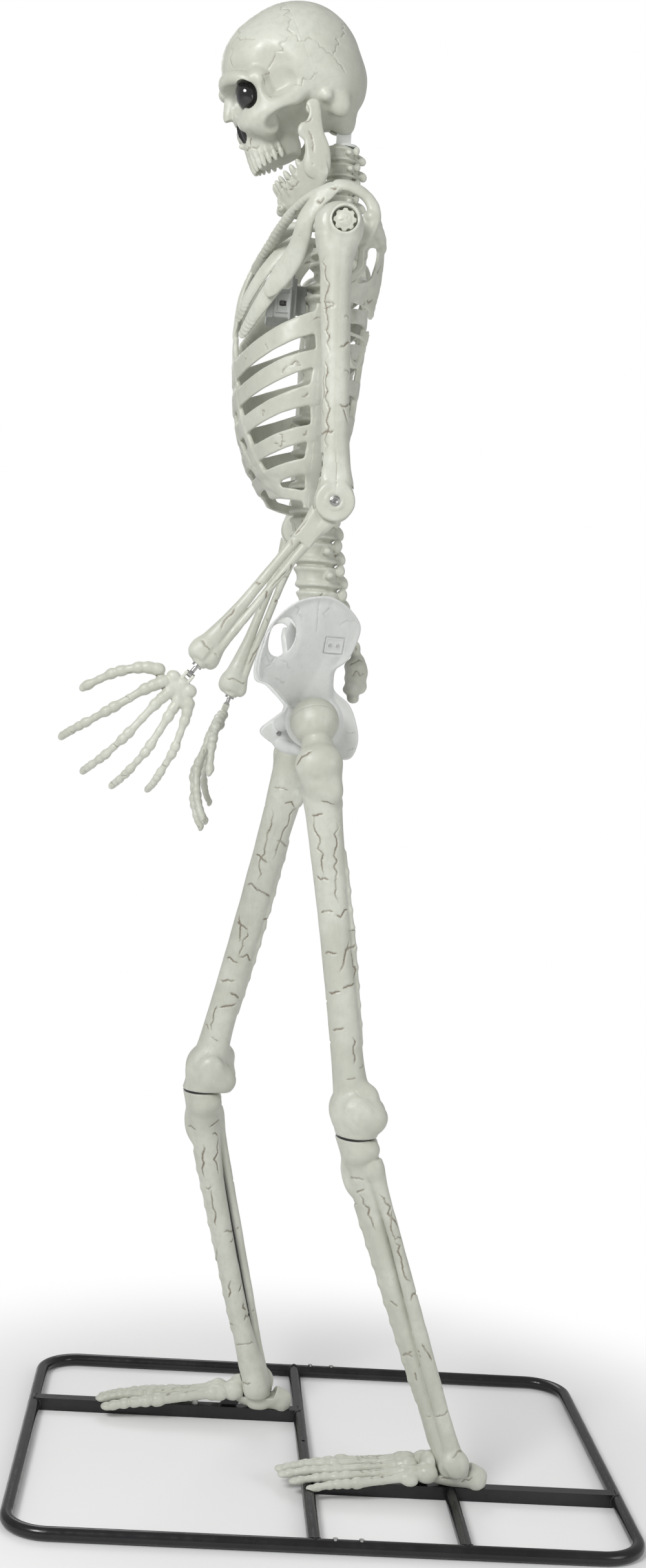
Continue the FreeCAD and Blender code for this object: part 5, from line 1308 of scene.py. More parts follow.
def make_spine():
    make_stack("lumbar_vertebrae", "lumbar_spine", SACRUM_TOP, LUMBAR_TOP, 5, 62, 55, 20, 12, 2.4, 540)
    make_stack("chest_vertebrae", "thoracic_spine", LUMBAR_TOP, THORAX_TOP, 8, 60, 44, 8, 14, 3.0, 560, 0.1)
    make_stack("neck_vertebrae", "neck_spine", THORAX_TOP, NECK_TOP, 5, 43, 37, 15, 18, 2.0, 580, -0.1)


# ---- rib cage
CAGE = [
    # height, half width, front and back of the cage
    (2395, 214, -296, -130), (2440, 226, -322, -120), (2480, 246, -347, -106), (2600, 262, -382, -88),
    (2700, 268, -393, -78), (2800, 264, -400, -72), (2900, 246, -388, -72), (3000, 196, -352, -84),
    (3060, 140, -312, -100), (3095, 100, -286, -112),
]
CAGE_ROWS = curve_through(CAGE, 8)
CAGE_WALL = 12.0
WALL_EDGE = 5.0
CAGE_SPLIT = -185.0      # where the front and rear mouldings meet
RIM_Z = 2404.0
RIBS = [
    # height at the side strut, rib height there, at the front and at the back, and the fall to the front
    (2481, 38, 38, 30, 0.30), (2558, 38, 44, 32, 0.34), (2648, 52, 46, 36, 0.36), (2733, 40, 50, 36, 0.38),
    (2820, 56, 54, 40, 0.42),
]
BACK_RIBS = [2481, 2566, 2651, 2736, 2821, 2906, 2985]
PECTORALS = [
    # broad upper straps, from the shoulder down to the breastbone: (x share, y, z, radius)
    ([(1.26, -242, 2982), (1.10, -276, 2944), (1.02, -312, 2896), (0.98, -346, 2844), (0.94, -376, 2796)],
     [20, 23, 23, 20, 14]),
    ([(0.92, -262, 3030), (0.92, -296, 2996), (0.92, -334, 2946), (0.90, -366, 2892), (0.86, -388, 2840)],
     [14, 15, 15, 14, 11]),
]


def cage_at(z):
    """Half width, middle and fore-and-aft radius of the cage at a height."""
    half, front, back = (np.interp(z, CAGE_ROWS[:, 0], CAGE_ROWS[:, i]) for i in (1, 2, 3))
    return half, (front + back) / 2, (back - front) / 2


def cage_side(y, z, least=0.02):
    """How far out the cage's surface stands at a place."""
    half, middle, deep = (float(value) for value in cage_at(z))
    return half * sqrt(max(1 - ((y - middle) / deep) ** 2, least))


def cage_shell(x, y, z):
    """Signed distance from the cage's outer surface."""
    half, middle, deep = cage_at(z[0, 0, :])
    k = np.sqrt((x / half) ** 2 + ((y - middle) / deep) ** 2)
    rise = np.sqrt((x / half ** 2) ** 2 + ((y - middle) / deep ** 2) ** 2) / np.maximum(k, 1e-3)
    return (k - 1) / np.maximum(rise, 1e-5)


def add_wall(clay, across, soft, wall=CAGE_WALL):
    """Adds the part of the cage wall where across (a function of x, y, z) is below zero."""
    x, y, z = clay.everywhere()
    skin = np.abs(cage_shell(x, y, z) + wall / 2) - wall / 2
    clay.grid = soft_min(clay.grid, -soft_min(-skin, -across(x, y, z), WALL_EDGE), soft)


def rib_band(y, z, rib):
    """Distance above or below the middle of one sloping rib."""
    height, at_strut, at_front, at_back, fall = rib
    ahead = np.clip((CAGE_SPLIT - y) / 200.0, 0, 1)
    behind = np.clip((y - CAGE_SPLIT) / 110.0, 0, 1)
    tall = at_strut + (at_front - at_strut) * np.minimum(ahead * 2.2, 1) + (at_back - at_strut) * behind
    middle = height + fall * (y - CAGE_SPLIT) * np.where(y < CAGE_SPLIT, 0.75 + 0.5 * ahead, 1.15)
    return (np.abs(z - middle) - tall / 2) * 0.92


def breastbone(x, z):
    """Breastbone, with the two arches that run down and out to the side struts."""
    middle = np.abs(x) - (21.0 + 6.0 * np.cos((z - 2700.0) / 46.0))
    middle = np.maximum(middle, 2520.0 - z)
    side = np.abs(x)
    arch_z = np.interp(side, [0, 20, 60, 110, 150, 190, 215], [2560, 2548, 2512, 2474, 2448, 2424, 2410])
    arch = (np.abs(z - arch_z) - 17.0) * 0.75
    branch_x = np.interp(z, [2430, 2456, 2490, 2518, 2555, 2598, 2660, 2720, 2800], [176, 158, 142, 130,
        112, 92, 70, 50, 26])
    branch = (np.abs(side - branch_x) - 16.0) * 0.9
    branch = np.maximum(branch, np.maximum(2440 - z, z - 2800))
    return np.minimum(np.minimum(middle, arch), branch)


def make_cage():
    for half, low_y, high_y, shapes, seed in (("front", -408, CAGE_SPLIT + 6, front_shapes, 620),
                                              ("back", CAGE_SPLIT - 6, -62, back_shapes, 660)):
        clay = Clay((-274, low_y, 2384), (274, high_y, 3100), 3.0)
        shapes(clay)
        node = "rib_cage_" + half
        make_piece(node + "_ribs", FIXED, clay, [node], cracks=cage_cracks(half, seed), lump=(70, 0.5),
                   seed=seed, hollow_shade=0.9)
    y = CAGE_SPLIT + 19
    spots = [((way * (cage_side(y, z) - 7), y, z), (0, 1, 0), 5.0, 20.0)
             for way in (1, -1) for z in (2524, 2691, 2858)]
    make_screws("cage_fixings", "rib_cage_screws", spots, 0.7)


def front_shapes(clay):
    """Front ribs, breastbone, struts, rim and the broad upper straps."""
    for rib in RIBS:
        add_wall(clay, lambda x, y, z: np.maximum(rib_band(y, z, rib), y - CAGE_SPLIT), 7.0)
    add_wall(clay, lambda x, y, z: np.maximum(breastbone(x, z), y + 262.0), 9.0, 13.0)
    # the side strut and the lower rim
    add_wall(clay, lambda x, y, z: np.maximum(np.maximum(
        CAGE_SPLIT - 22.0 - 4.0 * np.sin(z / 26.0) - y, z - 2858.0), 150.0 - np.abs(x)), 6.0, 15.0)
    add_wall(clay, lambda x, y, z: np.maximum(
        np.abs(z - RIM_Z - 0.12 * (CAGE_SPLIT - y)) - 13.0, 120.0 - np.abs(x)), 10.0, 13.0)
    for way in (1, -1):
        for points, radii in PECTORALS:
            line = [(way * (cage_side(y, z) * share - 5), y, z) for share, y, z in points]
            clay.add(*strap(line, radii, 6, flat=((way * 0.84, -0.50, 0.20), 0.27)), soft=5)
    clay.add(*strap([(0, -292, 3064), (0, -344, 3000), (0, -380, 2915), (0, -392, 2830)], [22, 28, 28,
        24], 5,
                    flat=((0, 0.95, -0.2), 0.32)), soft=8)
    for way in (1, -1):
        clay.add(*strap([(way * 14, -296, 3074), (way * 60, -270, 3074), (way * 84, -220, 3072),
            (way * 88, -176, 3076)],
                        [20, 16, 15, 15], 5, flat=((0, -0.3, 1), 0.6)), soft=8)
    clay.cut(half_space((0, CAGE_SPLIT, 0), (0, 1, 0)), soft=1.0)


def back_shapes(clay):
    """Rear ribs, struts, ridge and rim."""
    for height in BACK_RIBS:
        add_wall(clay, lambda x, y, z: rib_band(y, z, (height, 38, 32, 34, 0.36)), 7.0)
    # the side strut, the ridge over the spine and the lower rim
    add_wall(clay, lambda x, y, z: np.maximum(np.maximum(
        y - (CAGE_SPLIT + 17.0 + 3.0 * np.sin(z / 21.0)), z - 2990.0), 150.0 - np.abs(x)), 6.0, 15.0)
    add_wall(clay, lambda x, y, z: np.abs(x) - 20.0 - 5.0 * np.cos(z / 13.5), 6.0, 16.0)
    add_wall(clay, lambda x, y, z: np.maximum(np.abs(z - RIM_Z) - 13.0, 120.0 - np.abs(x)), 10.0, 13.0)
    for way in (1, -1):
        clay.add(*strap([(way * 88, -180, 3076), (way * 70, -130, 3078), (way * 30, -108, 3080), (0, -106,
            3080)],
                        [15, 15, 16, 17], 5, flat=((0, -0.3, 1), 0.6)), soft=8)
    clay.cut(half_space((0, CAGE_SPLIT, 0), (0, -1, 0)), soft=1.0)
    clay.cut(drum((0, SPINE_Y, 2380), (0, SPINE_Y, 3110), 22, 1))


def cage_cracks(half, seed):
    rng = np.random.default_rng(seed)
    cracks = []
    for rib in RIBS:
        for way in (1, -1):
            for _ in range(4):
                ahead = rng.uniform(20, 190) if half == "front" else -rng.uniform(20, 90)
                y = CAGE_SPLIT - ahead
                z = rib[0] - rib[4] * ahead + rng.uniform(-8, 8)
                start = np.array((way * cage_side(y, z), y, z))
                end = start + np.array((0, rng.uniform(-30, 30), rng.uniform(-20, 20)))
                cracks.append((wander(start, end, 4, seed, 8), 0.75))
                seed += 1
    return cracks


# ---- steel stand
STEEL = [
    "base_front_tube", "base_rear_tube", "tube_sleeves", "mid_cross_tube", "front_foot_bar",
        "rear_foot_bar",
    "rear_brace_tube", "hip_crossbar", "spine_post", "shoulder_bar", "left_lower_post",
    "right_lower_post", "left_upper_post", "right_upper_post", "left_knee_coupler", "right_knee_coupler",
]
ZINC = ["frame_bolts", "nod_pin", "left_wrist_stud", "right_wrist_stud"]


def weld(spot, way, square):
    """Bead round the mouth of a bar that arrives along way at a round tube through spot."""
    radius = spot[2]
    way = unit(way)
    across = np.cross(way, (0.0, 0.0, 1.0))
    line = []
    for turn in np.linspace(-0.28 * pi, 1.28 * pi, 30):
        u, w = cos(turn), sin(turn)
        if square:
            u, w = u / max(abs(u), abs(w)), w / max(abs(u), abs(w))
        back = radius * sqrt(max(1 - w * w, 0))
        line.append(np.array(spot) - way * back + across * u * radius + (0, 0, w * radius))
    clay = Clay(np.min(line, 0) - 5, np.max(line, 0) + 5, 1.3)
    radii = [2.3 + 0.9 * (index % 2) for index in range(len(line))]
    clay.add(*strap(line, radii, 2), soft=1.5)
    return clay.keep(half_space((0, 0, 0.4), (0, 0, 1))).skin()


def make_stand():
    dress(STEEL, "steel")
    dress(ZINC, "zinc")
    dress(["foot_pegs", "neck_swivel"], "hip")
    mid_low, mid_high = corners("mid_cross_tube")
    radius = (mid_high[2] - mid_low[2]) / 2
    mid_y = float(mid_low[1] + mid_high[1]) / 2
    front_y = float(corners("base_front_tube")[0][1]) + radius
    rear_y = float(corners("base_rear_tube")[1][1]) - radius
    side_x = float(corners("base_rear_tube")[1][0]) - radius
    bar_x = {node: float(sum(corners(node))[0]) / 2 for node in ("front_foot_bar", "rear_foot_bar")}
    brace_y = float(sum(corners("rear_brace_tube"))[1]) / 2
    skins = [
        weld((bar_x["front_foot_bar"], front_y, radius), (0, -1, 0), True),
        weld((bar_x["front_foot_bar"], mid_y, radius), (0, 1, 0), True),
        weld((bar_x["rear_foot_bar"], mid_y, radius), (0, -1, 0), True),
        weld((bar_x["rear_foot_bar"], rear_y, radius), (0, 1, 0), True),
        weld((side_x, mid_y, radius), (1, 0, 0), False),
        weld((-side_x, mid_y, radius), (-1, 0, 0), False),
        weld((side_x, brace_y, radius), (1, 0, 0), False),
    ]
    settle("weld_beads", mesh_from("weld_beads", *join_skins(skins)), FIXED, [], "steel")


# ---- shoulder blades and collar bones
BLADE = [(203, 26), (258, 66), (322, 58), (350, 22), (350, -40), (334, -112), (300, -200), (272, -272),
    (250, -296),
         (222, -266), (196, -150), (186, -40)]
WINDOWS = [
    [(220, -12), (304, -30), (300, -98), (250, -84)],
    [(208, -152), (296, -150), (290, -202), (216, -210)],
    [(218, -226), (278, -226), (262, -264), (238, -276)],
]
BLADE_STRAP = [(344, -112, -24), (345, -92, 38), (340, -108, 80), (338, -146, 104), (338, -184, 108)]
COLLAR = [(30, -352, -40), (100, -336, -14), (190, -308, 24), (262, -276, 58), (318, -232, 86), (338,
    -172, 105)]
FRONT_STRAP = [(337, -196, 96), (336, -226, 66), (326, -248, 30), (306, -256, -8), (280, -268, -46), (254,
    -292, -86),
               (232, -320, -124)]


BLADE_CRACKS = [
    ((300, 10), (322, -50)), ((322, -50), (330, -90)), ((310, -96), (300, -150)), ((206, -120), (240, -140)),
    ((236, 50), (262, 20)), ((286, -210), (264, -226)), ((200, -40), (222, -60)), ((262, 60), (280, 30)),
]


def blade_y(x, z):
    """Fore-and-aft place of the blade's sheet: it leans forward going out, and more so low down."""
    low = np.clip((-70.0 - z) / 70.0, 0.0, 1.0)
    lean = 0.36 + 0.42 * low * low * (3.0 - 2.0 * low)
    return -60.0 - (x - 185.0) * lean + 4.0 * np.cos((z - 60.0) / 85.0)


def make_shoulder(name):
    z0 = pivot(name + "_shoulder_swing")[2]
    y0 = pivot(name + "_shoulder_swing")[1]
    place = place_at((0, 0, z0), SIDES[name])
    clay = Clay((176, -200, -310), (362, -40, 130), 2.5)
    clay.add(plate(BLADE, blade_y, 8, 1, 5, rim=9, rim_width=9, slope=0.94))
    clay.add(*strap([(205, -58, -6), (262, -72, 14), (318, -90, 28), (346, -98, 40)], [7, 12, 12, 13]),
        soft=10)
    for window in WINDOWS:
        clay.cut(plate(window, blade_y, 70, 1, 2, 5), soft=4)
    clay.add(limb((348, y0, 0), (346, -112, -6), 30, 20), soft=10)
    clay.add(drum((337, y0, 0), (360, y0, 0), 34, 5), soft=6)
    clay.add(*strap(BLADE_STRAP, [15, 13, 12, 13, 13], 6, flat=((0.75, -0.2, 0.6), 0.6)), soft=6)
    clay.add(limb((224, -86, -95), (224, -142, -90), 12, 14), soft=8)
    clay.keep(half_space((360, 0, 0), (-1, 0, 0)), soft=3)
    seed = 700 if name == "left" else 720
    cracks = []
    for a, b in BLADE_CRACKS:
        seed += 1
        for drop in (6, -6):
            cracks.append((wander((a[0], float(blade_y(*a)) + drop, a[1]), (b[0],
                float(blade_y(*b)) + drop, b[1]),
                                  5, seed, 9), 0.9))
    make_piece(name + "_blade_bone", FIXED, clay, [name + "_shoulder_blade"], place=place,
               cracks=cracks, lump=(60, 0.8), seed=seed)
    clay = Clay((20, -384, -150), (360, -150, 130), 2.4)
    clay.add(*strap(COLLAR, [17, 13, 12, 12, 13, 14], 6, flat=((0.5, 0.3, 0.8), 0.66)), soft=5)
    clay.add(*strap(FRONT_STRAP, [14, 14, 16, 19, 22, 22, 16], 6, flat=((0.90, -0.42, 0.1), 0.32)), soft=9)
    cracks = [(wander(COLLAR[i], np.array(COLLAR[i]) + (rise, 14, 10 - rise), 5, seed + i, 8), 0.9)
              for i, rise in ((1, 24), (2, -22), (3, 20), (4, -16))]
    cracks += [(wander(FRONT_STRAP[i], np.array(FRONT_STRAP[i]) + (6, 16, 8), 4, seed + 9 + i, 8),
        0.9) for i in (0, 1, 3)]
    make_piece(name + "_collar_bones", FIXED, clay, [name + "_collar_bone"], place=place,
               cracks=cracks, lump=(60, 0.8), seed=seed)


# ---- control box
def make_chest_box():
    low, high = corners("control_box")
    slide_low, slide_high = corners("power_switch")
    slide = (slide_low + slide_high) / 2
    wide, front = float(high[0]), float(low[1])
    middle = float(slide[2])
    clay = Clay((-wide - 6, front - 3, low[2] - 2), (wide + 6, high[1], high[2] + 2), 1.7)
    clay.add(brick((0, front + 31, middle), (wide - 2, 29, 36), 5))
    clay.add(brick((0, front + 9, middle), (wide, 9, 37.5), 4))
    clay.add(brick((0, front + 56, middle), (wide + 3, 3, 40), 2))
    for index in range(6):
        clay.cut(brick((-30 + 12 * index, front, middle - 8), (2.6, 4, 13), 1.5))
    for x in (-1, 1):
        for z in (-1, 1):
            clay.add(drum((x * 50, front - 2.5, middle + z * 27), (x * 50, front + 4, middle + z * 27), 6,
                1))
            clay.cut(drum((x * 50, front - 6, middle + z * 27), (x * 50, front + 1, middle + z * 27), 3,
                0.5))
        clay.add(brick((x * (wide - 1), slide[1] + 2, middle), (3, 19, 24), 2))
        clay.cut(brick((x * (wide + 2.5), slide[1] + 2, middle), (2, 14, 19), 1))
    clay.cut(brick((wide, slide[1] + 2, middle), (10.5, 7.8, 5.8), 0.4))
    plate_z = (low[2] + high[2]) / 2
    clay.add(brick((0, front + 62, plate_z), (46, 2.4, (high[2] - low[2]) / 2), 1.5))
    clay.add(brick((0, front + 112, middle + 20), (16, 54, 34), 3))
    for x in (-1, 1):
        clay.cut(drum((x * 37, front + 52, high[2] - 12), (x * 37, front + 72, high[2] - 12), 3.2, 0.3))
        clay.add(brick((x * 44, front + 66, plate_z), (2, 6, 50), 1.5), soft=3)
    clay.keep(half_space((0, high[1] - 1, 0), (0, -1, 0)))
    make_piece("chest_box", FIXED, clay, ["control_box"], "box", lump=(60, 0.15), seed=5)
    clay = Clay(slide_low - 2, slide_high + 2, 0.5)
    clay.add(brick(slide, (slide_high - slide_low) / 2, 1.0))
    for step in (-2.6, 0, 2.6):
        clay.cut(limb((slide_high[0] + 0.3, slide[1] + step, slide_low[2]),
                      (slide_high[0] + 0.3, slide[1] + step, slide_high[2]), 0.7))
    make_piece("chest_switch", "switch", clay, ["power_switch"], "switch", lump=(20, 0.05), seed=6)


# ---- upper arms
UPPER = [
    # distance below the shoulder, side radius, aft radius, outward shift, aft shift
    (30, 46, 50, 0, -10), (62, 43, 44, 0, -13), (92, 38, 38, 0, -14), (150, 33, 34, 0, -12),
    (300, 30, 33, 0, -8), (450, 29, 32, 0, -4), (540, 30, 35, 0, -1), (590, 32, 43, 0, 0),
    (640, 32, 44, 0, 0),
]
ELBOW = {"cheek": 33.0, "gap": 14.3, "rim": 46.0, "clear": 53.0}


def make_upper_arm(name):
    shoulder, elbow = pivot(name + "_shoulder_swing"), pivot(name + "_elbow")
    out = np.array((SIDES[name], 0, 0))
    shoulder[0] = elbow[0]
    place = place_along(shoulder, elbow, out)
    length = float(np.linalg.norm(elbow - shoulder))
    clay = Clay((-58, -84, -64), (58, 62, length + 52), 2.4)
    clay.add(shaft(UPPER))
    clay.lump((-4, -11, 2), (50, 56, 53), 12)
    clay.lump((22, 0, 12), (32, 45, 56), 6)
    clay.lump((-22, -28, 34), (26, 34, 52), 10)
    clay.cut(limb((44, -44, -6), (48, -42, 56), 9, 7), soft=12)
    clay.dent((52, 34, 92), (12, 18, 40), 16)
    clay.add(*strap([(4, -40, 120), (6, -36, 190), (4, -30, 280)], [4, 7, 3]), soft=12)
    clay.add(drum((-ELBOW["cheek"], 0, length), (ELBOW["cheek"], 0, length), ELBOW["rim"], 7), soft=10)
    clay.dent((38, -6, length - 62), (12, 26, 20), 12)
    clay.add(drum((ELBOW["cheek"] - 4, 0, length), (ELBOW["cheek"] + 2.4, 0, length), 23, 2), soft=2)
    clay.cut(drum((-ELBOW["gap"], 0, length), (ELBOW["gap"], 0, length), ELBOW["clear"], 0.5))
    clay.cut(brick((0, -33, length - 50), (ELBOW["gap"], 45, 60), 0.5))
    clay.cut(drum((ELBOW["cheek"] + 0.4, 0, length), (60, 0, length), 15, 0.5), soft=0.5)
    # the round pocket of the star knob
    axis = to_local(place, pivot(name + "_shoulder_swing") * (0, 1, 1) + shoulder * (1, 0, 0))
    clay.add(drum(axis + (28, 0, 0), axis + (52.5, 0, 0), 36, 6), soft=7)
    clay.cut(drum(axis + (30.5, 0, 0), axis + (80, 0, 0), 29, 0.8), soft=0.8)
    inner = float(corners(name + "_shoulder_blade")[1][0]
        if name == "left" else -corners(name + "_shoulder_blade")[0][0])
    clay.keep(half_space(to_local(place, out * (inner + 1.0) + (0, shoulder[1], shoulder[2])), (1, 0, 0)),
        soft=3)
    seed = 740 if name == "left" else 780
    rings = [
        (176, -60, -22, 10, 3, 2, 0.8), (196, -66, -20, -8, 3, 4, 0.8), (212, 20, 60, 3, 2, 8, 0.7),
        (330, 30, 80, 8, 3, 9, 0.7)
    ]
    runs = [
        (78, 300, -60, -46, 9, 0, 0.9), (300, 520, -46, -50, 9, 1, 0.9),
        (330, 440, -70, -74, 8, 6, 0.8), (420, 455, 36, 60, 6, 10, 0.8)
    ]
    cracks = along_bone(rings, runs, 1, 0, seed)
    cracks += [
        seam_line(70, length - 60, -6, 0.20), seam_line(-60, -33, 0, 0.5),
        seam_line(length - 120, length - 24, 0, 0.6),
    ]
    cracks += scattered(100, length - 70, 7, seed + 20)
    make_piece(name + "_upper_arm_bone", name + "_arm", clay, [name + "_upper_arm"], place=place,
               cracks=cracks, lump=(90, 0.6), seed=seed)


# ---- star knobs and elbow bolts
def make_fastenings(name):
    """The star knob and the elbow bolt of one arm."""
    low, high = corners(name + "_shoulder_knob")
    centre, half = (low + high) / 2, float(high[0] - low[0]) / 2
    side = SIDES[name]
    clay = Clay(low - 3, high + 5, 1.0)
    face = centre + (side * half, 0, 0)
    clay.add(drum(centre - (half, 0, 0), centre + (half, 0, 0), 26.6, 1.6))
    for lobe in range(8):
        turn = 2 * pi * (lobe + 0.5) / 8
        spot = centre + (0, 27.5 * cos(turn), 27.5 * sin(turn))
        clay.cut(drum(spot - (half + 3, 0, 0), spot + (half + 3, 0, 0), 5.6, 0.5), soft=2)
    clay.lump(face, (3.6, 15, 15), 2)
    clay.cut(drum(centre - (side * (half + 4), 0, 0), centre - (side * (half - 10), 0, 0), 12.2, 0.3))
    make_piece(name + "_star_knob", name + "_knob", clay, [name + "_shoulder_knob"],
               lump=(20, 0.1), seed=8, cracks=[(wander(face - (0, 12, 6), face + (0, 10, 8), 3, 12, 5),
                   0.6)])
    low, high = corners(name + "_elbow_bolt")
    centre = (low + high) / 2
    head = float(high[0] if side > 0 else low[0])
    tail = float(low[0] if side > 0 else high[0])
    spot = np.array((head, centre[1], centre[2]))
    nut = np.array((tail, centre[1], centre[2]))
    out = np.array((side, 0.0, 0.0))
    clay = Clay(low - 3, high + 3, 0.9)
    clay.add(drum(nut, spot - out * 2, 5.9, 0.3))
    clay.add(drum(spot - out * 4.9, spot - out * 3.2, 12.4, 0.6))
    clay.add(drum(spot - out * 5, spot, 9.6, 2.4))
    clay.cut(drum(spot - out * 2.6, spot + out * 2, 5.2, 0.6))
    for turn in (0, 60, 120):
        clay.add(brick(nut + out * 3, (2.8, 8.6, 4.95), 0.6, tilt_x(turn)))
    make_piece(name + "_elbow_screw", name + "_arm", clay, [name + "_elbow_bolt"], "zinc",
               lump=(20, 0.03), seed=9)


# ---- forearms
RADIUS_BONE = [(18, 15, 22, 0, -18), (52, 14, 18, 0, -15), (100, 12, 12.5, 0, -12.5), (190, 11.5, 11.5, 1,
    -12),
               (300, 12.5, 13, 1, -11), (380, 16, 19, 0, -11), (440, 20, 26, 0, -12), (470, 22, 28, 0, -10)]
ULNA = [(14, 16, 26, 0, 14), (50, 15, 20, 0, 14), (100, 12, 12.5, 0, 13), (190, 10.5, 9.5, -1, 13),
        (300, 10, 9.5, -1, 14), (400, 10.5, 11, 0, 14), (452, 13, 15, 0, 14), (470, 13, 15, 0, 14)]


def make_forearm(name):
    elbow, wrist = pivot(name + "_elbow"), pivot(name + "_wrist_bend")
    elbow[0] = wrist[0]
    place = place_along(elbow, wrist, (SIDES[name], 0, 0))
    length = float(np.linalg.norm(wrist - elbow))
    end = length - 26.0
    clay = Clay((-34, -52, -44), (34, 52, end + 3), 1.9)
    clay.add(shaft(RADIUS_BONE, (30, end - 18), 8))
    clay.add(shaft(ULNA, (20, end - 22), 8), soft=3)
    clay.lump((0, -6, end - 34), (25, 36, 32), 12)
    clay.lump((4, -24, end - 22), (16, 15, 18), 8)
    clay.lump((-2, 22, end - 24), (13, 13, 17), 8)
    clay.cut(limb((24, 6, end - 70), (26, 10, end - 12), 5), soft=8)
    clay.add(drum((0, 0, end - 12), (0, 0, end), 17, 4), soft=5)
    clay.cut(drum((-80, 0, 0), (80, 0, 0), 49.5, 1), soft=2)
    clay.add(drum((-13.3, 0, 0), (13.3, 0, 0), 39, 3))
    clay.add(brick((0, 0, 66), (12.8, 24, 54), 4), soft=1.5)
    clay.cut(drum((0, 0, end - 44), (0, 0, end + 4), 8.3, 0.3))
    seed = 820 if name == "left" else 860
    middle = 0 if name == "left" else 180
    rings = [(end - 52, -60, 50, 6, 3, 0, 0.8), (128, -60, 0, 8, 3, 2, 0.8), (262, -60, 4, -8, 3, 4, 0.8)]
    runs = [(70, 118, -50, -30, 8, 1, 0.9), (190, 245, 50, 30, 9, 3, 0.8), (330, 390, -46, -30, 8, 5, 0.9)]
    cracks = along_bone(rings, runs, 1, middle, seed)
    cracks += [seam_line(60, end - 60, middle - 70, 0.2)]
    cracks += scattered(70, end - 40, 5, seed + 20)
    make_piece(name + "_forearm_bones", name + "_forearm", clay, [name + "_forearm"], place=place,
               cracks=cracks, lump=(70, 0.5), seed=seed)


# ---- hands
RAYS = [
    # thumb, then index to little: (length, degrees toward the thumb, degrees toward the palm)
    ((76, 62, -4), (66, 40, 6), (86, 25, 16)),
    ((74, 33, -6), (106, 20, -2), (78, 22, 20), (44, 22, 32), (24, 18, 44)),
    ((76, 12, -6), (112, 3, -2), (78, 8, 22), (46, 16, 34), (26, 14, 48)),
    ((78, -8, -4), (100, -8, 0), (78, 2, 24), (40, 8, 36), (26, 12, 50)),
    ((70, -27, -2), (84, -20, 2), (72, -8, 22), (30, -6, 34), (24, 4, 46)),
]
CARPUS = [
    # (toward the thumb, toward the palm, down), radii
    ((24, 0, 30), (18, 15, 15)), ((0, 1, 28), (16, 15, 14)), ((-24, 0, 32), (17, 14, 16)),
    ((38, 2, 56), (17, 15, 16)), ((15, 0, 57), (15, 14, 16)), ((-8, 0, 59), (15, 14, 16)),
    ((-32, 0, 60), (17, 14, 16)), ((2, -3, 45), (36, 10, 20)),
]


def make_hand(name):
    elbow, wrist = pivot(name + "_elbow"), pivot(name + "_wrist_bend")
    elbow[0] = wrist[0]
    down = unit(wrist - elbow)
    front = unit(np.cross((1, 0, 0), down))
    front = front if front[1] < 0 else -front
    thumb, palm = (front, np.array((-1.0, 0, 0))) if name == "left" else (np.array((1.0, 0, 0)), -front)
    place = np.eye(4)
    place[:3, 0], place[:3, 1], place[:3, 2], place[:3, 3] = thumb, palm, down, wrist
    rays, knots = [], []
    for index, ray in enumerate(RAYS):
        point = np.array((24.0 - 12 * index, 0.0, 20.0))
        line = [point]
        for size, spread, curl in ray:
            a, c = radians(spread), radians(curl)
            point = point + size * np.array((sin(a) * cos(c), sin(c), cos(a) * cos(c)))
            line.append(point)
        line[0] = line[0] + (line[1] - line[0]) * 0.45
        rays.append(line)
        knots += line
    clay = Clay(np.min(knots, 0) - 34, np.max(knots, 0) + 12, 1.9)
    for centre, radii in CARPUS:
        clay.lump(centre, radii, 4)
    for index, line in enumerate(rays):
        big = 15.0 - 0.6 * index
        count = len(line) - 1
        knobs = [big * (1.04 - 0.10 * step) for step in range(count)]
        clay.add(*finger(line, [knob * 0.66 for knob in knobs], knobs), soft=5)
        clay.lump(line[-1], (big * 0.62, big * 0.5, big * 0.8), 3)
    clay.cut(drum((-40, 0, 0), (40, 0, 0), 10.8, 0.5))
    for way in (1, -1):
        clay.add(drum((way * 5.4, 0, 0), (way * 12, 0, 0), 8.8, 1), brick((way * 8.8, 0, 14), (3.4, 8.6,
            15), 1.5), soft=1)
    seed = 900 if name == "left" else 940
    rng = np.random.default_rng(seed)
    cracks = []
    for line in rays:
        for a, b in zip(line, line[1:]):
            spot = a + (b - a) * rng.uniform(0.3, 0.7) + rng.normal(size=3) * 3
            cracks.append((wander(spot - (7, 3, 2), spot + (7, 3, 4), 1.5, seed, 5), 0.7))
            seed += 1
    make_piece(name + "_hand_bones", name + "_hand", clay, [name + "_hand"], place=place,
               cracks=cracks, lump=(60, 0.4), seed=seed)


# ---- skull
SKULL_TILT = 24.0
MAXILLA = [
    # height, side radius, fore-and-aft radius, 0, forward place (negative is forward)
    (-203, 42, 52, 0, -104), (-192, 48, 60, 0, -106), (-168, 57, 68, 0, -108), (-135, 60, 64, 0, -114),
    (-105, 66, 68, 0, -108), (-70, 76, 76, 0, -96),
]


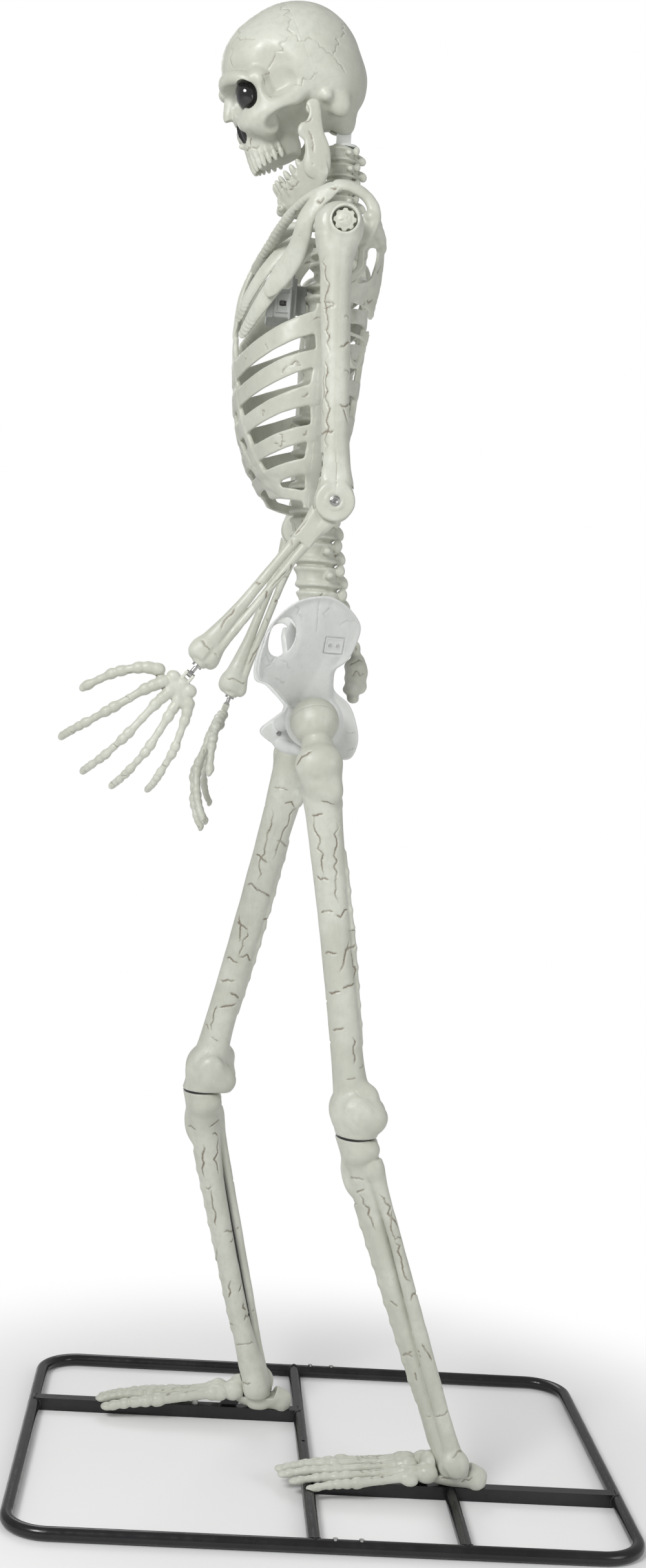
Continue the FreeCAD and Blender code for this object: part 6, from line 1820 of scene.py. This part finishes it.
SKULL_CRACKS = [
    # swing, strength and the line of each crack, for the left side
    (7, 0.62, [(0, 165, 0), (30, 150, 60), (46, 90, 120), (48, 10, 154), (52, -70, 130), (62, -130, 80),
        (80, -150, 30)]),
    (6, 0.62, [(4, 20, 158), (66, 26, 138), (112, 20, 92), (132, 10, 40)]),
    (5, 0.62, [(132, 10, 40), (128, -40, 20), (118, -72, -10), (114, -90, -46)]),
    (6, 0.6, [(132, 10, 40), (136, 60, 12), (130, 92, -36), (112, 110, -80)]),
    (7, 0.6, [(130, 92, -36), (108, 124, 10), (60, 152, 46), (8, 168, 62)]),
    (4, 0.8, [(110, -124, -26), (96, -142, 10)]),
    (4, 0.8, [(84, -140, -112), (62, -160, -128), (44, -172, -150)]),
    (3, 0.8, [(114, -96, -80), (112, -84, -106)]),
    (3, 0.8, [(60, -150, -160), (40, -166, -152), (14, -178, -148)]),
    (5, 0.6, [(104, -70, 64), (92, -96, 84), (70, -110, 100)]),
    (4, 0.6, [(120, 40, -60), (126, 10, -70), (118, -30, -66)]),
]


def arch_line(count, half, front, deep, height, reach=0.46):
    """Spots along a dental arch with the way that each tooth faces."""
    spots = []
    for turn in np.linspace(-reach * pi, reach * pi, count):
        spot = np.array((half * sin(turn), front + deep * (1 - cos(turn)), height))
        spots.append((spot, unit((half * sin(turn) * 0.9, -deep * cos(turn), 0)), abs(turn) / (reach * pi)))
    return spots


def head_place():
    """Local frame of the skull, which looks down."""
    tilt = radians(SKULL_TILT)
    place = np.eye(4)
    place[:3, 1] = (0, cos(tilt), sin(tilt))
    place[:3, 2] = (0, -sin(tilt), cos(tilt))
    place[:3, 3] = pivot("head_nod") + (0, -135, 124)
    return place


def make_skull():
    place = head_place()
    clay = Clay((-146, -206, -222), (146, 182, 172), 2.3)
    clay.add(egg((0, 16, 0), (140, 158, 158)), egg((0, -48, 26), (122, 122, 112)), soft=30)
    clay.lump((0, 62, -70), (112, 104, 92), 30)
    for way in (1, -1):
        clay.dent((way * 158, -70, -16), (36, 50, 54), 30)
    clay.lump((0, -92, -62), (86, 84, 84), 26)
    clay.add(shaft(MAXILLA, edge=8), soft=22)
    for way in (1, -1):
        clay.add(*strap([(way * 16, -170, 2), (way * 56, -168, 10), (way * 92, -148, 4), (way * 108, -122,
            -18)],
                        [13, 12, 11, 12]), soft=14)
        clay.add(*strap([(way * 106, -100, -10), (way * 108, -90, -46), (way * 104, -102, -84)], [16, 15,
            18]), soft=14)
        clay.add(*strap([(way * 54, -156, -98), (way * 92, -134, -100), (way * 110, -88, -98), (way * 112,
            -44, -88),
                         (way * 108, -6, -70)], [17, 21, 19, 16, 15], flat=((0.9 * way, 0, 0.2), 0.7)),
                             soft=20)
        clay.lump((way * 84, -112, -128), (24, 32, 26), 16)
        clay.dent((way * 110, -70, -134), (28, 46, 26), 14)
        clay.dent((way * 126, -58, -52), (16, 38, 26), 18)
        clay.add(limb((way * 60, 58, -112), (way * 104, 46, -112), 20, 17), soft=10)
        clay.lump((way * 82, 72, -134), (22, 28, 34), 14)
        turn = ((cos(0.3 * way), 0, -sin(0.3 * way)), (0, 1, 0), (sin(0.3 * way), 0, cos(0.3 * way)))
        clay.dent((way * 62, -178, -40), (46, 60, 38), 4, turn)
        clay.dent((way * 99, -134, -42), (24, 22, 43), 5)
        clay.dent((way * 20, -184, -110), (22, 38, 27), 4)
    clay.add(*strap([(0, -162, -10), (0, -176, -38), (0, -190, -62)], [13, 11, 9]), soft=10)
    clay.cut(limb((0, -190, -76), (0, -184, -112), 12, 24), soft=4)
    clay.lump((0, -178, -134), (5, 10, 8), 4)
    hinge = to_local(place, pivot("jaw_open"))
    clay.add(drum(hinge - (111, 0, 0), hinge + (111, 0, 0), 16, 4), soft=8)
    upper = arch_line(15, 57, -173, 84, -188)
    for spot, out, share in upper:
        tall = 22 - 6 * share
        wide = 7.0 + 0.6 * share
        rows = (tuple(np.cross(out, (0, 0, 1))), tuple(out), (0, 0, 1))
        clay.lump(spot + (0, 0, -2), (wide, 7.0, tall), 1, rows)
        clay.add(limb(spot + out * 1.0 + (0, 0, 14), spot - out * 2 + (0, 0, 44 - 10 * share), 6.0, 4.0),
            soft=3)
    for (a, way_a, _a), (b, way_b, _b) in zip(upper, upper[1:]):
        middle, out = (a + b) / 2, unit(way_a + way_b)
        clay.cut(limb(middle + out * 7.5 + (0, 0, -22), middle + out * 8 + (0, 0, 22), 3.4, 2.2), soft=1.5)
    # the slot for the neck lug, with its two ears
    nod = to_local(place, pivot("head_nod"))
    rows = tilt_x(-SKULL_TILT)
    clay.lump(nod + (0, 4, 8), (34, 32, 34), 26)
    clay.cut(brick(nod + (0, -6, -26), (8.6, 34, 50), 0.5, rows))
    cracks = []
    seed = 1000
    for way in (1, -1):
        for swing, strength, line in SKULL_CRACKS:
            cracks += jagged([(way * x, y, z) for x, y, z in line], swing, seed, 9, strength)
            seed += len(line) - 1
    ring = [(135 * sin(a), 30, 158 * cos(a)) for a in np.linspace(-2.1, 2.1, 60)]
    cracks.append((np.array(ring), 0.25))
    make_piece("skull_bone", "head", clay, ["skull_front", "skull_back"], "skull", place, cracks=cracks,
               lump=(110, 0.9), seed=1000, hollow_shade=0.8)
    eyes = []
    for way in (1, -1):
        clay = Clay((-54, -34, -44), (54, 34, 44), 1.6)
        clay.lump((0, 0, 0), (50, 27, 43))
        clay.lump((way * 12, -12, 4), (32, 16, 26), 16)
        points, faces = clay.skin()
        eyes.append(((points + (way * 60, -130, -44)) @ place[:3, :3].T + place[:3, 3], faces))
    settle("eye_lenses", mesh_from("eye_lenses", *join_skins(eyes)), "head", ["eye_panels"], "eye")
    clay = Clay((-40, -184, -146), (40, -128, -56), 1.6)
    clay.lump((0, -154, -104), (33, 20, 42))
    clay.add(*strap([(0, -170, -72), (0, -176, -104), (0, -170, -132)], [2.5, 3, 3]), soft=3)
    make_piece("nose_insert", "head", clay, ["nose_liner"], "eye", place, lump=(30, 0.2), seed=3)


# ---- jaw
JAW_LINE = [
    # middle of the plate from the hinge to the chin: outward, fore-and-aft and height from the hinge | radius
    (118, 2, 4, 15), (118, 4, -30, 18), (118, 9, -70, 23), (117, 20, -106, 28), (111, 20, -138, 33),
    (95, 6, -164, 35), (72, -12, -188, 35), (46, -28, -203, 32), (21, -37, -209, 29), (0, -39, -211, 29),
]


JAW_CRACKS = [
    [(120, -6, -60), (122, 6, -84), (122, 10, -110)], [(100, -30, -180), (84, -40, -190), (70, -56, -196)],
    [(60, -72, -214), (44, -76, -228), (36, -84, -240)], [(112, 30, -128), (112, 8, -136)],
    [(84, -44, -170), (70, -66, -178), (56, -78, -186)], [(122, -14, -40), (122, 0, -30)],
]


def make_jaw():
    hinge = pivot("jaw_open")
    place = place_at(hinge, 1)
    clay = Clay((-126, -104, -262), (126, 58, 24), 2.1)
    for way in (1, -1):
        line = [(way * row[0], row[1], row[2]) for row in JAW_LINE]
        radii = [row[3] for row in JAW_LINE]
        clay.add(*strap(line[:5], radii[:5], 5, flat=((1, 0, 0), 0.33)), soft=4)
        clay.add(*strap(line[4:], [r - 1 for r in radii[4:]], 5, flat=((way * 0.74, -0.53, -0.41), 0.26)),
            soft=8)
        clay.lump((way * 118, 0, 0), (5.8, 17, 17), 3)
        clay.lump((way * 118, -16, -58), (5.5, 16, 20), 8)
        clay.dent((way * 118, -20, -18), (20, 13, 20), 6)
        clay.add(limb((way * 92, 0, 0), (way * 116, 0, 0), 5.8), soft=1)
        clay.lump((way * 20, -56, -226), (15, 11, 10), 10)
        clay.dent((way * 52, -48, -214), (8, 10, 12), 10)
        clay.cut(limb((way * 66, -50, -204), (way * 60, -50, -204), 3.2), soft=2)
        clay.lump((way * 112, 24, -118), (7, 15, 26), 10)
    lower = []
    for index in range(6):
        share = (index + 0.5) / 6
        for way in (1, -1):
            turn = share * 0.47 * pi
            x = 92 * sin(turn)
            rise = 1 - cos(turn)
            lower.append((np.array((way * x, -66 + 64 * rise, -186 + 58 * rise)), share))
    lift = unit((0, -0.60, 0.80))
    for spot, share in lower:
        out = unit((spot[0] * 0.8, -50 * (1.1 - share), 0))
        rows = (tuple(unit(np.cross(out, lift))), tuple(unit(np.cross(lift, np.cross(out, lift)))),
            tuple(lift))
        clay.lump(spot + lift * 5, (7.2 + 1.2 * share, 6.4, 20), 1.5, rows)
        clay.add(limb(spot - lift * 8 + out, spot - lift * 26, 5.2, 3.4), soft=4)
    clay.keep(half_space((123.6, 0, 0), (-1, 0, 0)), soft=1)
    clay.keep(half_space((-123.6, 0, 0), (1, 0, 0)), soft=1)
    cracks = []
    seed = 1100
    for way in (1, -1):
        for line in JAW_CRACKS:
            cracks += jagged([(way * x, y, z) for x, y, z in line], 3.5, seed, 7, 0.8)
            seed += len(line) - 1
    make_piece("jaw_bone", "jaw", clay, ["jaw"], "skull", place, cracks=cracks, lump=(60, 0.6), seed=1100,
               hollow_shade=0.8)


# ---- stage
CAMERA_PLACE = (4.9776, -0.3934, 1.9289)
CAMERA_TURN = (-0.0593, 0.0432, -0.0708)     # yaw, pitch and roll, in radians
CAMERA_LENS = 45.55
WHITE = (1.0, 1.0, 1.0, 1.0)
FLOOR_REACH = 14.0      # metres from the middle of the floor to its rim
FLOOR_SIDES = 48
FLOOR_DROP = 0.0005      # keeps the floor clear of the tubes


def make_camera():
    """Camera at the side of the figure, a little above the hip."""
    yaw, pitch, roll = CAMERA_TURN
    level = Matrix(((0, 1, 0), (0, 0, 1), (1, 0, 0)))
    turn = Matrix.Rotation(roll, 3, "Z") @ Matrix.Rotation(pitch, 3, "X") @ level
    turn = turn @ Matrix.Rotation(yaw, 3, "Z").transposed()
    data = bpy.data.cameras.new("camera")
    data.lens = CAMERA_LENS
    data.sensor_width = 36.0
    camera = bpy.data.objects.new("camera", data)
    bpy.context.scene.collection.objects.link(camera)
    camera.matrix_world = Matrix.Translation(CAMERA_PLACE) @ turn.transposed().to_4x4()
    data.clip_start, data.clip_end = 0.05, 100.0
    bpy.context.scene.camera = camera


def lamp(name, place, aim, size, power):
    data = bpy.data.lights.new(name, "AREA")
    data.shape = "DISK"
    data.size = size
    data.energy = power
    light = bpy.data.objects.new(name, data)
    bpy.context.scene.collection.objects.link(light)
    light.location = place
    light.rotation_euler = (Vector(aim) - Vector(place)).to_track_quat("-Z", "Y").to_euler()


def make_stage():
    stage = bpy.context.scene.skeleton_stage
    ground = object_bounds()[0].z
    mesh = bpy.data.meshes.new("floor")
    count = FLOOR_SIDES
    points = [(0.0, 0.0, 0.0)]
    faces = [(0, 1 + i, 1 + (i + 1) % count) for i in range(count)]
    for ring, share in enumerate((0.05, 0.12, 0.25, 0.5, 1.0)):
        radius = FLOOR_REACH * share
        points += [(radius * cos(2 * pi * i / count), radius * sin(2 * pi * i / count), 0.0)
                   for i in range(count)]
        if ring:
            base = 1 + count * (ring - 1)
            faces += [(base + i, base + count + i, base + count + (i + 1) % count, base + (i + 1) % count)
                      for i in range(count)]
    mesh.from_pydata(points, [], faces)
    mesh.update()
    floor = bpy.data.objects.new("floor", mesh)
    floor.location = (0.0, 0.0, ground - FLOOR_DROP)
    bpy.context.scene.collection.objects.link(floor)
    mesh.materials.append(floor_material(stage.floor))
    floor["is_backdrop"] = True
    make_camera()
    middle = (0.0, -0.15, 1.9)
    lamp("key_lamp", (4.6, -3.2, 5.0), middle, 2.4, stage.key_power)
    lamp("fill_lamp", (3.6, 3.8, 2.6), middle, 3.0, stage.fill_power)
    lamp("rear_lamp", (-4.5, -1.0, 4.6), middle, 3.0, stage.fill_power)
    scene = bpy.context.scene
    scene.view_settings.view_transform = "Standard"
    world = bpy.data.worlds.new("studio")
    world.use_nodes = True
    scene.world = world
    world.node_tree.nodes.clear()
    n = Nodes(world)
    even = n.add("ShaderNodeBackground", Color=WHITE, Strength=stage.sky)
    seen = n.add("ShaderNodeBackground", Color=WHITE, Strength=1.0)
    path = n.add("ShaderNodeLightPath")
    either = n.math("MAXIMUM", path.outputs["Is Camera Ray"], path.outputs["Is Transmission Ray"])
    mixed = n.mix_shaders(either, even.outputs["Background"], seen.outputs["Background"])
    n.link(mixed, n.add("ShaderNodeOutputWorld").inputs["Surface"])


def floor_material(colour):
    """Pale floor that keeps the shadow near the figure and runs out to plain white for the eye."""
    n = Nodes.material("floor_paper")
    n.tree.nodes.remove(n.shader)
    surface = n.add("ShaderNodeBsdfDiffuse")
    tone = n.ramp(n.noise(1.5, 2.0), 0.3, 0.7)
    n.link(n.mix(tone, tuple(colour), darker(colour, 0.99)), surface.inputs["Color"])
    glow = n.add("ShaderNodeEmission", Color=WHITE)
    where = n.add("ShaderNodeTexCoord").outputs["Object"]
    away = n.add("ShaderNodeVectorMath", operation="LENGTH")
    n.link(where, away.inputs[0])
    far = n.ramp(away.outputs["Value"], 0.75, 1.6)
    seen = n.math("MULTIPLY", far, n.add("ShaderNodeLightPath").outputs["Is Camera Ray"])
    mixed = n.mix_shaders(seen, surface.outputs["BSDF"], glow.outputs["Emission"])
    n.link(mixed, n.tree.nodes["Material Output"].inputs["Surface"])
    return n.made


# ---- operators and panel
def both_sides(make):
    for name in SIDES:
        make(name)
    return {"FINISHED"}


class SKELETON_OT_stage(bpy.types.Operator):
    """Lay the floor, hang the lamps and set the camera"""

    bl_idname = "skeleton.stage"
    bl_label = "Stage"

    def execute(self, context):
        make_stage()
        return {"FINISHED"}


class SKELETON_OT_stand(bpy.types.Operator):
    """Paint the tube frame, the posts and the fastenings"""

    bl_idname = "skeleton.stand"
    bl_label = "Steel stand"

    def execute(self, context):
        make_stand()
        return {"FINISHED"}


class SKELETON_OT_thighs(bpy.types.Operator):
    """Mould both thigh bones"""

    bl_idname = "skeleton.thighs"
    bl_label = "Thigh bones"

    def execute(self, context):
        return both_sides(make_thigh)


class SKELETON_OT_shins(bpy.types.Operator):
    """Mould both pairs of shin bones"""

    bl_idname = "skeleton.shins"
    bl_label = "Shin bones"

    def execute(self, context):
        return both_sides(make_shin)


class SKELETON_OT_feet(bpy.types.Operator):
    """Mould the bones of both feet"""

    bl_idname = "skeleton.feet"
    bl_label = "Feet"

    def execute(self, context):
        return both_sides(make_foot)


class SKELETON_OT_pelvis(bpy.types.Operator):
    """Mould both hip bones and their cover plates"""

    bl_idname = "skeleton.pelvis"
    bl_label = "Pelvis"

    def execute(self, context):
        make_pelvis()
        return {"FINISHED"}


class SKELETON_OT_sacrum(bpy.types.Operator):
    """Mould the sacrum and the tail bone"""

    bl_idname = "skeleton.sacrum"
    bl_label = "Sacrum"

    def execute(self, context):
        make_sacrum()
        return {"FINISHED"}


class SKELETON_OT_spine(bpy.types.Operator):
    """Mould the lumbar, chest and neck vertebrae"""

    bl_idname = "skeleton.spine"
    bl_label = "Spine"

    def execute(self, context):
        make_spine()
        return {"FINISHED"}


class SKELETON_OT_cage(bpy.types.Operator):
    """Mould the two halves of the rib cage"""

    bl_idname = "skeleton.cage"
    bl_label = "Rib cage"

    def execute(self, context):
        make_cage()
        return {"FINISHED"}


class SKELETON_OT_shoulders(bpy.types.Operator):
    """Mould the collar bones and the shoulder blades"""

    bl_idname = "skeleton.shoulders"
    bl_label = "Shoulders"

    def execute(self, context):
        return both_sides(make_shoulder)


class SKELETON_OT_chest_box(bpy.types.Operator):
    """Mould the control box and its switch"""

    bl_idname = "skeleton.chest_box"
    bl_label = "Control box"

    def execute(self, context):
        make_chest_box()
        return {"FINISHED"}


class SKELETON_OT_upper_arms(bpy.types.Operator):
    """Mould both upper arms"""

    bl_idname = "skeleton.upper_arms"
    bl_label = "Upper arms"

    def execute(self, context):
        return both_sides(make_upper_arm)


class SKELETON_OT_knobs(bpy.types.Operator):
    """Mould the star knobs and the elbow bolts"""

    bl_idname = "skeleton.knobs"
    bl_label = "Knobs and bolts"

    def execute(self, context):
        return both_sides(make_fastenings)


class SKELETON_OT_forearms(bpy.types.Operator):
    """Mould both forearms"""

    bl_idname = "skeleton.forearms"
    bl_label = "Forearms"

    def execute(self, context):
        return both_sides(make_forearm)


class SKELETON_OT_hands(bpy.types.Operator):
    """Mould the bones of both hands"""

    bl_idname = "skeleton.hands"
    bl_label = "Hands"

    def execute(self, context):
        return both_sides(make_hand)


class SKELETON_OT_skull(bpy.types.Operator):
    """Mould the skull with its eyes, nose and upper teeth"""

    bl_idname = "skeleton.skull"
    bl_label = "Skull"

    def execute(self, context):
        make_skull()
        return {"FINISHED"}


class SKELETON_OT_jaw(bpy.types.Operator):
    """Mould the jaw and the lower teeth"""

    bl_idname = "skeleton.jaw"
    bl_label = "Jaw"

    def execute(self, context):
        make_jaw()
        return {"FINISHED"}


OPERATORS = (
    SKELETON_OT_stage, SKELETON_OT_stand, SKELETON_OT_thighs, SKELETON_OT_shins, SKELETON_OT_feet,
    SKELETON_OT_pelvis, SKELETON_OT_sacrum, SKELETON_OT_spine, SKELETON_OT_cage, SKELETON_OT_shoulders,
    SKELETON_OT_chest_box, SKELETON_OT_upper_arms, SKELETON_OT_knobs, SKELETON_OT_forearms,
    SKELETON_OT_hands, SKELETON_OT_skull, SKELETON_OT_jaw,
)


class SKELETON_PT_panel(bpy.types.Panel):
    """Every piece of the figure, in the order in which it is made"""

    bl_idname = "SKELETON_PT_panel"
    bl_label = "Walking skeleton"
    bl_space_type = "VIEW_3D"
    bl_region_type = "UI"
    bl_category = "Skeleton"

    def draw(self, context):
        for operator in OPERATORS:
            self.layout.operator(operator.bl_idname)
        for name in SETTINGS:
            group = getattr(context.scene, name)
            box = self.layout.box()
            for key in group.__annotations__:
                box.prop(group, key)


SETTINGS = {"skeleton_bone": BoneSettings, "skeleton_steel": SteelSettings, "skeleton_stage": StageSettings}
CLASSES = (*SETTINGS.values(), *OPERATORS, SKELETON_PT_panel)


def register():
    for item in CLASSES:
        bpy.utils.register_class(item)
    for name, group in SETTINGS.items():
        setattr(bpy.types.Scene, name, bpy.props.PointerProperty(type=group))


def unregister():
    for name in SETTINGS:
        delattr(bpy.types.Scene, name)
    for item in reversed(CLASSES):
        bpy.utils.unregister_class(item)


def main():
    register()
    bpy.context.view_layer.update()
    for operator in OPERATORS:
        group, name = operator.bl_idname.split(".")
        getattr(getattr(bpy.ops, group), name)()


if __name__ == "__main__":
    main()
